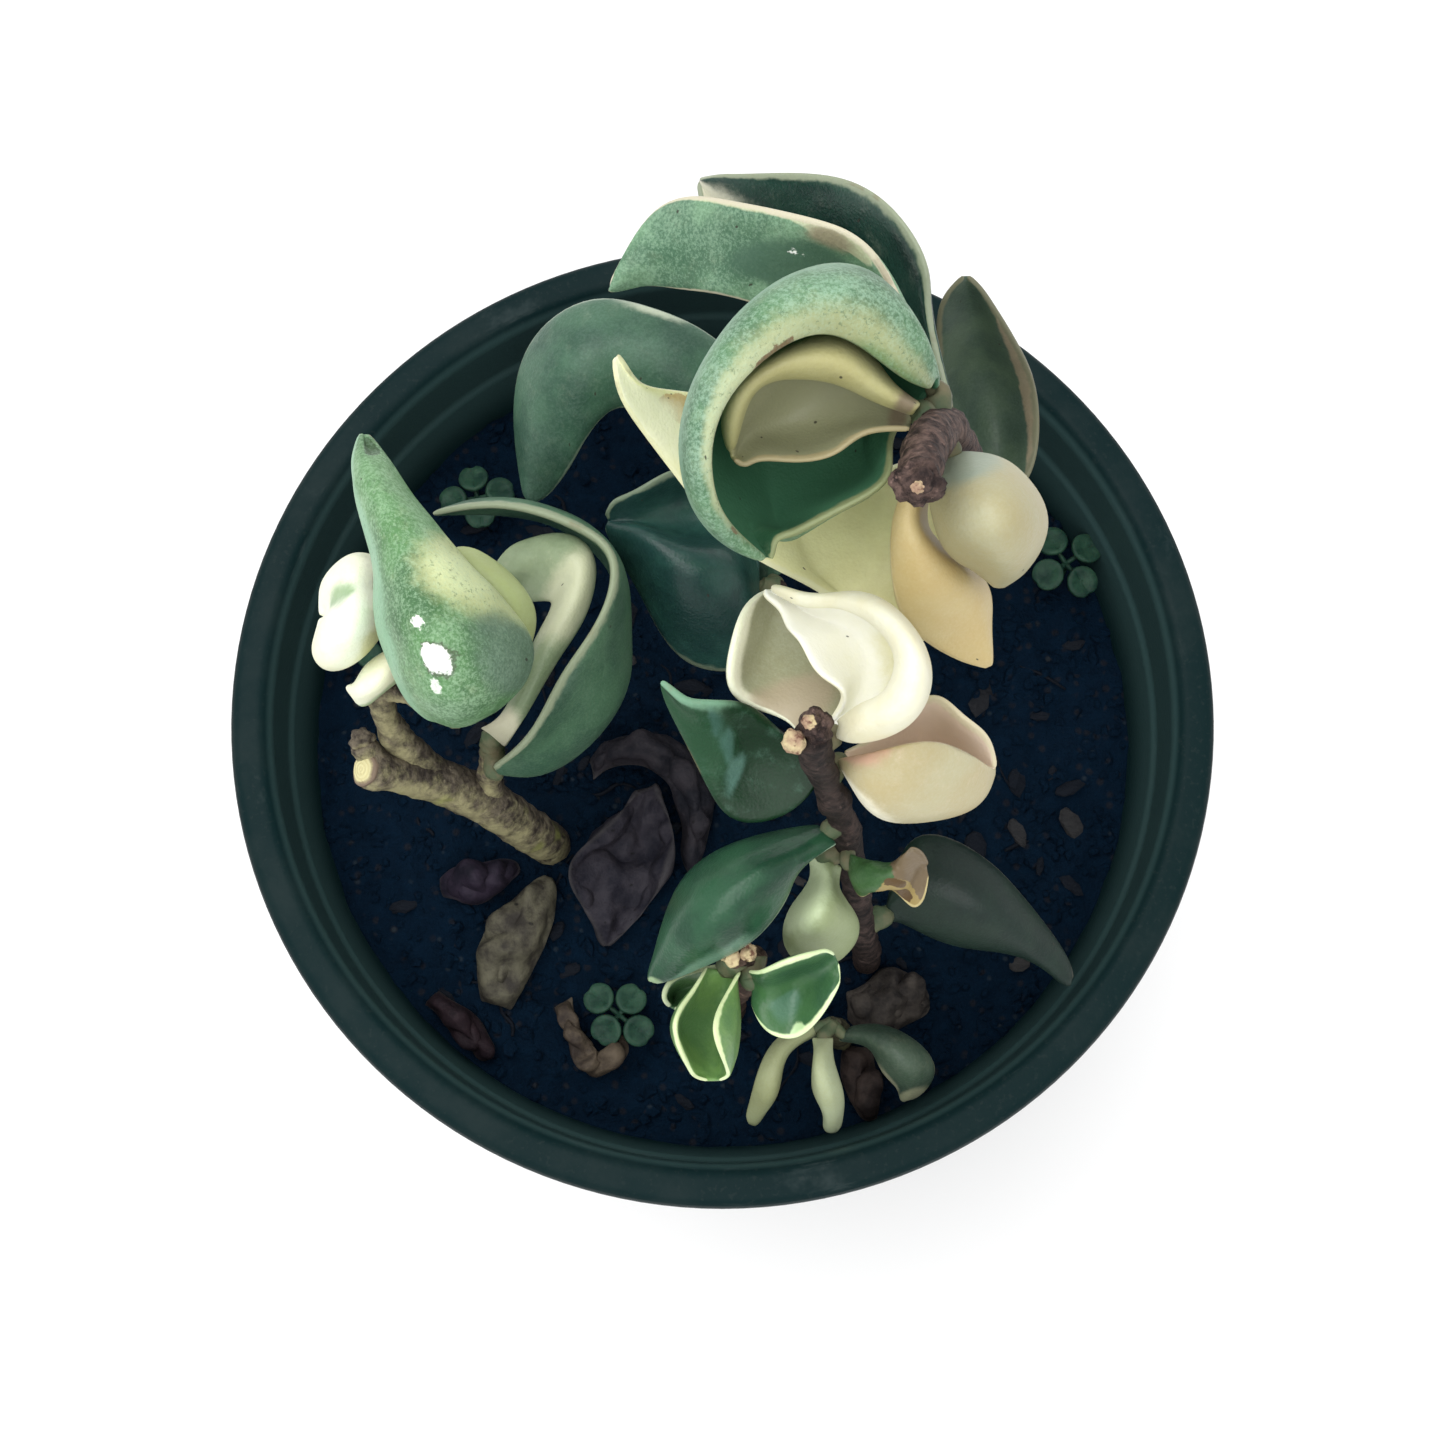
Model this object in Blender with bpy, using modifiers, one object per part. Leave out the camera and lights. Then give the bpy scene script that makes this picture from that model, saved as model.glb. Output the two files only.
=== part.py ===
"""A variegated hindu rope plant, standing in its plastic nursery pot.

All sizes below are in millimetres. Places are (x, y, height), with the pot's axis at x = y = 0,
y pointing away from the viewer and the height counted from the pot's rim, so that leaves above
the rim have a height over 0 and the soil lies at -SOIL_DEPTH. The model itself is in metres,
with its origin under the middle of the pot's base.
"""
import math
import random

import bmesh
import bpy
import numpy as np
from mathutils import Vector, noise
from mathutils.bvhtree import BVHTree

MM = 0.001
GAP = 0.3

# Corners of a mesh that are nearer than this, in metres, are welded.
WELD = 0.00001

# The pot: a 13 cm nursery pot with a folded rim.
POT_HEIGHT = 118.0
RIM_RADIUS = 65.0
RIM_BAND = 12.0
RIM_ROUND = 1.5
RIM_TAPER = 0.6
MOUTH_RADIUS = 59.4
MOUTH_ROUND = (1.2, 1.6)
WALL_TOP_RADIUS = 61.2
BASE_RADIUS = 46.0
BASE_ROUND = 1.2
WALL = 1.8
FLOOR = 2.2
FLOOR_ROUND = 1.0
POT_SIDES = 40
PLUG_SIDES = 12
DRAIN_HOLES = 6
DRAIN_RADIUS = 3.5
DRAIN_RING = 36.0

# The soil, with its bumps and the bark chips that stand out of it.
SOIL_DEPTH = 20.0
SOIL_RINGS = 6
SOIL_BUMP = 1.6
SOIL_BUMP_LENGTH = 13.0
FINE_BUMPS = (2.7, 0.4)
SOIL_SLACK = 0.3
GOLDEN_ANGLE = math.pi * (3.0 - math.sqrt(5.0))
CHIP_COUNT = 12
CHIP_SIZE = (3.2, 2.2, 1.6)
CHIP_SPREAD = (0.7, 1.3)
CHIP_SHRINK = 0.75
CHIP_TILT = 0.4
CHIP_MARGIN = 6.0
SEED = 5

# A root hole is this much wider than the foot in it, over the gap. Its cutter rises clear of the soil.
HOLE_SLACK = 0.15
HOLE_RISE = 6.0

# The seedlings: stalks, side stalks and leaflets.
SEEDLING_DEPTH = 3.0
STALK_RADII = (0.55, 0.5)
SIDE_STALK_RADII = (0.45, 0.4)
SIDE_STALK_DROP = 0.4
SIDE_STALK_RISE = 1.2
REACH_VARIES = 0.25
LEAFLET_SIDES = 8
LEAFLET_FLARE = 0.9
LEAFLET_TILT = -0.25

# Into how many pieces each span of a stem is divided, for its body and to find the leaves' seats.
STEM_STEPS = 2
SEAT_STEPS = 24

# A leaf's base is looked for at most this far from its stem, and moved up to it by this stride.
SEAT_REACH = 8.0
SEAT_STRIDE = 0.05
LEAFLET_THICKNESS = 0.7

# A leaf is thinner at its ends, and has its full thickness from this far along it.
THIN_END = 0.7
FULL_AT = 0.3

# The ends of a leaf that isn't rolled are arcs, this deep for their width.
END_DEPTH = 0.22

# Half a leaf's thickness is at most this part of the radius it is bent to. A flat place counts as
# bent to the last of these radii, and a turn of less than the least angle counts as that angle.
ROOM = 0.6
LEAST_TURN = 0.01
FLAT_RADIUS = 99.0

# How far round a place the soil is felt for, so that a fallen leaf lies clear of its bumps.
NEAR = 1.2

# Colour, as linear red, green and blue, and roughness of each finish.
FINISHES = {
    "pot_plastic": ((0.012, 0.040, 0.032), 0.55),
    "soil_dark": ((0.010, 0.009, 0.010), 0.95),
    "stem_bark": ((0.130, 0.085, 0.065), 0.80),
    "leaf_frosted": ((0.150, 0.290, 0.190), 0.50),
    "leaf_cream": ((0.760, 0.690, 0.430), 0.45),
    "leaf_dark": ((0.020, 0.090, 0.040), 0.30),
    "leaf_dried": ((0.120, 0.070, 0.050), 0.85),
    "seedling_green": ((0.050, 0.170, 0.050), 0.50),
}

# The stems. Each is a route from its foot in the soil to its end, with its radius at each point.
STEMS = {
    "right_stem": {
        "finish": "stem_bark",
        "route": [
            (33, 23.5, -38), (33, 23.5, -28), (32.8, 23.3, -18), (31, 21.5, 5), (28.5, 20, 28), (26.7, 19, 42),
            (24, 16.5, 54), (21.9, 13.5, 63), (19.6, 9, 71), (18, 3, 77.5),
        ],
        "radii": [2.6, 2.6, 2.6, 2.4, 2.2, 2.2, 2.1, 2.2, 2.2, 2.0],
    },
    "middle_stem": {
        "finish": "stem_bark",
        "route": [
            (19.8, -32.5, -38), (19.8, -32.5, -28), (19.7, -32.5, -18), (19, -32.5, -8), (17.9, -32, 4),
            (16.2, -29, 18), (14, -23.7, 34), (11.4, -20.3, 46), (8.8, -17.1, 60),
        ],
        "radii": [1.9, 1.9, 1.8, 1.8, 1.7, 1.6, 1.5, 1.5, 1.9],
    },
    "front_stem": {
        "finish": "stem_bark",
        "route": [(1.5, -39, -34), (1.5, -39, -20), (2, -38.5, 4), (3.5, -37.5, 24), (3.5, -36.5, 33)],
        "radii": [1.5, 1.5, 1.4, 1.3, 1.2],
        "shoots": [([(3.6, -36.6, 32), (2.5, -36.8, 35), (0.8, -37, 36)], [0.9, 0.8, 0.9])],
    },
    "left_stem": {
        "finish": "stem_bark",
        "route": [
            (-24, -16.2, -38), (-24, -16.2, -28), (-24.2, -16.2, -18), (-26.5, -15.6, -8),
            (-30.5, -13.8, 1), (-36, -12.4, 8.5), (-43, -12.5, 17),
        ],
        "radii": [2.9, 2.9, 2.9, 3.0, 3.0, 2.8, 2.0],
        "shoots": [
            ([(-35.5, -12, 8), (-39.5, -8.5, 16), (-40.5, -5.5, 22), (-39.5, -2, 26), (-37, 1.5, 28)],
             [2.2, 1.9, 1.5, 1.3, 1.1]),
            ([(-40, -4, 24), (-36, -5.5, 25.5), (-31.5, -7.5, 27), (-26.5, -5.5, 27)], [1.3, 1.2, 1.1, 0.9]),
            ([(-30.5, -13.5, 1), (-29.5, -11, 7), (-28.5, -8.5, 13)], [2.0, 1.6, 1.3]),
            ([(-42, -12, 15), (-43.5, -9.5, 18)], [1.5, 1.3]),
        ],
    },
    "back_stem": {
        "finish": "stem_bark",
        "route": [(5, 11.5, -38), (5, 11.5, -28), (5.1, 11.5, -18), (6, 12, -6), (7, 12.5, 9)],
        "radii": [1.8, 1.8, 1.8, 1.7, 1.5],
    },
    "low_stem": {
        "finish": "stem_bark",
        "route": [(16, -43, -34), (16, -43, -20), (15, -42.5, -8), (14, -42, -3)],
        "radii": [1.5, 1.5, 1.4, 1.2],
    },
}

# The seedlings that have come up in the soil.
SEEDLINGS = {
    "seedling_right": {"spot": (48.5, 23), "tall": 6, "count": 4, "turn": 0.6, "reach": 3.4, "leaflet": 2.2},
    "seedling_back": {"spot": (-35, 33), "tall": 5, "count": 4, "turn": 0.2, "reach": 3.0, "leaflet": 2.1},
    "seedling_left": {"spot": (-52, 12), "tall": 4, "count": 3, "turn": 1.4, "reach": 2.6, "leaflet": 1.9},
    "seedling_front": {"spot": (-14, -40), "tall": 4, "count": 4, "turn": 0.9, "reach": 3.0, "leaflet": 2.1},
}

# The leaves. The curves run from base to tip, and the first and the last of them are the edges.
LEAVES = {
    "hood_leaf": {
        "stem": "right_stem",
        "finish": "leaf_frosted",
        "steps": (13, 8),
        "thickness": 1.5,
        "base": (21, 18, 63),
        "tip": (4.5, 1, 60),
        "ends": (5, 5),
        "rolled": True,
        "curves": [
            [(17, 16.5, 70), (10, 19, 74), (2.5, 14.5, 75), (-1, 8, 73), (0, 3.5, 67), (2.5, 2, 62.5)],
            [(18.5, 19.5, 71), (12, 21.5, 76), (3.5, 18.5, 77), (-2, 9.5, 75), (-1, 3, 69), (2, 1, 64)],
            [(20.5, 20, 65), (15, 28, 67), (5, 26, 68), (-3, 15, 66), (-2.5, 5.5, 63), (1, 2, 61)],
            [
                (19.5, 21.5, 58), (14.5, 28.5, 56), (7, 27.5, 55), (0.5, 19.5, 54), (-0.5, 9, 57),
                (2.5, 3.5, 58),
            ],
            [(16.5, 18, 55), (15, 15, 51), (8, 12, 50), (5, 8, 51), (3.5, 6, 55), (3.5, 4, 57)],
            [
                (18, 15.5, 58), (17, 10, 60.5), (13, 6.5, 61), (8.5, 4.5, 60), (6.5, 3.5, 60),
                (5.5, 2.5, 59.5),
            ],
        ],
    },
    "inner_leaf": {
        "stem": "right_stem",
        "finish": "leaf_cream",
        "steps": (9, 8),
        "thickness": 1.0,
        "base": (17.5, 16, 64),
        "tip": (1, 11.5, 62),
        "ends": (4, 5),
        "rolled": True,
        "curves": [
            [(15, 16, 65), (11, 17, 67), (5.5, 17, 68), (2.5, 15.5, 66)],
            [(15.5, 16, 68), (11.5, 17.5, 71), (5.5, 17, 71.5), (1.5, 14, 69)],
            [(16.5, 18, 65), (12.5, 21, 68), (5.5, 19.5, 68), (0.5, 15, 66)],
            [(16, 18.5, 61), (12.5, 21.5, 62), (6.5, 20, 62), (1.5, 15, 62)],
            [(15, 16, 60), (10, 17, 57), (5, 16.5, 57), (2, 14, 59)],
            [(14.5, 13.5, 62.5), (11.5, 11.5, 62), (7, 11, 61), (3.5, 11, 61)],
        ],
    },
    "ball_leaf": {
        "stem": "right_stem",
        "finish": "leaf_cream",
        "steps": (8, 7),
        "thickness": 1.7,
        "base": (24, 10.5, 60),
        "tip": (28.5, -0.5, 55),
        "ends": (3.5, 5),
        "rolled": True,
        "curves": [
            [(25, 8.5, 56), (26, 5, 53.5), (27.5, 3, 52)],
            [(21.5, 6.5, 62), (23, 2.5, 60), (25.5, 1.5, 57)],
            [(24.5, 5, 70), (25.5, 1, 72), (27, -1, 67)],
            [(29, 9.5, 62), (32, 5, 61), (31, 1.5, 58)],
            [(29.5, 10.5, 54), (31.5, 7, 52), (30.5, 3.5, 51)],
        ],
    },
    "pointed_leaf": {
        "stem": "right_stem",
        "finish": "leaf_cream",
        "steps": (8, 5),
        "thickness": 1.4,
        "base": (19, 8.5, 56),
        "tip": (27.5, -5.5, 46),
        "ends": (4, 2.2),
        "curves": [
            [(17.5, 5.5, 58), (17.5, 2.5, 57), (19, -1.5, 54), (22.5, -4, 49)],
            [(18.5, 4.5, 60.5), (19.5, 1.5, 59), (21.5, -1.5, 55.5), (24.5, -4, 50)],
            [(22, 6, 50.5), (24, 3.5, 48.5), (26, 0.5, 48), (27.5, -2, 47)],
        ],
    },
    "long_cream_leaf": {
        "stem": "right_stem",
        "finish": "leaf_cream",
        "steps": (10, 4),
        "thickness": 1.4,
        "base": (22.5, 16.5, 47),
        "tip": (-11, 22, 62),
        "ends": (4, 1.8),
        "curves": [
            [
                (22.5, -3, 42), (11.5, 1.5, 45), (2.5, 5.5, 47), (-3.5, 11, 50), (-8.5, 16.5, 55),
                (-11, 19.5, 60),
            ],
            [(17, 3, 44), (9, 5, 44), (5, 11, 46), (-1, 15.5, 49), (-7, 18.5, 54), (-10, 20.5, 59)],
            [(17, 17, 42), (7, 17, 43), (8.5, 21, 44), (1.5, 23, 47), (-6, 22, 53), (-9.5, 21, 60)],
        ],
    },
    "mottled_leaf": {
        "stem": "right_stem",
        "finish": "leaf_frosted",
        "steps": (9, 5),
        "thickness": 1.6,
        "base": (21.5, 21.5, 52),
        "tip": (-13, 39, 42),
        "ends": (4, 2.6),
        "curves": [
            [(17, 29, 46), (2, 35.5, 46), (-4.5, 38.5, 42), (-9.5, 40, 40)],
            [(18.5, 31, 54), (8.5, 38, 54), (-0.5, 41, 49), (-8, 42.5, 44)],
            [(16.5, 33.5, 59), (10, 38.5, 59), (0.5, 44, 53), (-7.5, 47, 45)],
        ],
    },
    "dark_leaf": {
        "stem": "right_stem",
        "finish": "leaf_dark",
        "steps": (9, 5),
        "thickness": 1.5,
        "base": (22.5, 23, 47),
        "tip": (-3, 55, 36),
        "ends": (3.6, 2.2),
        "curves": [
            [(22.5, 33, 50), (22, 36.5, 53), (18.5, 43, 53), (12.5, 49.5, 48), (3, 53, 42)],
            [(20.5, 30, 45), (17, 36, 42), (12.5, 41.5, 38), (7, 45, 36), (1, 49, 34)],
            [(16, 29, 44), (12, 33, 44), (9, 38, 43), (4.5, 42.5, 41), (0, 47, 37)],
        ],
    },
    "olive_leaf": {
        "stem": "right_stem",
        "finish": "leaf_dark",
        "steps": (8, 4),
        "thickness": 1.4,
        "base": (32, 24, 9),
        "tip": (29, 44, 34),
        "ends": (3.6, 1.6),
        "curves": [
            [(39.5, 27, 10), (40.5, 35.5, 14), (36.5, 39.5, 24), (32, 42.5, 31)],
            [(36.5, 32, 6), (35.5, 38.5, 10), (33, 41.5, 19), (30.5, 43.5, 28)],
            [(29.5, 31, 10), (27.5, 36.5, 16), (26.5, 40, 24), (26.5, 42.5, 31)],
        ],
    },
    "scroll_leaf": {
        "stem": "middle_stem",
        "finish": "leaf_cream",
        "steps": (13, 7),
        "thickness": 1.0,
        "base": (12, -15, 57),
        "tip": (5, 0.5, 51),
        "ends": (3.5, 4),
        "rolled": True,
        "curves": [
            [
                (13.5, -14.5, 62), (15.5, -14, 66), (16.5, -11.5, 67.5), (15, -7.5, 65), (11, -3.5, 58),
                (8, -2, 53.5),
            ],
            [(14, -16, 64.5), (17, -16, 69), (18, -12.5, 71), (16, -8, 69), (12, -3.5, 61), (8, -1.5, 55)],
            [
                (13.5, -17.5, 61), (18.5, -16, 63), (20, -11.5, 64), (17.5, -6, 63), (12.5, -2, 57),
                (8.5, -1, 53),
            ],
            [
                (13.5, -16.5, 57.5), (17.5, -13, 56), (19, -8.5, 55), (17, -5, 54), (12.5, -2, 53),
                (8.5, -1, 51),
            ],
            [
                (12.5, -14.5, 56), (15, -10.5, 52.5), (15.5, -7.5, 51), (14, -5, 51), (10.5, -2.5, 50),
                (7.5, -1, 50),
            ],
            [
                (12, -13.5, 57.5), (11.5, -12, 59), (9.5, -10.5, 59), (8, -7.5, 58), (6.5, -4.5, 55),
                (5.5, -1.5, 52),
            ],
        ],
    },
    "grey_leaf": {
        "stem": "middle_stem",
        "finish": "leaf_cream",
        "steps": (7, 4),
        "thickness": 1.5,
        "base": (9.5, -13.5, 49),
        "tip": (5, 1.5, 47),
        "ends": (3.4, 2.2),
        "curves": [
            [(6, -12.5, 47), (1, -10.5, 50), (1, -6, 52), (2.5, -1, 50)],
            [(8.5, -10, 46.5), (4.5, -8, 45.5), (4.5, -3.5, 45), (5, 0, 46)],
            [(13, -8.5, 47), (12, -4.5, 46), (10, -2, 46), (7.5, 0.5, 46)],
        ],
    },
    "folded_leaf": {
        "stem": "middle_stem",
        "finish": "leaf_cream",
        "steps": (7, 7),
        "thickness": 1.5,
        "base": (12.5, -17, 49),
        "tip": (29, -17.5, 45),
        "ends": (3.6, 1.6),
        "curves": [
            [(15, -18, 56), (18.5, -17.5, 58), (22, -17, 56), (26, -17.5, 51)],
            [(14, -21, 53), (17, -23, 52), (22, -22.5, 50), (27, -20.5, 46)],
            [(15.5, -20, 46), (18, -21, 43), (23, -21, 42), (27.5, -19.5, 42)],
            [(17.5, -17, 41), (20.5, -16, 39), (24, -16, 39), (27, -17, 41)],
            [(18, -12.5, 44), (22, -10, 47), (25, -12.5, 49), (28, -14.5, 47)],
        ],
    },
    "glossy_leaf": {
        "stem": "middle_stem",
        "finish": "leaf_dark",
        "steps": (8, 5),
        "thickness": 1.4,
        "base": (10, -18, 45),
        "tip": (-6.5, -10.5, 54),
        "ends": (3.4, 1.6),
        "curves": [
            [(7, -14.5, 46), (3, -12, 50), (-1, -12, 53), (-4, -12, 54)],
            [(8, -17.5, 44), (3.5, -16.5, 44), (-0.5, -15, 47), (-3.5, -13, 51)],
            [(8, -21.5, 43), (1.5, -23, 43), (-2, -19, 45), (-4.5, -14.5, 49)],
        ],
    },
    "torn_leaf": {
        "stem": "middle_stem",
        "finish": "leaf_dark",
        "steps": (6, 4),
        "thickness": 0.9,
        "base": (14, -27, 35),
        "tip": (22.5, -27.5, 37),
        "ends": (2.4, 4),
        "curves": [
            [(16, -26.5, 37), (18, -27, 40), (20, -26, 40)],
            [(15.5, -28.5, 39), (17.5, -28.5, 43), (20, -29.5, 41)],
            [(16, -29, 35), (18, -29.5, 36), (20.5, -31, 36)],
        ],
    },
    "low_dark_leaf": {
        "stem": "middle_stem",
        "finish": "leaf_dark",
        "steps": (7, 4),
        "thickness": 1.3,
        "base": (20, -29, 9),
        "tip": (44, -37, 3),
        "ends": (5, 3),
        "rolled": True,
        "curves": [
            [(23.5, -20, 9), (32, -22, 10), (37, -26.5, 8), (41.5, -31.5, 5)],
            [(22, -25.5, 12.5), (29, -27.5, 14), (35, -30.5, 11), (40.5, -34, 6)],
            [(21, -30, 9), (27.5, -32.5, 7), (34.5, -33.5, 6), (40.5, -35.5, 4)],
        ],
    },
    "green_leaf": {
        "stem": "middle_stem",
        "finish": "leaf_dark",
        "steps": (8, 5),
        "thickness": 1.5,
        "base": (10, -25, 38),
        "tip": (-7.5, -39.5, 34),
        "ends": (3.4, 2),
        "curves": [
            [(5, -23.5, 37), (-2.5, -26.5, 36), (-6, -32, 35), (-7.5, -37, 34)],
            [(7.5, -26.5, 42), (2.5, -30, 44), (-2, -34.5, 42), (-5.5, -37.5, 37)],
            [(8.5, -27.5, 40), (7, -30.5, 39), (3.5, -35, 38), (-2.5, -38, 36)],
        ],
    },
    "pale_leaf": {
        "stem": "middle_stem",
        "finish": "leaf_cream",
        "steps": (7, 4),
        "thickness": 1.3,
        "base": (12.5, -25, 32),
        "tip": (10.5, -36.5, 25),
        "ends": (4.4, 4.4),
        "curves": [
            [(10, -27.5, 30), (8, -30.5, 30), (7, -34, 27)],
            [(11.5, -28.5, 34), (10.5, -32, 36.5), (10, -35, 32)],
            [(13, -29, 30), (15, -31.5, 29), (15, -34.5, 26)],
        ],
    },
    "spoon_leaf": {
        "stem": "front_stem",
        "finish": "leaf_dark",
        "steps": (7, 6),
        "thickness": 1.0,
        "base": (-0.5, -39, 33),
        "tip": (-1, -50, 34),
        "ends": (4, 4),
        "curves": [
            [(-3.5, -41, 37), (-5, -44.5, 40), (-4, -48, 38)],
            [(-2.5, -41.5, 32), (-3.5, -45, 31), (-2.5, -48, 32)],
            [(-0.5, -41.5, 30), (-0.5, -45, 29), (-1, -48, 31)],
            [(1.5, -41.5, 34), (1.5, -45, 35), (1, -48, 35)],
            [(0, -41.5, 38), (-1, -45, 41), (0, -48, 39)],
        ],
    },
    "lobe_leaf": {
        "stem": "front_stem",
        "finish": "leaf_dark",
        "steps": (7, 5),
        "thickness": 1.1,
        "base": (3, -40.5, 34),
        "tip": (12.5, -37.5, 37),
        "ends": (4, 4),
        "curves": [
            [(4, -38.5, 38), (6, -38, 41), (9, -37, 41)],
            [(5, -41, 34), (7.5, -40, 33), (10.5, -38.5, 35)],
            [(4.5, -44.5, 34), (8, -45.5, 34), (11.5, -42, 37)],
        ],
    },
    "small_leaf": {
        "stem": "front_stem",
        "finish": "leaf_dark",
        "steps": (6, 4),
        "thickness": 0.9,
        "base": (-0.5, -38.5, 29),
        "tip": (-5.5, -42, 30),
        "ends": (3, 3),
        "rolled": True,
        "curves": [
            [(-3.5, -38, 31), (-6, -39.5, 33), (-6.5, -41, 32)],
            [(-3, -39, 28), (-5, -40, 27), (-5.5, -41, 27)],
            [(-2.5, -40, 28), (-3.5, -41, 29), (-4.5, -42, 30)],
        ],
    },
    "frosted_leaf": {
        "stem": "left_stem",
        "finish": "leaf_frosted",
        "steps": (10, 7),
        "thickness": 1.7,
        "base": (-31, -10, 30),
        "tip": (-40, 21, 42),
        "ends": (4, 2.6),
        "curves": [
            [(-35, -7.5, 34), (-37.5, -1.5, 38), (-38, 4, 40), (-39, 10, 41), (-41, 16.5, 41)],
            [(-34, -8.5, 41), (-36.5, -2.5, 44), (-37, 3.5, 45), (-38.5, 9.5, 45), (-40.5, 16, 44)],
            [(-28, -11.5, 48), (-29, -5.5, 53), (-31.5, 0.5, 53), (-34.5, 7.5, 51), (-38, 14.5, 48)],
            [(-24, -9, 41), (-21.5, -4, 43), (-26.5, 2, 47), (-31.5, 8, 47), (-36, 15, 45)],
            [(-25.5, -7, 34), (-22.5, -1.5, 37), (-26.5, 3, 43), (-31, 8.5, 44), (-36, 15, 43)],
        ],
    },
    "lobe_cream_leaf": {
        "stem": "left_stem",
        "finish": "leaf_cream",
        "steps": (7, 4),
        "thickness": 1.2,
        "base": (-25, -4.5, 29),
        "tip": (-30, 9, 38),
        "ends": (4, 2.6),
        "curves": [
            [(-26.5, -1, 30), (-27.5, 3.5, 32.5), (-30, 6.5, 34)],
            [(-23.5, -2.5, 35), (-23.5, 2, 39), (-27, 6, 40)],
            [(-22, -1, 33), (-21.5, 3, 36), (-25.5, 7.5, 37)],
        ],
    },
    "cushion_leaf": {
        "stem": "left_stem",
        "finish": "leaf_cream",
        "steps": (7, 8),
        "thickness": 1.3,
        "base": (-38.5, 4.5, 29),
        "tip": (-46.5, 2.5, 30),
        "ends": (5, 4),
        "curves": [
            [(-40, 1.5, 30), (-42, -0.5, 30), (-44.5, -1.5, 29), (-46, 0, 29)],
            [(-39, 1, 33), (-41.5, -2.5, 35), (-44.5, -3.5, 34), (-47, -0.5, 31)],
            [(-38.5, 3, 34), (-41, 0, 40), (-44, -0.5, 38), (-46, 1, 33)],
            [(-39, 6, 34), (-41.5, 6.5, 38), (-44.5, 5.5, 36), (-46.5, 4.5, 31)],
            [(-39.5, 9.5, 29), (-43.5, 10.5, 28), (-45.5, 8.5, 28), (-46.5, 5.5, 28)],
        ],
    },
    "lip_leaf": {
        "stem": "left_stem",
        "finish": "leaf_cream",
        "steps": (7, 4),
        "thickness": 1.0,
        "base": (-37, -2.5, 30),
        "tip": (-43, -6, 29),
        "ends": (3.6, 3),
        "curves": [
            [(-39, -1.5, 31), (-41, -3, 31), (-42.5, -5, 30)],
            [(-37.5, -3.5, 34), (-39, -5.5, 34.5), (-41, -6.5, 33)],
            [(-37, -4.5, 31), (-39, -6, 31), (-41, -7, 29)],
        ],
    },
    "bowl_leaf": {
        "stem": "left_stem",
        "finish": "leaf_frosted",
        "steps": (12, 7),
        "thickness": 1.4,
        "base": (-28, -11.5, 14),
        "tip": (-35, 17, 26),
        "ends": (4, 2.4),
        "curves": [
            [
                (-22.5, -9.5, 25), (-18.5, -2.5, 27), (-14, 4, 29), (-13, 10.5, 30), (-18, 14.5, 30),
                (-26.5, 17, 29),
            ],
            [(-22, -10, 20), (-16, -3, 21), (-13, 4, 23), (-12.5, 10.5, 25), (-17, 15.5, 26), (-27, 19, 25)],
            [
                (-20.5, -11, 12), (-13, -2.5, 12), (-12, 5, 13), (-12.5, 11.5, 16), (-16.5, 17, 19),
                (-26.5, 20, 19),
            ],
            [(-22, -5, 5), (-15, 2, 5), (-13, 9, 6), (-14, 15, 8), (-20, 20, 11), (-30, 21, 15)],
        ],
    },
    "loop_leaf": {
        "stem": "left_stem",
        "finish": "leaf_cream",
        "steps": (11, 5),
        "thickness": 1.0,
        "base": (-27.5, -7, 17),
        "tip": (-26, 12, 25),
        "ends": (4, 4),
        "curves": [
            [
                (-25.5, -6, 23), (-22, 2, 25), (-19, 7, 26), (-17.5, 9.5, 26.5), (-20, 10, 25.5),
                (-23.5, 10.5, 23),
            ],
            [
                (-24, -6.5, 23.5), (-20, 1, 26), (-17, 6, 27.5), (-16.5, 10.5, 28), (-18.5, 11.5, 27.5),
                (-22.5, 12, 25.5),
            ],
            [
                (-23.5, -7, 22.5), (-19, 0.5, 24), (-16, 6, 24.5), (-15.5, 12, 25.5), (-18, 14.5, 25.5),
                (-23, 14.5, 24.5),
            ],
        ],
    },
    "twin_leaf": {
        "stem": "back_stem",
        "finish": "leaf_frosted",
        "steps": (11, 5),
        "thickness": 1.5,
        "base": (7, 15.5, 5),
        "tip": (-26, 26.5, 3),
        "ends": (4.4, 3),
        "curves": [
            [
                (8, 25, 8), (5.5, 37, 12), (0, 43.5, 15), (-8, 48, 16), (-16, 50, 15), (-24, 46.5, 12),
                (-27.5, 36.5, 6),
            ],
            [
                (4.5, 23, 7), (0.5, 32.5, 12), (-4, 38.5, 16), (-10.5, 41.5, 18), (-16.5, 41.5, 18),
                (-21.5, 38, 15), (-25, 31, 8),
            ],
            [
                (2.5, 22, 4), (-2.5, 28.5, 6), (-8, 33.5, 9), (-13, 36.5, 11), (-16.5, 34, 11), (-19, 30.5, 9),
                (-22.5, 27.5, 4),
            ],
        ],
    },
    "shade_leaf": {
        "stem": "back_stem",
        "finish": "leaf_dark",
        "steps": (8, 6),
        "thickness": 1.1,
        "base": (5.5, 13.5, 8),
        "tip": (-15, 19.5, 17),
        "ends": (8, 4),
        "curves": [
            [(0, 26, 18), (-6, 24.5, 21), (-11, 22, 20)],
            [(0, 23, 14), (-5, 22, 14), (-10.5, 20.5, 17)],
            [(1, 19, 13), (-4, 18.5, 14), (-10, 19, 16)],
            [(0.5, 14, 18), (-4.5, 14.5, 20), (-10.5, 17.5, 19)],
            [(3, 3, 5), (-4.5, 3.5, 6), (-10.5, 11.5, 11)],
        ],
    },
    "low_leaf_1": {
        "stem": "low_stem",
        "finish": "leaf_cream",
        "steps": (5, 4),
        "thickness": 1.1,
        "base": (6.5, -43, -3),
        "tip": (3.5, -54.5, -8),
        "ends": (2.6, 2.2),
        "curves": [
            [(6, -45, -1), (4.5, -48, 0), (3.5, -51.5, -4)],
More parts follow.
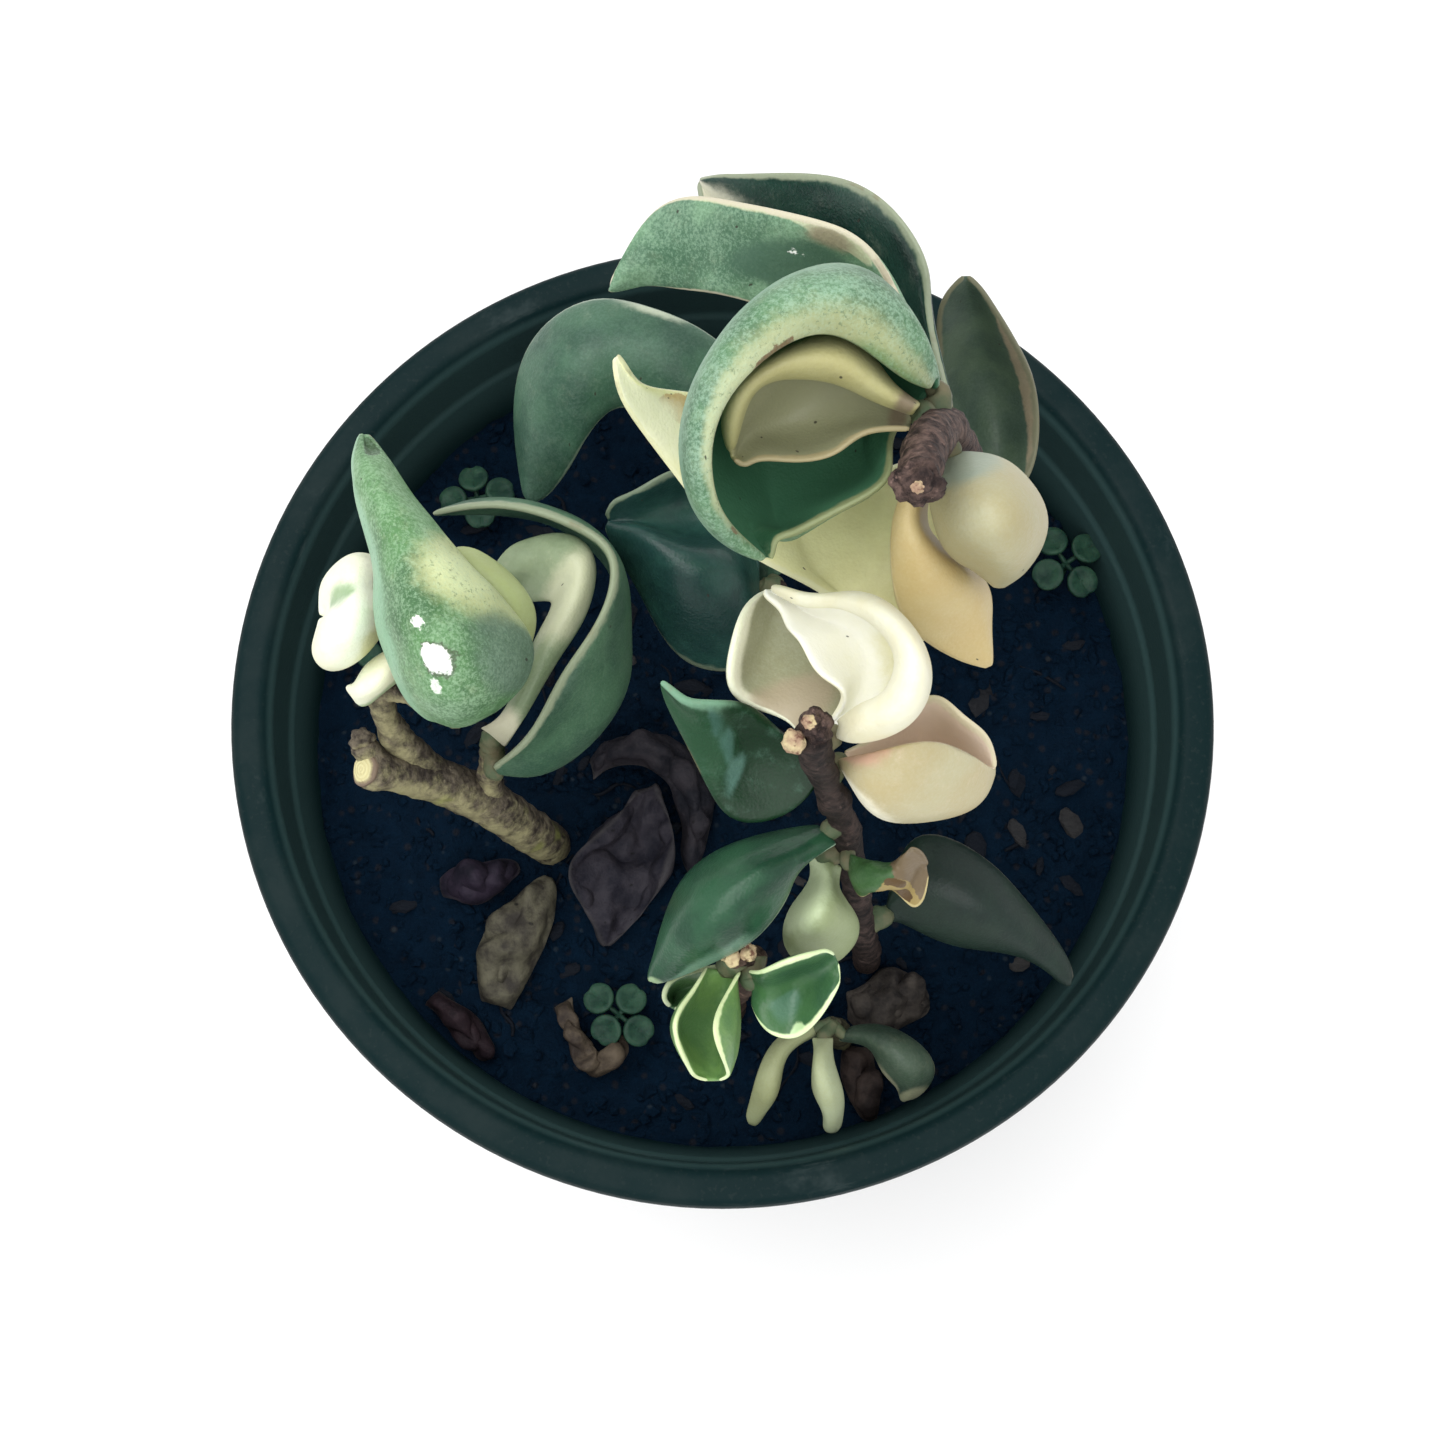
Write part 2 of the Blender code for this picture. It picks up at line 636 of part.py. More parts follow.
            [(7, -46, 1), (6, -49, 1), (5, -52, -3)],
            [(7.5, -46.5, -3), (7, -49.5, -3), (5.5, -52.5, -6)],
        ],
    },
    "low_leaf_2": {
        "stem": "low_stem",
        "finish": "leaf_cream",
        "steps": (5, 4),
        "thickness": 1.1,
        "base": (12.5, -44, -2),
        "tip": (14, -55.5, -8),
        "ends": (2.6, 2.2),
        "curves": [
            [(12, -46.5, -1), (11.5, -49.5, -2), (13, -52.5, -5)],
            [(12, -47, 2), (12.5, -50, 1), (13.5, -53, -3)],
            [(14, -46.5, -1), (15, -49.5, -2), (15.5, -52.5, -5)],
        ],
    },
    "low_leaf_3": {
        "stem": "low_stem",
        "finish": "leaf_cream",
        "steps": (6, 4),
        "thickness": 1.1,
        "base": (16, -43.5, -3),
        "tip": (24, -51.5, -6),
        "ends": (2.2, 2.4),
        "curves": [
            [(21.5, -42.5, -2), (26, -45.5, -2), (27, -48.5, -4)],
            [(19.5, -44, 1), (22.5, -46.5, 2), (24, -49, -1)],
            [(19, -45, -3), (20.5, -48, -3), (22.5, -50, -5)],
        ],
    },
}

# The dry leaves on the soil. Their heights are counted from the soil.
FALLEN_LEAVES = {
    "dried_ring_leaf": {
        "finish": "leaf_dried",
        "steps": (8, 4),
        "thickness": 0.8,
        "base": (-18.5, -6, 0),
        "tip": (-4.5, -20.5, 0),
        "ends": (3, 2),
        "curves": [
            [(-15.5, -5.5, 1), (-10, -6, 2), (-6.5, -10, 2), (-5.5, -16, 1)],
            [(-15.5, -3.5, 4), (-9.5, -3.5, 6), (-4.5, -9, 6), (-3.5, -15.5, 4)],
            [(-16, -2, 0), (-9.5, -1, 0), (-2.5, -7.5, 0), (-2, -15.5, 0)],
        ],
    },
    "dried_coil_leaf": {
        "finish": "leaf_dried",
        "steps": (7, 5),
        "thickness": 0.8,
        "base": (-10.5, -8.5, 2),
        "tip": (-16, -30.5, 1),
        "ends": (3, 2),
        "curves": [
            [(-8, -11.5, 5), (-6.5, -16.5, 6), (-8, -22, 6), (-11.5, -27, 3)],
            [(-9.5, -12.5, 2), (-9.5, -17, 1.5), (-10.5, -22, 1.5), (-12.5, -26.5, 1.5)],
            [(-13, -13.5, 1.5), (-15, -18, 1.5), (-15.5, -22.5, 1.5), (-15, -26.5, 1.5)],
            [(-16, -14.5, 5), (-20.5, -19, 6), (-20.5, -23.5, 6), (-18, -27.5, 3)],
        ],
    },
    "tan_leaf": {
        "finish": "leaf_dried",
        "steps": (6, 4),
        "thickness": 0.9,
        "base": (-31, -38.5, 0),
        "tip": (-24, -21, 1),
        "ends": (4, 2),
        "curves": [
            [(-33.5, -34, 1), (-33, -29, 1), (-30, -25, 1), (-26.5, -22.5, 1)],
            [(-30.5, -34.5, 4), (-29, -29.5, 5), (-26.5, -26, 5), (-25, -23, 3)],
            [(-27, -36, 1), (-24.5, -31, 1), (-23, -27, 1), (-23, -24, 1)],
        ],
    },
    "purple_leaf": {
        "finish": "leaf_dried",
        "steps": (5, 3),
        "thickness": 0.8,
        "base": (-39, -22.5, 0),
        "tip": (-28, -19.5, 0),
        "ends": (2.5, 2),
        "curves": [
            [(-36.5, -19.5, 1), (-33.5, -19, 1), (-30.5, -18.5, 1)],
            [(-36, -22, 4), (-33, -21.5, 5), (-30, -20.5, 3)],
            [(-35.5, -24.5, 1), (-32.5, -24.5, 1), (-29.5, -22, 1)],
        ],
    },
    "bent_leaf": {
        "finish": "leaf_dried",
        "steps": (7, 3),
        "thickness": 0.8,
        "base": (-22, -38, 0),
        "tip": (-13.5, -43, 0),
        "ends": (3, 2.5),
        "curves": [
            [(-20, -40, 1), (-18, -43.5, 1), (-16.5, -45, 1), (-15, -43.5, 1)],
            [(-21, -40.5, 3), (-19, -44.5, 4), (-17, -46.5, 4), (-14.5, -44.5, 3)],
            [(-22, -41, 1), (-20, -45.5, 1), (-17.5, -48, 1), (-13.5, -46, 1)],
        ],
    },
    "rust_leaf": {
        "finish": "leaf_dried",
        "steps": (5, 3),
        "thickness": 0.8,
        "base": (-40, -37.5, 0),
        "tip": (-32, -45.5, 0),
        "ends": (3, 2),
        "curves": [
            [(-37.5, -37.5, 1), (-34, -39.5, 1), (-32, -43, 1)],
            [(-38.5, -38.5, 3), (-35.5, -41, 4), (-33, -44, 3)],
            [(-39.5, -39.5, 1), (-37, -42.5, 1), (-34, -45, 1)],
        ],
    },
    "grey_dried_leaf": {
        "finish": "leaf_dried",
        "steps": (6, 4),
        "thickness": 0.9,
        "base": (17, -38.5, 0.5),
        "tip": (28.5, -38, 0),
        "ends": (3.5, 3),
        "curves": [
            [(19, -36, 1), (22, -34, 1), (26, -34.5, 1)],
            [(19, -38, 4), (22.5, -37, 5), (26, -36.5, 4)],
            [(19, -40, 4), (22.5, -40, 5), (26, -39, 3)],
            [(19, -41.5, 0.5), (22.5, -42, 0.5), (26.5, -40.5, 0)],
        ],
    },
    "brown_leaf": {
        "finish": "leaf_dried",
        "steps": (5, 3),
        "thickness": 0.8,
        "base": (18.5, -44.5, 0),
        "tip": (20, -54, 0),
        "ends": (3, 2.5),
        "curves": [
            [(16.5, -46, 1), (16.5, -49.5, 1), (18, -52.5, 1)],
            [(18.5, -46.5, 3), (19, -49.5, 4), (19.5, -52.5, 3)],
            [(20.5, -46, 0), (21.5, -49.5, 0), (21, -52.5, 0)],
        ],
    },
}


def clear_scene():
    """Removes whatever the file holds, so that the model starts from nothing."""
    for thing in list(bpy.data.objects):
        bpy.data.objects.remove(thing, do_unlink=True)
    for group in list(bpy.data.collections):
        bpy.data.collections.remove(group)


def new_collection(name, hidden=False):
    """A collection of the scene, for the parts or for the cutters."""
    group = bpy.data.collections.new(name)
    group.hide_render = hidden
    bpy.context.scene.collection.children.link(group)
    return group


def material(name):
    """The material of that name, made from FINISHES when it is first asked for."""
    if name in bpy.data.materials:
        return bpy.data.materials[name]
    colour, roughness = FINISHES[name]
    made = bpy.data.materials.new(name)
    made.use_nodes = True
    shader = made.node_tree.nodes["Principled BSDF"]
    shader.inputs["Base Color"].default_value = (*colour, 1.0)
    shader.inputs["Roughness"].default_value = roughness
    shader.inputs["Metallic"].default_value = 0.0
    made.diffuse_color = (*colour, 1.0)
    return made


def new_object(name, mesh, group, finish=None):
    """Links a mesh or a curve to the scene as a named object."""
    thing = bpy.data.objects.new(name, mesh)
    group.objects.link(thing)
    if finish:
        thing.data.materials.append(material(finish))
    return thing


def mesh_of(thing):
    """The mesh that an object shows, with its modifiers and its place in it and its caps welded."""
    graph = bpy.context.evaluated_depsgraph_get()
    mesh = bpy.data.meshes.new_from_object(thing.evaluated_get(graph))
    mesh.transform(thing.matrix_world)
    shape = bmesh.new()
    shape.from_mesh(mesh)
    bmesh.ops.remove_doubles(shape, verts=shape.verts, dist=WELD)
    bmesh.ops.recalc_face_normals(shape, faces=shape.faces)
    bmesh.ops.triangulate(shape, faces=shape.faces)
    shape.to_mesh(mesh)
    shape.free()
    return mesh


def as_mesh_object(thing, group, finish=None):
    """Replaces a curve, or an object with modifiers, by a plain mesh object of the same name."""
    name = thing.name
    mesh = mesh_of(thing)
    bpy.data.objects.remove(thing, do_unlink=True)
    mesh.name = name
    return new_object(name, mesh, group, finish)


def boolean(thing, other, operation, solver="EXACT"):
    """Adds a Boolean modifier that cuts or joins a whole collection."""
    step = thing.modifiers.new(operation.title(), "BOOLEAN")
    step.operation = operation
    step.operand_type = "COLLECTION"
    step.collection = other
    step.solver = solver
    return step


def turned(name, outline, sides, group, finish=None):
    """A turned shape: the outline of (radius, height) points, in mm, is spun about the axis."""
    mesh = bpy.data.meshes.new(name)
    points = [(radius * MM, 0.0, height * MM) for radius, height in outline]
    edges = [(first, first + 1) for first in range(len(points) - 1)]
    mesh.from_pydata(points, edges, [])
    thing = new_object(name, mesh, group, finish)
    screw = thing.modifiers.new("Turn", "SCREW")
    screw.steps = sides
    screw.render_steps = sides
    screw.use_merge_vertices = True
    screw.merge_threshold = WELD
    screw.use_smooth_shade = True
    return thing


def rod(name, route, radii, group, finish=None, sides=2):
    """A stem: a bevelled curve through the route's places, as thick as radii says at each."""
    curve = bpy.data.curves.new(name, "CURVE")
    curve.dimensions = "3D"
    curve.bevel_depth = MM
    curve.bevel_resolution = sides
    curve.use_fill_caps = True
    spline = curve.splines.new("POLY")
    smooth = smooth_route(route, radii, STEM_STEPS)
    spline.points.add(len(smooth) - 1)
    for point, (x, y, height, radius) in zip(spline.points, smooth):
        point.co = (x * MM, y * MM, (height + POT_HEIGHT) * MM, 1.0)
        point.radius = radius
    return new_object(name, curve, group, finish)


def spline_weights(knots, places):
    """Weights that turn the values at a row of knots into those of a smooth curve.

    The curve is a natural cubic spline. The knots and the places run from 0 to 1, and each row of
    the answer holds the weights of one place.
    """
    knots = np.asarray(knots, float)
    count = len(knots)
    spans = np.diff(knots)
    unit = np.eye(count)
    bend = np.zeros((count, count))
    if count > 2:
        system = np.diag(2.0 * (spans[:-1] + spans[1:]))
        system += np.diag(spans[1:-1], 1) + np.diag(spans[1:-1], -1)
        slopes = (unit[1:] - unit[:-1]) / spans[:, None]
        bend[1:-1] = np.linalg.solve(system, 6.0 * (slopes[1:] - slopes[:-1]))
    places = np.clip(np.asarray(places, float), 0.0, 1.0)
    start = np.clip(np.searchsorted(knots, places, side="right") - 1, 0, count - 2)
    span = spans[start][:, None]
    after = (places[:, None] - knots[start][:, None]) / span
    before = 1.0 - after
    straight = before * unit[start] + after * unit[start + 1]
    curved = (before**3 - before) * bend[start] + (after**3 - after) * bend[start + 1]
    return straight + curved * span**2 / 6.0


def knots_of(distances):
    """Knots from 0 to 1 that are as far apart as the distances between the places they stand for."""
    far = np.concatenate([[0.0], np.cumsum(distances)])
    return far / far[-1]


def smooth_route(route, radii, steps):
    """The places and radii of a stem, read from a smooth curve through its own points."""
    table = np.column_stack([np.array(route, float), np.array(radii, float)])
    knots = knots_of(np.linalg.norm(np.diff(table[:, :3], axis=0), axis=1))
    count = steps * (len(route) - 1) + 1
    places = np.interp(np.linspace(0.0, 1.0, count), np.linspace(0.0, 1.0, len(route)), knots)
    return spline_weights(knots, places) @ table


def open_end(middle, width, section):
    """One end of a leaf: a shallow arc, as wide as given, that opens the way the next section does."""
    across = section[-1] - section[0]
    across = across / np.linalg.norm(across)
    belly = section[1:-1].mean(axis=0) - 0.5 * (section[0] + section[-1])
    belly = belly - (belly @ across) * across
    belly = belly / np.linalg.norm(belly)
    spread = np.linspace(-1.0, 1.0, len(section))[:, None]
    arc = 0.5 * spread * across + END_DEPTH * (1.0 - spread**2) * belly
    return np.array(middle) + width * arc


def rolled_end(middle, width, section):
    """One end of a rolled leaf: a small copy, as wide as given, of the section next to it."""
    shape = section - section.mean(axis=0)
    return np.array(middle) + shape * 0.5 * width / np.linalg.norm(shape, axis=1).max()


def stem_axis(name):
    """Places close together on the axes of a stem and its side shoots, each with the radius there."""
    spec = STEMS[name]
    routes = [(spec["route"], spec["radii"])] + spec.get("shoots", [])
    return np.concatenate([smooth_route(route, radii, SEAT_STEPS) for route, radii in routes])


def seated(section, spec):
    """The leaf's base section, moved straight to its stem until only the gap is left between them."""
    axis = stem_axis(spec["stem"])
    base = np.array(spec["base"])
    out = base - axis[np.linalg.norm(axis[:, :3] - base, axis=1).argmin(), :3]
    out = out / np.linalg.norm(out)
    fine = np.concatenate([section, 0.5 * (section[1:] + section[:-1])])
    shift = SEAT_REACH
    apart = SEAT_REACH
    while apart > GAP + 0.5 * THIN_END:
        shift -= SEAT_STRIDE
        places = (fine + shift * out)[:, None]
        apart = (np.linalg.norm(places - axis[:, :3], axis=2) - axis[:, 3]).min()
    return section + (shift + SEAT_STRIDE) * out


def leaf_net(spec):
    """The places that steer a leaf: one row for each curve, from one edge over to the other.

    Each row begins at the leaf's base and ends at its tip.
    """
    base_width, tip_width = spec["ends"]
    rows = np.array(spec["curves"], float)
    leaf_end = rolled_end if spec.get("rolled") else open_end
    first = leaf_end(spec["base"], base_width, rows[:, 0])
    if "stem" in spec:
        first = seated(first, spec)
    last = leaf_end(spec["tip"], tip_width, rows[:, -1])
    return np.concatenate([first[:, None], rows, last[:, None]], axis=1)


def bend_radius(places):
    """The radius, in mm, of the tightest bend of a net of places at each of them."""
    tightest = np.full(places.shape[:2], FLAT_RADIUS)
    for axis in (0, 1):
        steps = np.diff(np.moveaxis(places, axis, 0), axis=0)
        lengths = np.linalg.norm(steps, axis=2)
        turn = (steps[1:] * steps[:-1]).sum(axis=2) / (lengths[1:] * lengths[:-1])
        angle = np.maximum(np.arccos(np.clip(turn, -1.0, 1.0)), LEAST_TURN)
        radius = 0.5 * (lengths[1:] + lengths[:-1]) / angle
        radius = np.concatenate([radius[:1], radius, radius[-1:]])
        tightest = np.minimum(tightest, np.moveaxis(radius, 0, axis))
    return tightest


def leaf_mesh(name, spec, ground=None):
    """A leaf's middle surface: a grid that is laid through the leaf's net and split into triangles.

    With a ground, the net's heights are counted from it and not from the pot's rim.
    """
    along_steps, across_steps = spec["steps"]
    net = leaf_net(spec)
    along_knots = knots_of(np.linalg.norm(np.diff(net, axis=1), axis=2).mean(axis=0))
    across_knots = knots_of(np.linalg.norm(np.diff(net[:, 1:-1], axis=0), axis=2).mean(axis=1))
    shape = bmesh.new()
    bmesh.ops.create_grid(shape, x_segments=along_steps, y_segments=across_steps, size=0.5)
    flat = np.array([vertex.co for vertex in shape.verts]) + 0.5
    along = spline_weights(along_knots, flat[:, 0])
    across = spline_weights(across_knots, flat[:, 1])
    places = np.einsum("nl,nk,klc->nc", along, across, net)
    radius = bend_radius(places.reshape(across_steps + 1, along_steps + 1, 3)).ravel()
    taper = np.minimum(1.0, np.minimum(flat[:, 0], 1.0 - flat[:, 0]) / FULL_AT)
    room = (2.0 * ROOM * radius - THIN_END) / (spec["thickness"] - THIN_END)
    fullness = np.clip(np.minimum(taper, room), 0.0, 1.0)
    places[:, 2] += POT_HEIGHT
    if ground:
        lift = GAP + 0.5 * spec["thickness"] - POT_HEIGHT
        places[:, 2] += [ground_height(ground, x, y) + lift for x, y, _height in places]
    for vertex, place in zip(shape.verts, places):
        vertex.co = place * MM
    bmesh.ops.triangulate(shape, faces=shape.faces, quad_method="SHORT_EDGE")
    mesh = bpy.data.meshes.new(name)
    shape.to_mesh(mesh)
    shape.free()
    mesh.shade_smooth()
    return mesh, fullness


def make_leaf(name, spec, group, ground=None):
    """One leaf: its middle surface, thickened to both sides, and thinner at its ends and tight bends."""
    mesh, fullness = leaf_mesh(name, spec, ground)
    thing = new_object(name, mesh, group, spec["finish"])
    blade = thing.vertex_groups.new(name="blade")
    for index, weight in enumerate(fullness):
        blade.add([index], weight, "REPLACE")
    wall = thing.modifiers.new("Thickness", "SOLIDIFY")
    wall.thickness = spec["thickness"] * MM
    wall.offset = 0.0
    wall.vertex_group = blade.name
    wall.thickness_vertex_group = THIN_END / spec["thickness"]
    return thing


def ground_height(ground, x, y):
    """The height over the pot's base of the soil's highest spot close to a place, in mm."""
    highest = 0.0
    for side_x, side_y in ((0, 0), (1, 0), (-1, 0), (0, 1), (0, -1)):
        start = Vector(((x + side_x * NEAR) * MM, (y + side_y * NEAR) * MM, 2.0 * POT_HEIGHT * MM))
        hit = ground.ray_cast(start, Vector((0.0, 0.0, -1.0)))[0]
        if hit:
            highest = max(highest, hit.z / MM)
    return highest


def soil_height(x, y):
    """The height of the soil's surface at a place, in mm from the rim: low bumps on a level bed."""
    spot = Vector((x / SOIL_BUMP_LENGTH, y / SOIL_BUMP_LENGTH, SEED))
    closer, share = FINE_BUMPS
    return -SOIL_DEPTH + SOIL_BUMP * (noise.noise(spot) + share * noise.noise(spot * closer))


def make_pot(group):
    """The pot: one turned wall with a folded rim, a flat floor and a ring of drain holes."""
    height = POT_HEIGHT
    mouth_width, mouth_drop = MOUTH_ROUND
    outline = [
        (0.0, FLOOR),
        (BASE_RADIUS - WALL - FLOOR_ROUND, FLOOR),
        (BASE_RADIUS - WALL, FLOOR + FLOOR_ROUND),
        (WALL_TOP_RADIUS - WALL, height - RIM_BAND),
        (MOUTH_RADIUS, height - mouth_drop),
        (MOUTH_RADIUS + mouth_width, height),
        (RIM_RADIUS - RIM_ROUND, height),
        (RIM_RADIUS, height - RIM_ROUND),
        (RIM_RADIUS - RIM_TAPER, height - RIM_BAND),
        (WALL_TOP_RADIUS, height - RIM_BAND),
        (BASE_RADIUS, BASE_ROUND),
        (BASE_RADIUS - BASE_ROUND, 0.0),
        (0.0, 0.0),
    ]
    pot = turned("pot", outline, POT_SIDES, group, "pot_plastic")
    holes = new_collection("drain_holes", hidden=True)
    for index in range(DRAIN_HOLES):
        angle = 2.0 * math.pi * index / DRAIN_HOLES
        spot = (DRAIN_RING * math.cos(angle), DRAIN_RING * math.sin(angle))
        plug(f"drain_hole_{index}", spot, (-FLOOR, 2.0 * FLOOR), DRAIN_RADIUS, holes)
    boolean(pot, holes, "DIFFERENCE")
    return pot


def plug(name, spot, heights, radius, group):
    """An upright cylinder, for cutting a round hole between two heights over the pot's base."""
    low, high = heights
    mesh = bpy.data.meshes.new(name)
    shape = bmesh.new()
    bmesh.ops.create_cone(
        shape, cap_ends=True, segments=PLUG_SIDES, radius1=radius * MM, radius2=radius * MM,
        depth=(high - low) * MM,
    )
    shape.to_mesh(mesh)
    shape.free()
    thing = new_object(name, mesh, group)
    thing.location = (spot[0] * MM, spot[1] * MM, 0.5 * (low + high) * MM)
    thing.display_type = "WIRE"
    thing.hide_render = True
    return thing


def make_soil(group):
    """The soil: it fills the pot up to its bumpy top, with bark chips fused to it and stem holes."""
    low = FLOOR + GAP
    slope = (WALL_TOP_RADIUS - BASE_RADIUS) / (POT_HEIGHT - RIM_BAND)
    top = POT_HEIGHT - SOIL_DEPTH
    top_radius = WALL_TOP_RADIUS - WALL - slope * (POT_HEIGHT - RIM_BAND - top) - GAP - SOIL_SLACK
    low_radius = BASE_RADIUS - WALL - GAP - FLOOR_ROUND
    outline = [(0.0, top)]
    for ring in range(1, SOIL_RINGS + 1):
        outline.append((top_radius * ring / SOIL_RINGS, top))
    outline += [(low_radius, low + FLOOR_ROUND), (low_radius - FLOOR_ROUND, low), (0.0, low)]
    soil = as_mesh_object(turned("soil", outline, POT_SIDES // 2, group), group, "soil_dark")
    for vertex in soil.data.vertices:
        x, y, z = (value / MM for value in vertex.co)
        reach = math.hypot(x, y)
        if z > top - WALL and reach < top_radius - WALL:
            vertex.co.z = (soil_height(x, y) + POT_HEIGHT) * MM
    chips = new_collection("bark_chips")
    draw = random.Random(SEED)
    for index in range(CHIP_COUNT):
        reach = (top_radius - CHIP_MARGIN) * math.sqrt((index + 0.5) / CHIP_COUNT)
        angle = index * GOLDEN_ANGLE
        chip(f"chip_{index}", reach * math.cos(angle), reach * math.sin(angle), draw, chips)
    boolean(soil, chips, "UNION")
    soil = as_mesh_object(soil, group, "soil_dark")
    remove_all(chips)
    return soil


def chip(name, x, y, draw, group):
    """One bark chip: a small tilted block, sunk to its middle in the soil."""
    mesh = bpy.data.meshes.new(name)
    shape = bmesh.new()
    bmesh.ops.create_cube(shape, size=MM)
    size = [value * draw.uniform(*CHIP_SPREAD) for value in CHIP_SIZE]
    for vertex in shape.verts:
        shrink = draw.uniform(CHIP_SHRINK, 1.0)
        vertex.co = [value * side * shrink for value, side in zip(vertex.co, size)]
    bmesh.ops.triangulate(shape, faces=shape.faces)
    shape.to_mesh(mesh)
    shape.free()
    thing = new_object(name, mesh, group)
    tilts = [draw.uniform(-CHIP_TILT, CHIP_TILT) for _ in range(2)]
    thing.rotation_euler = (*tilts, draw.uniform(0.0, math.pi))
    thing.location = (x * MM, y * MM, (soil_height(x, y) + POT_HEIGHT) * MM)
    return thing


def remove_all(group):
    """Removes a collection with all that is in it."""
    for thing in list(group.objects):
        bpy.data.objects.remove(thing, do_unlink=True)
    bpy.data.collections.remove(group)


def make_stem(name, spec, group, holes):
    """One stem with its side shoots, and the hole in the soil that it stands in."""
    stem = rod(name, spec["route"], spec["radii"], group)
    stem = as_mesh_object(stem, group, spec["finish"])
    if "shoots" in spec:
        shoots = new_collection(name + "_shoots")
        for index, (route, radii) in enumerate(spec["shoots"]):
            branch = rod(f"{name}_shoot_{index}", route, radii, shoots)
            as_mesh_object(branch, shoots)
        boolean(stem, shoots, "UNION")
        stem = as_mesh_object(stem, group, spec["finish"])
        remove_all(shoots)
    root_hole(name, spec, holes)
    return stem


def root_hole(name, spec, holes):
    """The plain hole in the soil round a stem's foot."""
    x, y, height = spec["route"][0]
    radius = spec["radii"][0] + GAP + HOLE_SLACK
    low = POT_HEIGHT + height - GAP
    plug(name + "_hole", (x, y), (low, POT_HEIGHT - SOIL_DEPTH + HOLE_RISE), radius, holes)


def make_seedling(name, spec, group, holes):
    """A clover-like seedling: a thin stalk with a few round leaflets on short side stalks."""
    x, y = spec["spot"]
    foot = (x, y, -SOIL_DEPTH - SEEDLING_DEPTH)
    crown = (x, y, -SOIL_DEPTH + spec["tall"])
    stalk = rod(name, [foot, crown], STALK_RADII, group, sides=1)
    stalk = as_mesh_object(stalk, group, "seedling_green")
    leaflets = new_collection(name + "_leaflets")
    count = spec["count"]
    for index in range(count):
        angle = spec["turn"] + 2.0 * math.pi * index / count
        out = (math.cos(angle), math.sin(angle))
        reach = spec["reach"] * (1.0 + REACH_VARIES * math.cos(2.0 * angle + spec["turn"]))
        end = (x + out[0] * reach, y + out[1] * reach, crown[2] + SIDE_STALK_RISE)
        start = (x, y, crown[2] - SIDE_STALK_DROP)
        side = rod(f"{name}_stalk_{index}", [start, end], SIDE_STALK_RADII, leaflets, sides=0)
        as_mesh_object(side, leaflets)
        leaflet(f"{name}_leaflet_{index}", end, angle, spec["leaflet"], leaflets)
    boolean(stalk, leaflets, "UNION")
    stalk = as_mesh_object(stalk, group, "seedling_green")
    remove_all(leaflets)
    root_hole(name, {"route": [foot], "radii": STALK_RADII}, holes)
    return stalk


def leaflet(name, spot, angle, radius, group):
    """One round leaflet: a flat disc of the least thickness, tilted outwards."""
    mesh = bpy.data.meshes.new(name)
    shape = bmesh.new()
    bmesh.ops.create_cone(
        shape, cap_ends=True, segments=LEAFLET_SIDES, radius1=radius * MM,
        radius2=radius * LEAFLET_FLARE * MM, depth=LEAFLET_THICKNESS * MM,
    )
    shape.to_mesh(mesh)
    shape.free()
    thing = new_object(name, mesh, group)
    thing.location = (spot[0] * MM, spot[1] * MM, (spot[2] + POT_HEIGHT) * MM)
    thing.rotation_euler = (0.0, LEAFLET_TILT, angle)
    return thing


def main():
    """Builds the whole plant, pot and all."""
    clear_scene()
    parts = new_collection("hindu_rope_plant")
    holes = new_collection("root_holes", hidden=True)
    make_pot(parts)
    soil = make_soil(parts)
    for name, spec in STEMS.items():
        make_stem(name, spec, parts, holes)
    for name, spec in SEEDLINGS.items():
        make_seedling(name, spec, parts, holes)
    for name, spec in LEAVES.items():
        make_leaf(name, spec, parts)
    ground = BVHTree.FromPolygons(
        [vertex.co for vertex in soil.data.vertices], [face.vertices for face in soil.data.polygons],
    )
    for name, spec in FALLEN_LEAVES.items():
        make_leaf(name, spec, parts, ground)
    boolean(soil, holes, "DIFFERENCE")


main()
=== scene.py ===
"""The looks of the hindu rope plant: its leaves, stems, soil and pot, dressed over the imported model.

Run as a script in Blender. Places and sizes in the tables are in millimetres, as in the part's
source: (x, y, height), with the pot's axis at x = y = 0 and heights counted from the pot's rim.
"""
import math
import random
from collections import namedtuple

import bpy
import numpy as np
from mathutils import Matrix, Vector, noise
from mathutils.bvhtree import BVHTree


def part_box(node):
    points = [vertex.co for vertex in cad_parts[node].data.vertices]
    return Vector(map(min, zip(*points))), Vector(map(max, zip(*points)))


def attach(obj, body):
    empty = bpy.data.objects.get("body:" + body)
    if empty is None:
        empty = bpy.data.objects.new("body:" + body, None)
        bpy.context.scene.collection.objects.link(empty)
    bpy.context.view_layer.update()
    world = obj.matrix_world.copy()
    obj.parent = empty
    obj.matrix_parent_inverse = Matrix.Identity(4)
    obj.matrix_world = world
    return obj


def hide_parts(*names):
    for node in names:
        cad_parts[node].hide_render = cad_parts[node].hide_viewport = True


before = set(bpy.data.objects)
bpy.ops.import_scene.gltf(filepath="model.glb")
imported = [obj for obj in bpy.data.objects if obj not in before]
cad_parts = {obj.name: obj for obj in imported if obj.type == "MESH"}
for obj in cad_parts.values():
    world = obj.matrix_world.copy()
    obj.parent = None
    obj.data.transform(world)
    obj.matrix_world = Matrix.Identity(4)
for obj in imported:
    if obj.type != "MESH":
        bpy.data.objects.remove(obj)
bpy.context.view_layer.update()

bl_info = {
    "name": "Hindu Rope Plant",
    "version": (1, 0, 0),
    "blender": (4, 5, 0),
    "location": "3D View > Sidebar > Rope Plant",
    "description": "Dresses a potted hindu rope plant: leaves, stems, soil, pot and a plain studio",
    "category": "Add Mesh",
}

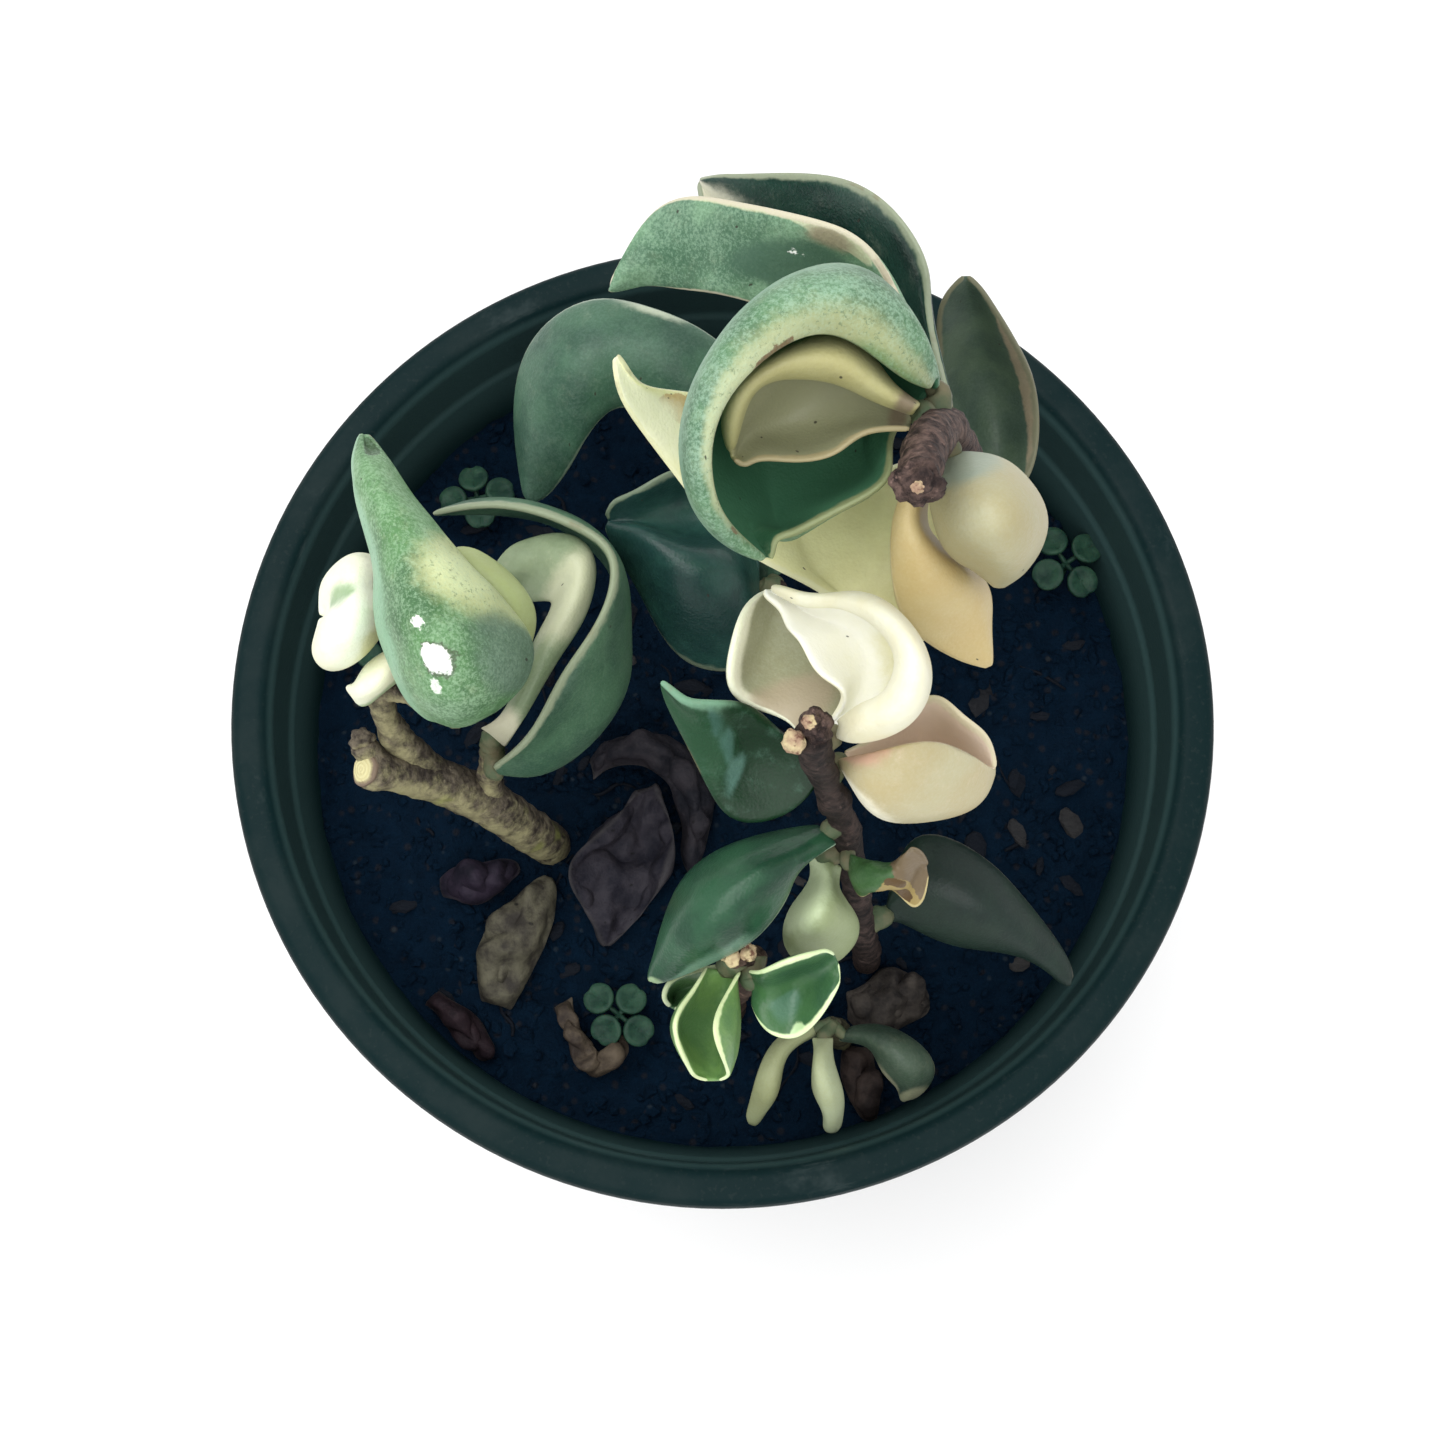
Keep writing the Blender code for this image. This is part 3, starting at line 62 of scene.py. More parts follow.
MM = 0.001
GAP = 0.3
SEED = 11
UP = Vector((0.0, 0.0, 1.0))
TURN = 2.0 * math.pi
GOLDEN_ANGLE = math.pi * (3.0 - math.sqrt(5.0))

# The pot, from the frame and from the part's own sizes.
RIM_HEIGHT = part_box("pot")[1].z / MM
RIM_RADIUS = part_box("pot")[1].x / MM
RIM_LIFT = np.array((0.0, 0.0, RIM_HEIGHT))
BASE_RADIUS = 46.0
WALL_TOP_RADIUS = 61.2
MOUTH_RADIUS = 59.4
RIM_BAND = 12.0
WALL = 1.8
FLOOR = 2.2
POT_SIDES = 160
DRAIN_HOLES = 6
DRAIN_RADIUS = 3.5
DRAIN_RING = 36.0
SMOOTH_UNDER = math.radians(35.0)

# The soil: its depth under the rim, its mesh, and how far round a place it is felt for.
SOIL_DEPTH = 20.0
SOIL_TOP = RIM_HEIGHT - SOIL_DEPTH
SOIL_RINGS = 60
SOIL_SIDES = 180
NEAR = 1.2

# Leaves: the thickness of their ends, the part of their length over which they thicken, and how
# deep the arc of an end is for its width.
THIN_END = 0.7
FULL_AT = 0.3
END_DEPTH = 0.22

# Half a leaf's thickness is at most this part of the radius it is bent to. A flat place counts as
# bent to the last of these radii, and a turn of less than the least angle counts as that angle.
ROOM = 0.6
LEAST_TURN = 0.01
FLAT_RADIUS = 99.0

# A leaf's base is looked for at most this far from its stem, and moved up to it by this stride.
SEAT_STEPS = 24
SEAT_REACH = 8.0
SEAT_STRIDE = 0.05

# The thickness and width of a leaf's margin, and the part of its length that is its tip, drawn in
# by this much.
THIN_MARGIN = 0.6
MARGIN_WIDTH = 1.4
TIP_PART = 0.08
TIP_DRAWN = 0.94

# The waves on a leaf: the lengths of the broad and the fine ones, and the height of the fine ones.
BROAD_WAVE = 0.006
FINE_WAVE = 0.0017
FINE_SHARE = 0.35
DRY_WAVES = 30.0

# The stems' mesh, and how close its corners are when they are welded.
STEM_STEPS = 10
STEM_SIDES = 6
WELD = 0.00001

# The photo's camera, from the middle of the rim: its place, what it looks at, and its lens.
CAMERA_PLACE = (0.0, -55.4, 244.4)
CAMERA_TARGET = (0.0, -3.0, 0.0)
CAMERA_LENS = 47.5

# The lights: name, place in metres, watts and size. They aim at the plant's middle.
LIGHTS = [
    ("top_light", (-0.25, 0.25, 1.00), 4.5, 0.80),
    ("front_light", (0.00, -0.40, 0.95), 4.0, 0.90),
]
LIGHT_AIM = Vector((0.0, 0.0, 0.12))

# The studio floor, in metres: its radius, and how far it lies under the pot.
FLOOR_RADIUS = 6.0
FLOOR_DROP = 0.0002

# Ends of the stems: kind, place, direction that it faces, radius and how lumpy it is.
STEM_ENDS = {
    "left_cut_end": ("cut", (-43.2, -12.6, 17.3), (-0.62, -0.02, 0.78), 2.1, 0.10),
    "left_knob": ("left_stem", (-43.7, -9.2, 18.2), (-0.4, 0.35, 0.85), 1.5, 0.35),
    "right_knob": ("right_stem", (18.0, 2.8, 77.8), (-0.15, -0.45, 0.9), 2.2, 0.40),
    "right_bud_scar": ("nub", (17.8, 1.9, 79.3), (-0.25, -0.3, 0.92), 0.62, 0.35),
    "middle_knob": ("right_stem", (9.3, -16.4, 61.0), (0.4, 0.2, 0.9), 1.75, 0.40),
    "middle_knob_side": ("nub", (7.0, -17.9, 60.6), (-0.6, -0.3, 0.7), 1.25, 0.30),
    "middle_knob_scar": ("nub", (8.5, -16.3, 62.3), (-0.1, 0.3, 0.95), 0.75, 0.35),
    "front_bud": ("nub", (0.9, -36.9, 36.6), (-0.5, 0.1, 0.85), 1.00, 0.35),
    "front_bud_side": ("nub", (2.8, -36.4, 36.3), (0.3, 0.1, 0.9), 0.95, 0.40),
    "front_bud_neck": ("front_stem", (1.9, -37.0, 35.9), (0.0, 0.1, 0.9), 0.85, 0.40),
}

# How high a cut end and a knob are for their radius.
CUT_HEIGHT = 0.42
KNOB_HEIGHT = 0.85

# Each stem's bark: its dark and its pale tone, and how much pale crust grows on it.
BARKS = {
    "right_stem": ((0.018, 0.012, 0.012), (0.160, 0.105, 0.088), 0.0),
    "middle_stem": ((0.012, 0.010, 0.010), (0.075, 0.052, 0.046), 0.0),
    "front_stem": ((0.020, 0.014, 0.012), (0.160, 0.105, 0.080), 0.0),
    "left_stem": ((0.030, 0.024, 0.022), (0.190, 0.160, 0.115), 1.0),
    "back_stem": ((0.012, 0.010, 0.010), (0.070, 0.050, 0.045), 0.1),
    "low_stem": ((0.016, 0.016, 0.012), (0.100, 0.095, 0.060), 0.2),
}

# The paler and the darker tone of each fallen leaf.
DRY_TONES = {
    "dried_ring_leaf": ((0.030, 0.027, 0.033), (0.010, 0.011, 0.016)),
    "dried_coil_leaf": ((0.034, 0.031, 0.040), (0.011, 0.011, 0.018)),
    "tan_leaf": ((0.115, 0.108, 0.075), (0.034, 0.030, 0.026)),
    "purple_leaf": ((0.027, 0.020, 0.034), (0.010, 0.009, 0.016)),
    "bent_leaf": ((0.105, 0.082, 0.058), (0.034, 0.026, 0.022)),
    "rust_leaf": ((0.024, 0.014, 0.018), (0.010, 0.007, 0.010)),
    "grey_dried_leaf": ((0.070, 0.060, 0.052), (0.020, 0.018, 0.018)),
    "brown_leaf": ((0.055, 0.040, 0.035), (0.016, 0.012, 0.012)),
}

# The seedlings: spot, height over the soil, leaflets, turn, reach and size of a leaflet.
SEEDLINGS = {
    "seedling_right": ((48.5, 23), 6, 4, 0.6, 3.4, 2.2),
    "seedling_back": ((-35, 33), 5, 4, 0.2, 3.0, 2.1),
    "seedling_left": ((-52, 12), 4, 3, 1.4, 2.6, 1.9),
    "seedling_front": ((-14, -40), 4, 4, 0.9, 3.0, 2.1),
}

# The stems. Each is a route from its foot in the soil to its end and the routes of its side shoots,
# in rows of a place and the radius there.
STEMS = {
    "right_stem": [
        [(33, 23.5, -38, 2.6), (33, 23.5, -28, 2.6), (32.8, 23.3, -18, 2.6), (31, 21.5, 5, 2.4),
         (28.5, 20, 28, 2.2), (26.7, 19, 42, 2.2), (24, 16.5, 54, 2.1), (21.9, 13.5, 63, 2.2),
         (19.6, 9, 71, 2.2), (18, 3, 77.5, 2)],
    ],
    "middle_stem": [
        [(19.8, -32.5, -38, 1.9), (19.8, -32.5, -28, 1.9), (19.7, -32.5, -18, 1.8), (19, -32.5, -8, 1.8),
         (17.9, -32, 4, 1.7), (16.2, -29, 18, 1.6), (14, -23.7, 34, 1.5), (11.4, -20.3, 46, 1.5),
         (8.8, -17.1, 60, 1.9)],
    ],
    "front_stem": [
        [(1.5, -39, -34, 1.5), (1.5, -39, -20, 1.5), (2, -38.5, 4, 1.4), (3.5, -37.5, 24, 1.3),
         (3.5, -36.5, 33, 1.2)],
        [(3.6, -36.6, 32, 0.9), (2.5, -36.8, 35, 0.8), (0.8, -37, 36, 0.9)],
    ],
    "left_stem": [
        [(-24, -16.2, -38, 2.9), (-24, -16.2, -28, 2.9), (-24.2, -16.2, -18, 2.9), (-26.5, -15.6, -8, 3),
         (-30.5, -13.8, 1, 3), (-36, -12.4, 8.5, 2.8), (-43, -12.5, 17, 2)],
        [(-35.5, -12, 8, 2.2), (-39.5, -8.5, 16, 1.9), (-40.5, -5.5, 22, 1.5), (-39.5, -2, 26, 1.3),
         (-37, 1.5, 28, 1.1)],
        [(-40, -4, 24, 1.3), (-36, -5.5, 25.5, 1.2), (-31.5, -7.5, 27, 1.1), (-26.5, -5.5, 27, 0.9)],
        [(-30.5, -13.5, 1, 2), (-29.5, -11, 7, 1.6), (-28.5, -8.5, 13, 1.3)],
        [(-42, -12, 15, 1.5), (-43.5, -9.5, 18, 1.3)],
    ],
    "back_stem": [
        [(5, 11.5, -38, 1.8), (5, 11.5, -28, 1.8), (5.1, 11.5, -18, 1.8), (6, 12, -6, 1.7),
         (7, 12.5, 9, 1.5)],
    ],
    "low_stem": [
        [(16, -43, -34, 1.5), (16, -43, -20, 1.5), (15, -42.5, -8, 1.4), (14, -42, -3, 1.2)],
    ],
}

# One leaf: the stem that it grows on, its slot, the steps of its net along and across, its
# thickness, the places of its base and tip, how wide these two are, whether it is rolled, and its
# curves. They run from base to tip, and the first and the last of them are the leaf's edges.
Leaf = namedtuple("Leaf", "stem slot steps thickness base tip ends rolled curves")


def leaf(*row):
    """A row of the tables below as a leaf: all that comes after the eighth value is a curve."""
    return Leaf(*row[:8], row[8:])


OPEN = False
ROLLED = True

# The leaves.
LEAVES = {
    "hood_leaf": leaf(
        "right_stem", "leaf_frosted", (13, 8), 1.5, (21, 18, 63), (4.5, 1, 60), (5, 5), ROLLED,
        [(17, 16.5, 70), (10, 19, 74), (2.5, 14.5, 75), (-1, 8, 73), (0, 3.5, 67), (2.5, 2, 62.5)],
        [(18.5, 19.5, 71), (12, 21.5, 76), (3.5, 18.5, 77), (-2, 9.5, 75), (-1, 3, 69), (2, 1, 64)],
        [(20.5, 20, 65), (15, 28, 67), (5, 26, 68), (-3, 15, 66), (-2.5, 5.5, 63), (1, 2, 61)],
        [(19.5, 21.5, 58), (14.5, 28.5, 56), (7, 27.5, 55), (0.5, 19.5, 54), (-0.5, 9, 57), (2.5, 3.5, 58)],
        [(16.5, 18, 55), (15, 15, 51), (8, 12, 50), (5, 8, 51), (3.5, 6, 55), (3.5, 4, 57)],
        [(18, 15.5, 58), (17, 10, 60.5), (13, 6.5, 61), (8.5, 4.5, 60), (6.5, 3.5, 60), (5.5, 2.5, 59.5)],
    ),
    "inner_leaf": leaf(
        "right_stem", "leaf_cream", (9, 8), 1, (17.5, 16, 64), (1, 11.5, 62), (4, 5), ROLLED,
        [(15, 16, 65), (11, 17, 67), (5.5, 17, 68), (2.5, 15.5, 66)],
        [(15.5, 16, 68), (11.5, 17.5, 71), (5.5, 17, 71.5), (1.5, 14, 69)],
        [(16.5, 18, 65), (12.5, 21, 68), (5.5, 19.5, 68), (0.5, 15, 66)],
        [(16, 18.5, 61), (12.5, 21.5, 62), (6.5, 20, 62), (1.5, 15, 62)],
        [(15, 16, 60), (10, 17, 57), (5, 16.5, 57), (2, 14, 59)],
        [(14.5, 13.5, 62.5), (11.5, 11.5, 62), (7, 11, 61), (3.5, 11, 61)],
    ),
    "ball_leaf": leaf(
        "right_stem", "leaf_cream", (8, 7), 1.7, (24, 10.5, 60), (28.5, -0.5, 55), (3.5, 3.4), ROLLED,
        [(25, 8.5, 56), (26, 5, 53.5), (27.5, 3, 52)],
        [(21.5, 6.5, 62), (23, 2.5, 60), (25.5, 1.5, 57)],
        [(24.5, 5, 70), (25.5, 1, 72), (27, -1, 67)],
        [(29, 9.5, 62), (32, 5, 61), (31, 1.5, 58)],
        [(29.5, 10.5, 54), (31.5, 7, 52), (30.5, 3.5, 51)],
    ),
    "pointed_leaf": leaf(
        "right_stem", "leaf_cream", (8, 5), 1.4, (19, 8.5, 56), (28.4, -6.8, 45.5), (4, 1.2), OPEN,
        [(17.5, 5.5, 58), (17.2, 2, 57), (18, -2.2, 54), (22, -5.2, 49)],
        [(18.5, 4.5, 60.5), (19.5, 1.5, 59), (21.5, -1.5, 55.5), (24.8, -4, 50)],
        [(22, 6, 50.5), (25.5, 4.2, 48), (28.3, 1.6, 47.5), (28.6, -2.2, 46.5)],
    ),
    "long_cream_leaf": leaf(
        "right_stem", "leaf_cream", (10, 4), 1.4, (22.5, 16.5, 47), (-11, 22, 62), (4, 1.8), OPEN,
        [(22.5, -3, 42), (11.5, 1.5, 45), (2.5, 5.5, 47), (-3.5, 11, 50), (-8.5, 16.5, 55), (-11, 19.5, 60)],
        [(17, 3, 44), (9, 5, 44), (5, 11, 46), (-1, 15.5, 49), (-7, 18.5, 54), (-10, 20.5, 59)],
        [(17, 17, 42), (7, 17, 43), (8.5, 21, 44), (1.5, 23, 47), (-6, 22, 53), (-9.5, 21, 60)],
    ),
    "mottled_leaf": leaf(
        "right_stem", "leaf_frosted", (9, 5), 1.6, (21.5, 21.5, 52), (-13, 39, 42), (4, 2.6), OPEN,
        [(17, 29, 46), (2, 35.5, 46), (-4.5, 38.5, 42), (-9.5, 40, 40)],
        [(18.5, 31, 54), (8.5, 38, 54), (-0.5, 41, 49), (-8, 42.5, 44)],
        [(16.5, 33.5, 59), (10, 38.5, 59), (0.5, 44, 53), (-7.5, 47, 45)],
    ),
    "dark_leaf": leaf(
        "right_stem", "leaf_dark", (9, 5), 1.5, (22.5, 23, 47), (-3, 55, 36), (3.6, 2.2), OPEN,
        [(22.5, 33, 50), (22, 36.5, 53), (18.5, 43, 53), (12.5, 49.5, 48), (3, 53, 42)],
        [(20.5, 30, 45), (17, 36, 42), (12.5, 41.5, 38), (7, 45, 36), (1, 49, 34)],
        [(16, 29, 44), (12, 33, 44), (9, 38, 43), (4.5, 42.5, 41), (0, 47, 37)],
    ),
    "olive_leaf": leaf(
        "right_stem", "leaf_dark", (8, 4), 1.4, (32, 24, 9), (29, 44, 34), (3.6, 1.6), OPEN,
        [(39.5, 27, 10), (40.5, 35.5, 14), (36.5, 39.5, 24), (32, 42.5, 31)],
        [(36.5, 32, 6), (35.5, 38.5, 10), (33, 41.5, 19), (30.5, 43.5, 28)],
        [(29.5, 31, 10), (27.5, 36.5, 16), (26.5, 40, 24), (26.5, 42.5, 31)],
    ),
    "scroll_leaf": leaf(
        "middle_stem", "leaf_cream", (13, 7), 1, (12, -15, 57), (5, 0.5, 51), (3.5, 4), ROLLED,
        [(13.5, -14.5, 62), (15.5, -14, 66), (16.5, -11.5, 67.5), (15, -7.5, 65), (11, -3.5, 58),
         (8, -2, 53.5)],
        [(14, -16, 64.5), (17, -16, 69), (18, -12.5, 71), (16, -8, 69), (12, -3.5, 61), (8, -1.5, 55)],
        [(13.5, -17.5, 61), (18.5, -16, 63), (20, -11.5, 64), (17.5, -6, 63), (12.5, -2, 57), (8.5, -1, 53)],
        [(13.5, -16.5, 57.5), (17.5, -13, 56), (19, -8.5, 55), (17, -5, 54), (12.5, -2, 53), (8.5, -1, 51)],
        [(12.5, -14.5, 56), (15, -10.5, 52.5), (15.5, -7.5, 51), (14, -5, 51), (10.5, -2.5, 50),
         (7.5, -1, 50)],
        [(12, -13.5, 57.5), (11.5, -12, 59), (9.5, -10.5, 59), (8, -7.5, 58), (6.5, -4.5, 55),
         (5.5, -1.5, 52)],
    ),
    "grey_leaf": leaf(
        "middle_stem", "leaf_cream", (7, 4), 1.5, (9.5, -13.5, 49), (5, 1.5, 47), (3.4, 2.2), OPEN,
        [(6, -12.5, 47), (1, -10.5, 50), (1, -6, 52), (2.5, -1, 50)],
        [(8.5, -10, 46.5), (4.5, -8, 45.5), (4.5, -3.5, 45), (5, 0, 46)],
        [(13, -8.5, 47), (12, -4.5, 46), (10, -2, 46), (7.5, 0.5, 46)],
    ),
    "folded_leaf": leaf(
        "middle_stem", "leaf_cream", (7, 7), 1.5, (12.5, -17, 49), (29, -17.5, 45), (3.6, 1.6), OPEN,
        [(15, -18, 56), (18.5, -17.5, 58), (22, -17, 56), (26, -17.5, 51)],
        [(14, -21, 53), (17, -23, 52), (22, -22.5, 50), (27, -20.5, 46)],
        [(15.5, -20, 46), (18, -21, 43), (23, -21, 42), (27.5, -19.5, 42)],
        [(17.5, -17, 41), (20.5, -16, 39), (24, -16, 39), (27, -17, 41)],
        [(18, -12.5, 44), (22, -10, 47), (25, -12.5, 49), (28, -14.5, 47)],
    ),
    "glossy_leaf": leaf(
        "middle_stem", "leaf_dark", (8, 5), 1.4, (10, -18, 45), (-6.5, -10.5, 54), (3.4, 1.6), OPEN,
        [(7, -14.5, 46), (3, -12, 50), (-1, -12, 53), (-4, -12, 54)],
        [(8, -17.5, 44), (3.5, -16.5, 44), (-0.5, -15, 47), (-3.5, -13, 51)],
        [(8, -21.5, 43), (1.5, -23, 43), (-2, -19, 45), (-4.5, -14.5, 49)],
    ),
    "torn_leaf": leaf(
        "middle_stem", "leaf_dark", (6, 4), 0.9, (14, -27, 35), (22.5, -28, 39), (2.4, 5.5), OPEN,
        [(16, -26.5, 37), (18.5, -27, 38), (20, -26, 45)],
        [(15.5, -28.5, 38), (18, -28.5, 41), (20, -28, 38)],
        [(15.5, -30, 33), (17.5, -29, 37), (21, -31.5, 36)],
    ),
    "low_dark_leaf": leaf(
        "middle_stem", "leaf_dark", (7, 4), 1.3, (20, -29, 9), (44, -37, 3), (5, 3), ROLLED,
        [(23.5, -20, 9), (32, -22, 10), (37, -26.5, 8), (41.5, -31.5, 5)],
        [(22, -25.5, 12.5), (29, -27.5, 14), (35, -30.5, 11), (40.5, -34, 6)],
        [(21, -30, 9), (27.5, -32.5, 7), (34.5, -33.5, 6), (40.5, -35.5, 4)],
    ),
    "green_leaf": leaf(
        "middle_stem", "leaf_dark", (8, 5), 1.5, (10, -25, 38), (-7.5, -39.5, 34), (3.4, 2), OPEN,
        [(5, -23.5, 37), (-2.5, -26.5, 36), (-6, -32, 35), (-7.5, -37, 34)],
        [(7.5, -26.5, 42), (2.5, -30, 44), (-2, -34.5, 42), (-5.5, -37.5, 37)],
        [(8.5, -27.5, 40), (7, -30.5, 39), (3.5, -35, 38), (-2.5, -38, 36)],
    ),
    "pale_leaf": leaf(
        "middle_stem", "leaf_cream", (7, 4), 1.3, (12.5, -25, 32), (10.5, -36.5, 25), (4.4, 4.4), OPEN,
        [(10, -27.5, 30), (8, -30.5, 30), (7, -34, 27)],
        [(11.5, -28.5, 34), (10.5, -32, 36.5), (10, -35, 32)],
        [(13, -29, 30), (15, -31.5, 29), (15, -34.5, 26)],
    ),
    "spoon_leaf": leaf(
        "front_stem", "leaf_dark", (7, 6), 1, (-0.5, -39, 33), (-1, -50, 34), (4, 4), OPEN,
        [(-3.5, -41, 37), (-5, -44.5, 40), (-4, -48, 38)],
        [(-2.5, -41.5, 32), (-3.5, -45, 31), (-2.5, -48, 32)],
        [(-0.5, -41.5, 30), (-0.5, -45, 29), (-1, -48, 31)],
        [(1.5, -41.5, 34), (1.5, -45, 35), (1, -48, 35)],
        [(0, -41.5, 38), (-1, -45, 41), (0, -48, 39)],
    ),
    "lobe_leaf": leaf(
        "front_stem", "leaf_dark", (7, 5), 1.1, (3, -40.5, 34), (12.5, -37.5, 37), (4, 4), OPEN,
        [(4, -38.5, 38), (6, -38, 41), (9, -37, 41)],
        [(5, -41, 34), (7.5, -40, 33), (10.5, -38.5, 35)],
        [(4.5, -44.5, 34), (8, -45.5, 34), (11.5, -42, 37)],
    ),
    "small_leaf": leaf(
        "front_stem", "leaf_dark", (6, 4), 0.9, (-0.5, -38.5, 29), (-5.5, -42, 30), (3, 3), ROLLED,
        [(-3.5, -38, 31), (-6, -39.5, 33), (-6.5, -41, 32)],
        [(-3, -39, 28), (-5, -40, 27), (-5.5, -41, 27)],
        [(-2.5, -40, 28), (-3.5, -41, 29), (-4.5, -42, 30)],
    ),
    "frosted_leaf": leaf(
        "left_stem", "leaf_frosted", (10, 7), 1.7, (-31, -10, 30), (-40, 21, 42), (4, 2.6), OPEN,
        [(-35, -7.5, 34), (-37.5, -1.5, 38), (-38, 4, 40), (-39, 10, 41), (-41, 16.5, 41)],
        [(-34, -8.5, 41), (-36.5, -2.5, 44), (-37, 3.5, 45), (-38.5, 9.5, 45), (-40.5, 16, 44)],
        [(-28, -11.5, 48), (-29, -5.5, 53), (-31.5, 0.5, 53), (-34.5, 7.5, 51), (-38, 14.5, 48)],
        [(-24, -9, 41), (-21.5, -4, 43), (-26.5, 2, 47), (-31.5, 8, 47), (-36, 15, 45)],
        [(-25.5, -7, 34), (-22.5, -1.5, 37), (-26.5, 3, 43), (-31, 8.5, 44), (-36, 15, 43)],
    ),
    "lobe_cream_leaf": leaf(
        "left_stem", "leaf_cream", (7, 4), 1.2, (-25, -4.5, 29), (-30, 9, 38), (4, 2.6), OPEN,
        [(-26.5, -1, 30), (-27.5, 3.5, 32.5), (-30, 6.5, 34)],
        [(-23.5, -2.5, 35), (-23.5, 2, 39), (-27, 6, 40)],
        [(-22, -1, 33), (-21.5, 3, 36), (-25.5, 7.5, 37)],
    ),
    "cushion_leaf": leaf(
        "left_stem", "leaf_cream", (7, 8), 1.3, (-38.5, 4.5, 29), (-46.5, 2.5, 30), (5, 4), OPEN,
        [(-40, 1.5, 30), (-42, -0.5, 30), (-44.5, -1.5, 29), (-46, 0, 29)],
        [(-39, 1, 33), (-41.5, -2.5, 35), (-44.5, -3.5, 34), (-47, -0.5, 31)],
        [(-38.5, 3, 34), (-41, 0, 40), (-44, -0.5, 38), (-46, 1, 33)],
        [(-39, 6, 34), (-41.5, 6.5, 38), (-44.5, 5.5, 36), (-46.5, 4.5, 31)],
        [(-39.5, 9.5, 29), (-43.5, 10.5, 28), (-45.5, 8.5, 28), (-46.5, 5.5, 28)],
    ),
    "lip_leaf": leaf(
        "left_stem", "leaf_cream", (7, 4), 1, (-37, -2.5, 30), (-43, -6, 29), (3.6, 3), OPEN,
        [(-39, -1.5, 31), (-41, -3, 31), (-42.5, -5, 30)],
        [(-37.5, -3.5, 34), (-39, -5.5, 34.5), (-41, -6.5, 33)],
        [(-37, -4.5, 31), (-39, -6, 31), (-41, -7, 29)],
    ),
    "bowl_leaf": leaf(
        "left_stem", "leaf_frosted", (12, 7), 1.4, (-28, -11.5, 14), (-35, 17, 26), (4, 2.4), OPEN,
        [(-22.5, -9.5, 25), (-18.5, -2.5, 27), (-14, 4, 29), (-13, 10.5, 30), (-18, 14.5, 30),
         (-26.5, 17, 29)],
        [(-22, -10, 20), (-16, -3, 21), (-13, 4, 23), (-12.5, 10.5, 25), (-17, 15.5, 26), (-27, 19, 25)],
        [(-20.5, -11, 12), (-13, -2.5, 12), (-12, 5, 13), (-12.5, 11.5, 16), (-16.5, 17, 19),
         (-26.5, 20, 19)],
        [(-22, -5, 5), (-15, 2, 5), (-13, 9, 6), (-14, 15, 8), (-20, 20, 11), (-30, 21, 15)],
    ),
    "loop_leaf": leaf(
        "left_stem", "leaf_cream", (11, 5), 1, (-27.5, -7, 17), (-28.5, 10.5, 22.5), (4, 7), OPEN,
        [(-25.5, -5.5, 22), (-22.5, 1.5, 23.5), (-20.5, 5.5, 24), (-21, 7, 23), (-23, 7.5, 21),
         (-26, 8.5, 19)],
        [(-24, -6.5, 23.5), (-20, 1, 26), (-17, 6, 27.5), (-16.5, 10.5, 28), (-18.5, 11.5, 27.5),
         (-22.5, 12, 25.5)],
        [(-23.5, -7, 22.5), (-19, 0.5, 24), (-16, 6, 24.5), (-15.5, 12, 25.5), (-18, 14.5, 25.5),
         (-23, 14.5, 24.5)],
    ),
    "twin_leaf": leaf(
        "back_stem", "leaf_frosted", (11, 5), 1.5, (7, 15.5, 5), (-26, 26.5, 3), (4.4, 3), OPEN,
        [(8, 25, 8), (5.5, 37, 12), (0, 43.5, 15), (-8, 48, 16), (-16, 50, 15), (-24, 46.5, 12),
         (-27.5, 36.5, 6)],
        [(4.5, 23, 7), (0.5, 32.5, 12), (-4, 38.5, 16), (-10.5, 41.5, 18), (-16.5, 41.5, 18),
         (-21.5, 38, 15), (-25, 31, 8)],
        [(2.5, 22, 4), (-2.5, 28.5, 6), (-8, 33.5, 9), (-13, 36.5, 11), (-16.5, 34, 11), (-19, 30.5, 9),
         (-22.5, 27.5, 4)],
    ),
    "shade_leaf": leaf(
        "back_stem", "leaf_dark", (8, 6), 1.1, (5.5, 13.5, 8), (-15, 19.5, 17), (8, 4), OPEN,
        [(0, 26, 18), (-6, 24.5, 21), (-11, 22, 20)],
        [(0, 23, 14), (-5, 22, 14), (-10.5, 20.5, 17)],
        [(1, 19, 13), (-4, 18.5, 14), (-10, 19, 16)],
        [(0.5, 14, 18), (-4.5, 14.5, 20), (-10.5, 17.5, 19)],
        [(3, 3, 5), (-4.5, 3.5, 6), (-10.5, 11.5, 11)],
    ),
    "low_leaf_1": leaf(
        "low_stem", "leaf_cream", (5, 4), 1.1, (6.5, -43, -3), (3.5, -54.5, -8), (2.6, 2.2), OPEN,
        [(6, -45, -1), (4.5, -48, 0), (3.5, -51.5, -4)],
        [(7, -46, 1), (6, -49, 1), (5, -52, -3)],
        [(7.5, -46.5, -3), (7, -49.5, -3), (5.5, -52.5, -6)],
    ),
    "low_leaf_2": leaf(
        "low_stem", "leaf_cream", (5, 4), 1.1, (12.5, -44, -2), (14, -55.5, -8), (2.6, 2.2), OPEN,
        [(12, -46.5, -1), (11.5, -49.5, -2), (13, -52.5, -5)],
        [(12, -47, 2), (12.5, -50, 1), (13.5, -53, -3)],
        [(14, -46.5, -1), (15, -49.5, -2), (15.5, -52.5, -5)],
    ),
    "low_leaf_3": leaf(
        "low_stem", "leaf_cream", (6, 4), 1.1, (16, -43.5, -3), (24, -51.5, -6), (2.2, 2.4), OPEN,
        [(21.5, -42.5, -2), (26, -45.5, -2), (27, -48.5, -4)],
        [(19.5, -44, 1), (22.5, -46.5, 2), (24, -49, -1)],
        [(19, -45, -3), (20.5, -48, -3), (22.5, -50, -5)],
    ),
}

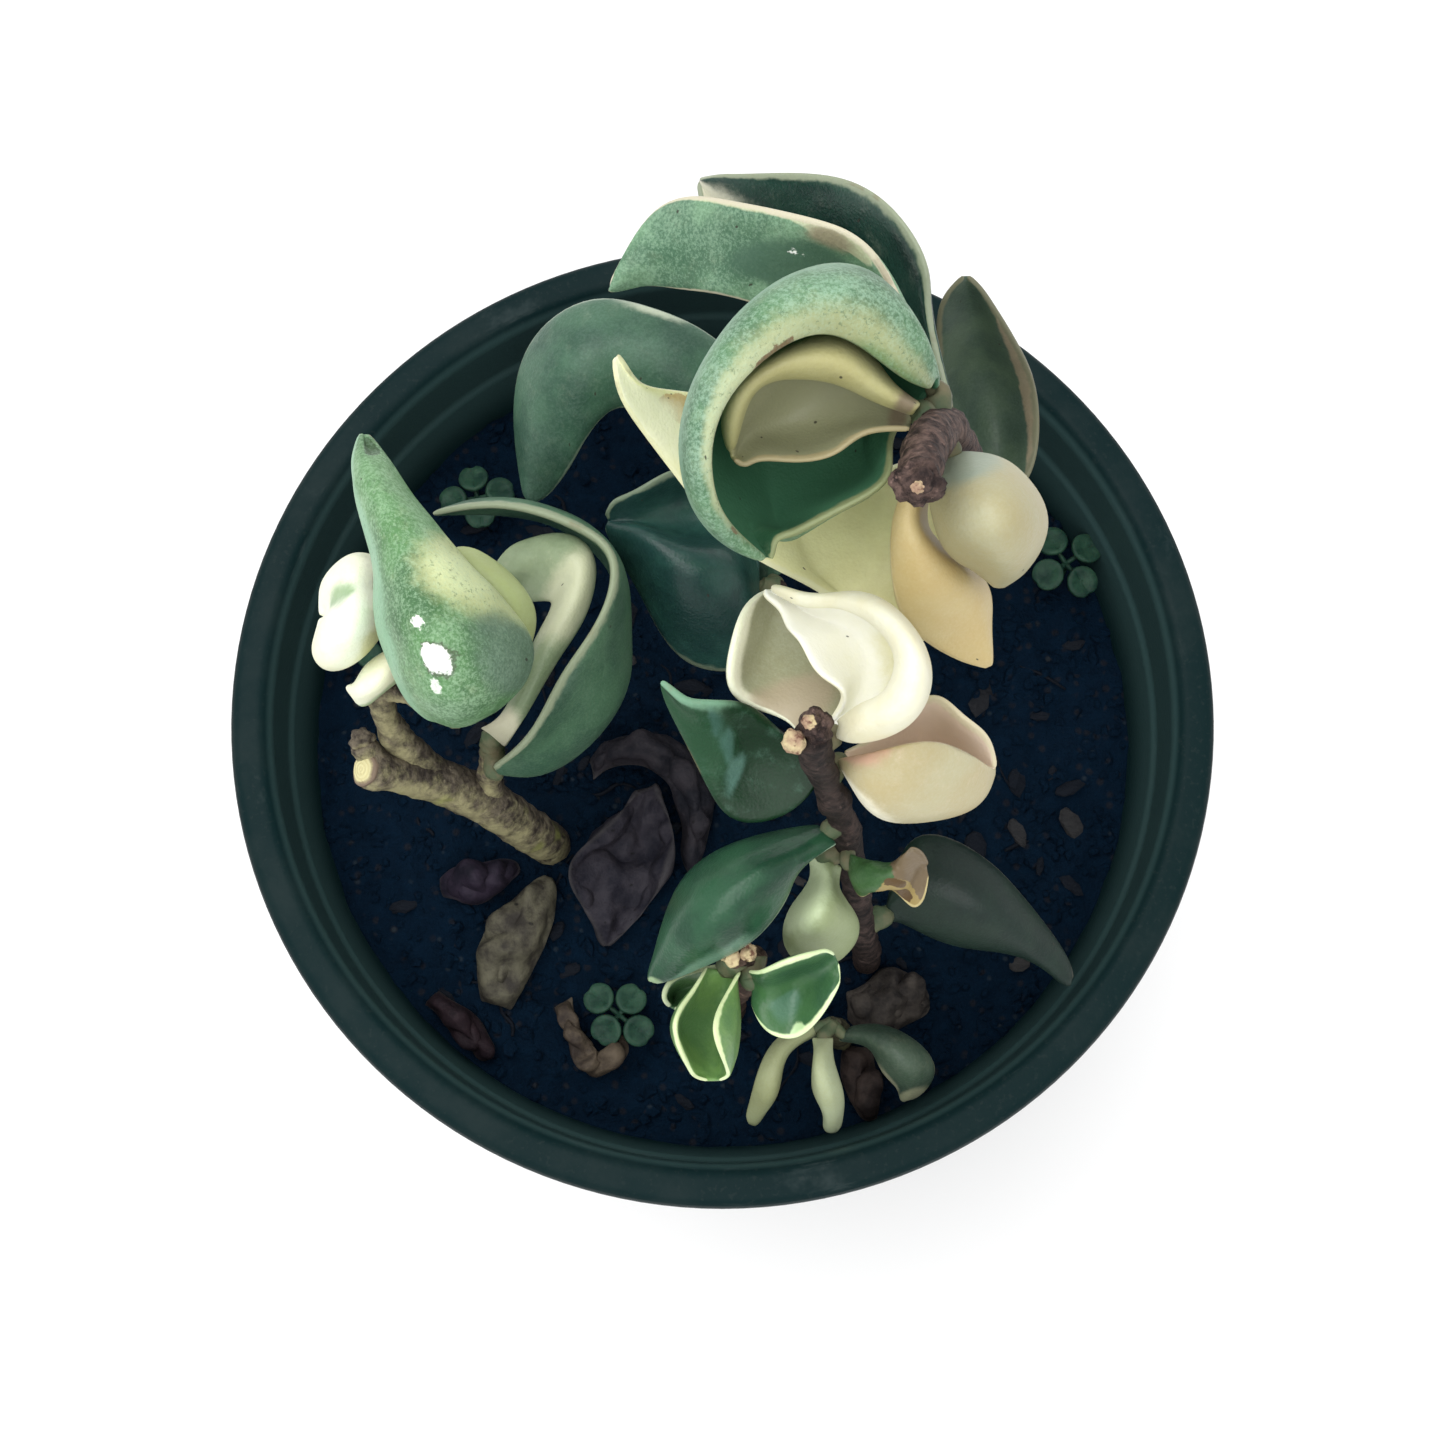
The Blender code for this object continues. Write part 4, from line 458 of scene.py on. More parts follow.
# The dry leaves on the soil. Their heights are counted from the soil.
FALLEN_LEAVES = {
    "dried_ring_leaf": leaf(
        None, "leaf_dried", (8, 4), 0.8, (-18.5, -6, 0), (-4.5, -20.5, 0), (3, 2), OPEN,
        [(-15.5, -5.5, 1), (-10, -6, 2), (-6.5, -10, 2), (-5.5, -16, 1)],
        [(-15.5, -3.5, 4), (-9.5, -3.5, 6), (-4.5, -9, 6), (-3.5, -15.5, 4)],
        [(-16, -2, 0), (-9.5, -1, 0), (-2.5, -7.5, 0), (-2, -15.5, 0)],
    ),
    "dried_coil_leaf": leaf(
        None, "leaf_dried", (7, 5), 0.8, (-10.5, -8.5, 2), (-16, -30.5, 1), (3, 2), OPEN,
        [(-8, -11.5, 5), (-6.5, -16.5, 6), (-8, -22, 6), (-11.5, -27, 3)],
        [(-9.5, -12.5, 2), (-9.5, -17, 1.5), (-10.5, -22, 1.5), (-12.5, -26.5, 1.5)],
        [(-13, -13.5, 1.5), (-15, -18, 1.5), (-15.5, -22.5, 1.5), (-15, -26.5, 1.5)],
        [(-16, -14.5, 5), (-20.5, -19, 6), (-20.5, -23.5, 6), (-18, -27.5, 3)],
    ),
    "tan_leaf": leaf(
        None, "leaf_dried", (6, 4), 0.9, (-31, -38.5, 0), (-24, -21, 1), (4, 2), OPEN,
        [(-33.5, -34, 1), (-33, -29, 1), (-30, -25, 1), (-26.5, -22.5, 1)],
        [(-30.5, -34.5, 4), (-29, -29.5, 5), (-26.5, -26, 5), (-25, -23, 3)],
        [(-27, -36, 1), (-24.5, -31, 1), (-23, -27, 1), (-23, -24, 1)],
    ),
    "purple_leaf": leaf(
        None, "leaf_dried", (5, 3), 0.8, (-39, -22.5, 0), (-28, -19.5, 0), (2.5, 2), OPEN,
        [(-36.5, -19.5, 1), (-33.5, -19, 1), (-30.5, -18.5, 1)],
        [(-36, -22, 4), (-33, -21.5, 5), (-30, -20.5, 3)],
        [(-35.5, -24.5, 1), (-32.5, -24.5, 1), (-29.5, -22, 1)],
    ),
    "bent_leaf": leaf(
        None, "leaf_dried", (7, 3), 0.8, (-22, -38, 0), (-13.5, -43, 0), (3, 2.5), OPEN,
        [(-20, -40, 1), (-18, -43.5, 1), (-16.5, -45, 1), (-15, -43.5, 1)],
        [(-21, -40.5, 3), (-19, -44.5, 4), (-17, -46.5, 4), (-14.5, -44.5, 3)],
        [(-22, -41, 1), (-20, -45.5, 1), (-17.5, -48, 1), (-13.5, -46, 1)],
    ),
    "rust_leaf": leaf(
        None, "leaf_dried", (5, 3), 0.8, (-40, -37.5, 0), (-32, -45.5, 0), (3, 2), OPEN,
        [(-37.5, -37.5, 1), (-34, -39.5, 1), (-32, -43, 1)],
        [(-38.5, -38.5, 3), (-35.5, -41, 4), (-33, -44, 3)],
        [(-39.5, -39.5, 1), (-37, -42.5, 1), (-34, -45, 1)],
    ),
    "grey_dried_leaf": leaf(
        None, "leaf_dried", (6, 4), 0.9, (17, -38.5, 0.5), (28.5, -38, 0), (3.5, 3), OPEN,
        [(19, -36, 1), (22, -34, 1), (26, -34.5, 1)],
        [(19, -38, 4), (22.5, -37, 5), (26, -36.5, 4)],
        [(19, -40, 4), (22.5, -40, 5), (26, -39, 3)],
        [(19, -41.5, 0.5), (22.5, -42, 0.5), (26.5, -40.5, 0)],
    ),
    "brown_leaf": leaf(
        None, "leaf_dried", (5, 3), 0.8, (18.5, -44.5, 0), (20, -54, 0), (3, 2.5), OPEN,
        [(16.5, -46, 1), (16.5, -49.5, 1), (18, -52.5, 1)],
        [(18.5, -46.5, 3), (19, -49.5, 4), (19.5, -52.5, 3)],
        [(20.5, -46, 0), (21.5, -49.5, 0), (21, -52.5, 0)],
    ),
}

# How each leaf is dressed. Skins names its skin, or those of its outer and its inner side, and the
# tint scales their colours. Creams are spots where the cream of the leaf shows, and stains are
# spots of another colour; some stains, and the tint of one leaf, are painted light or painted shade,
# as said at each. Both give the middle and the reach, each (along, across), and after them
# the one side that they are on, and ragged for stains without a soft edge. The line is the width in
# mm of the pale margin along the first and the last curve, and its colour. Dents give the middle,
# the reach and the depth in mm of a hollow, and pricks are the share of the skin's cells that hold
# a dark dot. Thin is the thickness in mm of the margins, tip_part the length over which the tip
# rounds, waves how high its waves are, and frost_over how much of the wax lies over the stains.
LOOKS = {
    "hood_leaf": {
        "skins": "frosted/deep_green", "tint": (0.62, 0.72, 0.66), "line": (0, 0.35, (0.26, 0.3, 0.15)),
        "frost_over": 0.3,
        "stains": [
            ((0.36, -0.04), (0.58, 0.115), (0.38, 0.41, 0.21), "outer"),
            ((0.66, -0.02), (0.34, 0.085), (0.54, 0.6, 0.36), "outer"),
            ((0.12, 0), (0.11, 0.035), (0.13, 0.22, 0.08), "outer"),
            ((0.42, 0), (0.05, 0.016), (0.22, 0.15, 0.08), "outer", "ragged"),
            ((0.9, 0.03), (0.014, 0.022), (0.2, 0.13, 0.07), "outer", "ragged"),
            # Painted highlight: this stain lightens the leaf's left outer edge.
            ((0.66, 0.26), (0.36, 0.09), (0.2, 0.34, 0.24), "outer"),
            # Painted light: this stain brightens the hollow inside the hood, which lies in shade.
            ((0.4, 0.5), (0.6, 0.6), (0.068, 0.205, 0.115), "inner"),
        ],
    },
    "inner_leaf": {
        "skins": "cream", "tint": (0.92, 0.92, 0.88), "line": (0, 0.3, (0.42, 0.36, 0.2)), "pricks": 0.3,
        "stains": [
            # This stain greys the inner face: partly the leaf's own tone and partly painted shade of its
            # hollow.
            ((0.45, 0.72), (0.6, 0.6), (0.31, 0.32, 0.2), "inner"),
            ((0.06, 0.4), (0.05, 0.7), (0.24, 0.19, 0.13)),
        ],
    },
    "ball_leaf": {
        "skins": "butter", "tint": (0.74, 0.8, 0.91), "tip_part": 0.2,
        "stains": [((0.1, 0.45), (0.2, 0.45), (0.3, 0.36, 0.28), "outer")],
    },
    "pointed_leaf": {
        "skins": "butter", "tint": (1, 0.94, 0.9), "line": (0.1, 0.1, (0.66, 0.56, 0.32)),
    },
    "long_cream_leaf": {
        # Painted light: the tint is raised to brighten the leaf where the hood above shades it.
        "skins": "cream", "tint": (1.6, 1.66, 1.85), "line": (0.1, 0.1, (0.8, 0.8, 0.5)), "pricks": 0.16,
        "stains": [
            ((0.76, 0.7), (0.1, 0.26), (0.58, 0.44, 0.2), "ragged"),
            ((0.93, 0.2), (0.2, 0.6), (0.92, 0.92, 0.66)),
        ],
    },
    "mottled_leaf": {
        "skins": "mottled", "tint": (0.86, 0.97, 0.87), "line": (0.1, 0.3, (0.6, 0.56, 0.42)),
        "creams": [((0.62, 1), (0.3, 0.06)), ((0.4, 0.97), (0.12, 0.14))],
        "stains": [
            ((0.44, 0.9), (0.07, 0.12), (0.3, 0.26, 0.17)),
            ((0.47, 0.5), (0.16, 0.28), (0.055, 0.125, 0.08)),
            ((0.5, 0.62), (0.02, 0.09), (1, 1, 0.96), "ragged"),
        ],
        "dents": [((0.55, 0.45), (0.1, 0.35), -0.5)],
    },
    "dark_leaf": {
        "skins": "dark", "tint": (0.42, 0.62, 0.8), "line": (0.1, 0.55, (0.29, 0.33, 0.23)),
        "stains": [
            ((0.93, 0.6), (0.2, 0.42), (0.74, 0.72, 0.58)), ((0.5, 0), (0.22, 0.05), (0.065, 0.125, 0.09)),
        ],
    },
    "olive_leaf": {
        "skins": "olive", "tint": (1.45, 1.42, 1.45), "line": (0.2, 0.1, (0.16, 0.16, 0.1)),
        "creams": [((0.52, -0.02), (0.36, 0.13))],
    },
    "scroll_leaf": {
        "skins": "white", "tint": (1.05, 1.08, 1.14),
        "stains": [
            # Painted light: this stain lightens the whole inner side, which lies in shade inside the roll.
            ((0.5, 0.5), (1.2, 1.2), (0.98, 0.98, 0.91), "inner"),
            # Painted shade: this stain paints the yellowish shade inside the curl.
            ((0.38, 0.45), (0.2, 0.22), (0.8, 0.77, 0.5), "inner"),
            ((0.55, 0.26), (0.012, 0.05), (0.36, 0.2, 0.1), "ragged"),
        ],
    },
    "grey_leaf": {
        "skins": "dusk", "tint": (1.45, 1.5, 1.64), "line": (0.1, 0, (0.84, 0.86, 0.66)),
        "stains": [
            ((0.6, -0.02), (0.5, 0.16), (0.86, 0.86, 0.68)), ((0.28, 0.3), (0.2, 0.6), (0.44, 0.37, 0.26)),
        ],
    },
    "folded_leaf": {
        "skins": "butter/blush", "tint": (0.88, 0.92, 1.06), "line": (0, 0.1, (0.66, 0.6, 0.42)),
        "stains": [
            ((0.2, -0.02), (0.16, 0.11), (0.64, 0.4, 0.29), "outer"),
            ((0.24, 0.34), (0.24, 0.12), (0.9, 0.87, 0.7), "outer"),
        ],
    },
    "glossy_leaf": {
        "skins": "deep_green", "tint": (0.05, 0.18, 0.1),
        "stains": [
            # Painted light: this stain lightens the lit half of the leaf.
            ((0.86, 0.6), (0.36, 0.7), (0.014, 0.066, 0.026)),
            # Painted highlight: this stain and the next two paint the highlight streak along the fold.
            ((0.62, 0.22), (0.04, 0.24), (0.038, 0.11, 0.08)),
            ((0.55, 0.46), (0.04, 0.22), (0.045, 0.125, 0.092)),
            ((0.47, 0.7), (0.04, 0.19), (0.068, 0.155, 0.12)), ((0.78, 0), (0.3, 0.08), (0.18, 0.35, 0.23)),
        ],
        "dents": [((0.55, 0.5), (0.06, 0.4), -0.6)],
    },
    "torn_leaf": {
        "skins": "green", "tint": (0.6, 0.75, 0.4), "line": (0, 0.1, (0.5, 0.42, 0.2)), "thin": 0.4,
        "waves": 12,
        "stains": [
            ((0.82, 0.4), (0.34, 0.9), (0.165, 0.122, 0.07), "ragged"),
            ((0.58, 0.95), (0.3, 0.42), (0.31, 0.235, 0.085), "ragged"),
            ((0.52, 0.62), (0.12, 0.1), (0.1, 0.06, 0.022), "ragged"),
            ((0.68, 0.84), (0.12, 0.1), (0.095, 0.055, 0.02), "ragged"),
        ],
    },
    "low_dark_leaf": {
        "skins": "olive", "tint": (0.25, 0.36, 0.4), "line": (0.4, 0, (0.085, 0.09, 0.075)),
    },
    "green_leaf": {
        "skins": "dark", "tint": (0.78, 0.98, 0.88), "line": (0, 0.15, (0.3, 0.42, 0.3)),
        "creams": [((1.02, 0.5), (0.06, 0.8))],
        "stains": [((0.78, 0.92), (0.18, 0.12), (0.13, 0.24, 0.17))],
        "dents": [((0.5, 0.45), (0.45, 0.05), -0.35)],
    },
    "pale_leaf": {
        "skins": "pale", "tint": (0.98, 0.92, 0.8),
        "stains": [((0.3, 0.2), (0.34, 0.34), (0.54, 0.64, 0.4))],
    },
    "spoon_leaf": {
        "skins": "lime", "tint": (3, 2.2, 1.9), "line": (0.12, 0.12, (0.68, 0.8, 0.44)), "thin": 0.4,
    },
    "lobe_leaf": {
        "skins": "lime", "tint": (0.85, 0.95, 0.98), "line": (0.12, 0.18, (0.72, 0.88, 0.5)), "thin": 0.4,
        "creams": [((0.48, 1), (0.08, 0.08))],
        "stains": [((0.38, 0.72), (0.16, 0.16), (0.085, 0.19, 0.12))],
        "dents": [((0.5, 0.55), (0.3, 0.1), -0.4)],
    },
    "small_leaf": {
        "skins": "lime", "tint": (1.2, 1.1, 1.1), "line": (0.1, 0.1, (0.5, 0.58, 0.36)),
    },
    "frosted_leaf": {
        "skins": "frosted", "tint": (0.67, 0.8, 0.57), "line": (0.1, 0.2, (0.34, 0.26, 0.16)),
        "tip_part": 0.1, "waves": 2.6, "frost_over": 0.28,
        "creams": [((0.545, 1), (0.15, 0.26), "outer")],
        "stains": [
            ((0.56, 0.88), (0.12, 0.34), (0.56, 0.6, 0.31), "outer"),
            ((0.57, 0.74), (0.06, 0.13), (0.66, 0.72, 0.4), "outer"),
            ((0.38, 0.75), (0.1, 0.15), (0.1, 0.17, 0.115), "outer"),
            # Painted highlight: this stain lightens the leaf's left edge.
            ((0.6, 0.14), (0.55, 0.18), (0.26, 0.48, 0.3), "outer"),
            ((0.95, 0.64), (0.034, 0.17), (0.03, 0.075, 0.022), "outer", "ragged"),
            ((0.36, 0.508), (0.038, 0.066), (0.07, 0.11, 0.05), "outer", "ragged"),
            ((0.355, 0.5), (0.026, 0.05), (0.95, 0.97, 0.91), "outer", "ragged"),
            ((0.433, 0.476), (0.024, 0.034), (0.86, 0.92, 0.82), "outer", "ragged"),
            ((0.3, 0.476), (0.024, 0.034), (0.8, 0.86, 0.76), "outer", "ragged"),
        ],
        "dents": [
            ((0.47, 0.72), (0.025, 0.18), -0.7), ((0.355, 0.5), (0.025, 0.045), 0.25),
            ((0.37, 0.28), (0.03, 0.09), -0.8), ((0.56, 0.58), (0.1, 0.03), -0.6),
            ((0.955, 0.62), (0.024, 0.12), -1.2),
        ],
    },
    "lobe_cream_leaf": {
        "skins": "cream", "tint": (0.75, 0.92, 0.85),
    },
    "cushion_leaf": {
        "skins": "white", "tint": (1.1, 1.2, 1.3),
        "stains": [
            # Painted shade: this green stain stands for the shade in the crease.
            ((0.6, 0.545), (0.16, 0.045), (0.28, 0.42, 0.22), "outer"),
            ((0.3, 0.2), (0.16, 0.14), (0.66, 0.66, 0.36), "outer"),
            # Painted shade: this green stain stands for the shade of the slit between this leaf and the lip.
            ((0.45, 0), (0.5, 0.1), (0.28, 0.42, 0.2), "outer"),
        ],
        "dents": [((0.62, 0.54), (0.4, 0.075), -1.5)],
    },
    "lip_leaf": {
        "skins": "white", "tint": (1.1, 1.2, 1.3),
        # Painted shade: this green stain stands for the shade of the slit between this leaf and the cushion.
        "stains": [((0.5, 1), (0.5, 0.18), (0.3, 0.42, 0.22))],
    },
    "bowl_leaf": {
        "skins": "green", "tint": (1.05, 1.1, 1.05), "line": (1.1, 0.1, (0.27, 0.32, 0.21)),
    },
    "loop_leaf": {
        "skins": "pale", "tint": (1, 0.98, 1),
        "stains": [
            ((0.6, 0.45), (0.16, 0.6), (0.56, 0.58, 0.4)), ((0.08, 0.5), (0.14, 0.8), (0.62, 0.6, 0.44)),
        ],
    },
    "twin_leaf": {
        "skins": "green", "tint": (0.74, 0.85, 0.86), "line": (0.2, 0.1, (0.24, 0.33, 0.24)),
        "stains": [((0.555, -0.01), (0.055, 0.11), (0.5, 0.56, 0.42))],
        "dents": [((0.58, 0.3), (0.06, 0.5), -0.7)],
    },
    "shade_leaf": {
        "skins": "dark", "tint": (0.8, 0.88, 1.3), "line": (0.6, 0.1, (0.17, 0.22, 0.15)),
    },
    "low_leaf_1": {
        "skins": "cream", "tint": (0.62, 0.72, 0.8),
    },
    "low_leaf_2": {
        "skins": "cream", "tint": (0.85, 1, 1.25),
    },
    "low_leaf_3": {
        "skins": "green", "tint": (0.7, 0.55, 0.6), "line": (0.3, 0.3, (0.25, 0.28, 0.18)),
        "stains": [
            ((0.66, 1), (0.22, 0.14), (0.3, 0.3, 0.2)), ((0.97, 0.5), (0.12, 0.8), (0.24, 0.25, 0.16)),
        ],
    },
}

NO_LINE = (0.0, 0.0, (0.0, 0.0, 0.0))

# The skins: the green and its darker tone, the cream and its warmer tone, how much of the skin
# is cream, how strongly it is frosted with white specks, its roughness and its clear gloss.
SKINS = {
    "frosted": ((0.15, 0.3, 0.155), (0.075, 0.175, 0.09), (0.6, 0.66, 0.37), (0.48, 0.54, 0.27),
                0, 0.6, 0.5, 0.02),
    "mottled": ((0.16, 0.28, 0.175), (0.07, 0.15, 0.095), (0.64, 0.62, 0.44), (0.52, 0.46, 0.32),
                0, 0.45, 0.5, 0.02),
    "green": ((0.07, 0.15, 0.088), (0.04, 0.095, 0.06), (0.56, 0.6, 0.38), (0.42, 0.44, 0.26),
              0, 0.1, 0.42, 0.04),
    "dark": ((0.026, 0.085, 0.045), (0.012, 0.046, 0.027), (0.4, 0.46, 0.3), (0.3, 0.34, 0.2),
             0, 0.02, 0.32, 0.1),
    "deep_green": ((0.055, 0.165, 0.085), (0.04, 0.13, 0.068), (0.4, 0.46, 0.3), (0.3, 0.34, 0.2),
                   0, 0, 0.45, 0.02),
    "blush": ((0.5, 0.42, 0.3), (0.4, 0.34, 0.24), (0.86, 0.7, 0.5), (0.82, 0.64, 0.44), 1, 0, 0.45, 0.02),
    "olive": ((0.046, 0.075, 0.045), (0.03, 0.052, 0.036), (0.19, 0.17, 0.11), (0.15, 0.125, 0.08),
              0, 0.03, 0.45, 0.03),
    "lime": ((0.06, 0.15, 0.05), (0.034, 0.1, 0.042), (0.64, 0.76, 0.42), (0.5, 0.62, 0.3),
             0, 0.02, 0.32, 0.12),
    "cream": ((0.18, 0.24, 0.11), (0.1, 0.16, 0.07), (0.56, 0.54, 0.27), (0.47, 0.44, 0.2),
              1, 0.06, 0.45, 0.05),
    "dusk": ((0.16, 0.18, 0.1), (0.1, 0.12, 0.07), (0.255, 0.255, 0.15), (0.215, 0.205, 0.115),
             1, 0.05, 0.45, 0.03),
    "butter": ((0.24, 0.3, 0.2), (0.15, 0.21, 0.13), (0.56, 0.5, 0.27), (0.53, 0.43, 0.2),
               1, 0.08, 0.45, 0.05),
    "white": ((0.3, 0.4, 0.15), (0.2, 0.3, 0.09), (0.82, 0.79, 0.6), (0.76, 0.7, 0.46), 1, 0.05, 0.42, 0.06),
    "pale": ((0.29, 0.37, 0.22), (0.2, 0.27, 0.15), (0.6, 0.64, 0.43), (0.5, 0.53, 0.33),
             0.2, 0.06, 0.42, 0.05),
}


def clear_selection():
    """Deselects everything, because the frame comes in selected."""
    if bpy.context.object and bpy.context.object.mode != "OBJECT":
        bpy.ops.object.mode_set(mode="OBJECT")
    bpy.ops.object.select_all(action="DESELECT")


def pick(*things):
    """Selects these objects and nothing else. The last one is the active one."""
    clear_selection()
    for thing in things:
        thing.select_set(True)
        bpy.context.view_layer.objects.active = thing


def primitive(kind, **settings):
    """One of the plain shapes, new and selected."""
    clear_selection()
    getattr(bpy.ops.mesh, f"primitive_{kind}_add")(**settings)
    return bpy.context.object


def edit_all(thing, *steps):
    """Runs these steps on all of a mesh in edit mode."""
    pick(thing)
    bpy.ops.object.mode_set(mode="EDIT")
    bpy.ops.mesh.select_all(action="SELECT")
    for step in steps:
        step()
    bpy.ops.object.mode_set(mode="OBJECT")


def shade_smooth(thing):
    """Shades a piece as round."""
    pick(thing)
    bpy.ops.object.shade_smooth()


def finish_piece(thing, name, finish, slot, node=None):
    """Dresses and names a piece, sets it on the plant's body, and hides the node it stands for."""
    thing.data.materials.clear()
    thing.data.materials.append(finish)
    thing.name = name
    thing.data.name = name
    pick(thing)
    bpy.ops.object.transform_apply(location=True, rotation=True, scale=True)
    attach(thing, "root")
    if node:
        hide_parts(node)


def modify(thing, kind, **settings):
    """Applies one modifier to a piece."""
    modifier = thing.modifiers.new(kind.title(), kind)
    for name, value in settings.items():
        setattr(modifier, name, value)
    pick(thing)
    bpy.ops.object.modifier_apply(modifier=modifier.name)


def new_object(name, data):
    """A new object in the scene."""
    thing = bpy.data.objects.new(name, data)
    bpy.context.scene.collection.objects.link(thing)
    return thing


def joined(things):
    """One object from several, each still a shell of its own."""
    pick(*things)
    bpy.ops.object.join()
    return bpy.context.object


def read_vectors(rows, name):
    """A vector of each corner of a mesh, as an array."""
    out = np.empty(len(rows) * 3)
    rows.foreach_get(name, out)
    return out.reshape(-1, 3)


def coordinates(mesh):
    """The places of a mesh's corners."""
    return read_vectors(mesh.vertices, "co")


def normals_of(mesh):
    """The directions in which the surface faces at a mesh's corners."""
    return read_vectors(mesh.vertex_normals, "vector")


def set_coordinates(mesh, places):
    """Moves a mesh's corners to these places."""
    mesh.vertices.foreach_set("co", np.asarray(places, float).ravel())
    mesh.update()


def attribute(mesh, name, values):
    """A number for each corner of a mesh, for its material to read."""
    layer = mesh.attributes.new(name, "FLOAT", "POINT")
    layer.data.foreach_set("value", np.asarray(values, float))


def lengths(vectors):
    """How long each of an array's vectors is."""
    return np.linalg.norm(vectors, axis=-1)


def rough(places, length, seed, depth=3):
    """Smooth noise about 0 at each place, with bumps of that length, in metres."""
    lift = Vector((0.0, 0.0, seed))
    return np.array([noise.fractal(Vector(place) / length + lift, 1.0, 2.0, depth) for place in places])


def spline_weights(knots, places):
    """Weights that turn the values at a row of knots into those of a natural cubic spline."""
    count = len(knots)
    spans = np.diff(knots)
    unit = np.eye(count)
    bend = np.zeros((count, count))
    if count > 2:
        system = np.diag(2.0 * (spans[:-1] + spans[1:]))
        system += np.diag(spans[1:-1], 1) + np.diag(spans[1:-1], -1)
        slopes = (unit[1:] - unit[:-1]) / spans[:, None]
        bend[1:-1] = np.linalg.solve(system, 6.0 * (slopes[1:] - slopes[:-1]))
    places = np.clip(places, 0.0, 1.0)
    start = np.clip(np.searchsorted(knots, places, side="right") - 1, 0, count - 2)
    span = spans[start][:, None]
    after = (places[:, None] - knots[start][:, None]) / span
    before = 1.0 - after
    straight = before * unit[start] + after * unit[start + 1]
    curved = (before**3 - before) * bend[start] + (after**3 - after) * bend[start + 1]
    return straight + curved * span**2 / 6.0


def knots_of(distances):
    """Knots from 0 to 1 that are as far apart as the distances between the places they stand for."""
    far = np.concatenate([[0.0], np.cumsum(distances)])
    return far / far[-1]


def smooth_route(route, steps):
    """A stem's places and radii, read from a smooth curve through the route's own points."""
    table = np.array(route, float)
    knots = knots_of(lengths(np.diff(table[:, :3], axis=0)))
    count = steps * (len(route) - 1) + 1
    places = np.interp(np.linspace(0.0, 1.0, count), np.linspace(0.0, 1.0, len(route)), knots)
    return spline_weights(knots, places) @ table


def stem_axis(name):
    """Places close together on the axes of a stem and its side shoots, each with the radius there."""
    return np.concatenate([smooth_route(route, SEAT_STEPS) for route in STEMS[name]])


def open_end(middle, width, section):
    """One end of a leaf: a shallow arc, as wide as given, that opens the way the next section does."""
    across = section[-1] - section[0]
    across = across / lengths(across)
    belly = section[1:-1].mean(axis=0) - 0.5 * (section[0] + section[-1])
    belly = belly - (belly @ across) * across
    belly = belly / lengths(belly)
    share = np.linspace(-1.0, 1.0, len(section))[:, None]
    return np.array(middle) + width * (0.5 * share * across + END_DEPTH * (1.0 - share**2) * belly)


def rolled_end(middle, width, section):
    """One end of a rolled leaf: a small copy, as wide as given, of the section next to it."""
    shape = section - section.mean(axis=0)
    return np.array(middle) + shape * 0.5 * width / lengths(shape).max()


def seated(section, spec):
    """The leaf's base section, moved straight to its stem until only the gap is left between them."""
    axis = stem_axis(spec.stem)
    base = np.array(spec.base)
    out = base - axis[lengths(axis[:, :3] - base).argmin(), :3]
    out = out / lengths(out)
    fine = np.concatenate([section, 0.5 * (section[1:] + section[:-1])])
    shift = SEAT_REACH
    apart = SEAT_REACH
    while apart > GAP + 0.5 * THIN_END:
        shift -= SEAT_STRIDE
        places = (fine + shift * out)[:, None]
        apart = (lengths(places - axis[:, :3]) - axis[:, 3]).min()
    return section + (shift + SEAT_STRIDE) * out


def leaf_net(spec):
    """The places that steer a leaf: one row for each curve, each from the base to the tip."""
    rows = np.array(spec.curves, float)
    leaf_end = rolled_end if spec.rolled else open_end
    first = leaf_end(spec.base, spec.ends[0], rows[:, 0])
    if spec.stem:
        first = seated(first, spec)
    last = leaf_end(spec.tip, spec.ends[1], rows[:, -1])
    return np.concatenate([first[:, None], rows, last[:, None]], axis=1)


def bend_radius(places):
    """The radius, in mm, of the tightest bend of a net of places at each of them."""
    tightest = np.full(places.shape[:2], FLAT_RADIUS)
    for axis in (0, 1):
        steps = np.diff(np.moveaxis(places, axis, 0), axis=0)
        far = lengths(steps)
        turn = (steps[1:] * steps[:-1]).sum(axis=2) / (far[1:] * far[:-1])
        angle = np.maximum(np.arccos(np.clip(turn, -1.0, 1.0)), LEAST_TURN)
        radius = 0.5 * (far[1:] + far[:-1]) / angle
        radius = np.concatenate([radius[:1], radius, radius[-1:]])
        tightest = np.minimum(tightest, np.moveaxis(radius, 0, axis))
    return tightest


def surface(spec, along_steps, across_steps):
    """A leaf's middle surface as a net of (across, along) places in mm, heights from the rim."""
    net = leaf_net(spec)
    along_knots = knots_of(lengths(np.diff(net, axis=1)).mean(axis=0))
    across_knots = knots_of(lengths(np.diff(net[:, 1:-1], axis=0)).mean(axis=1))
    along = spline_weights(along_knots, np.linspace(0.0, 1.0, along_steps + 1))
    across = spline_weights(across_knots, np.linspace(0.0, 1.0, across_steps + 1))
    return np.einsum("nl,mk,klc->mnc", along, across, net)


def edge_distance(net):
    """How far each place of a net is from the leaf's first and last curve and from its ends, in mm."""
    first = np.cumsum(lengths(np.diff(net, axis=0, prepend=net[:1])), axis=0)
    base = np.cumsum(lengths(np.diff(net, axis=1, prepend=net[:, :1])), axis=1)
    return first, first[-1:] - first, base, base[:, -1:] - base


def ground_height(ground, x, y):
    """The height over the pot's base of the soil's highest spot close to a place, in mm."""
    highest = 0.0
    for side_x, side_y in ((0, 0), (1, 0), (-1, 0), (0, 1), (0, -1)):
        start = Vector((x + side_x * NEAR, y + side_y * NEAR, 2.0 * RIM_HEIGHT)) * MM
        hit = ground.ray_cast(start, -UP)[0]
        if hit:
            highest = max(highest, hit.z / MM)
    return highest


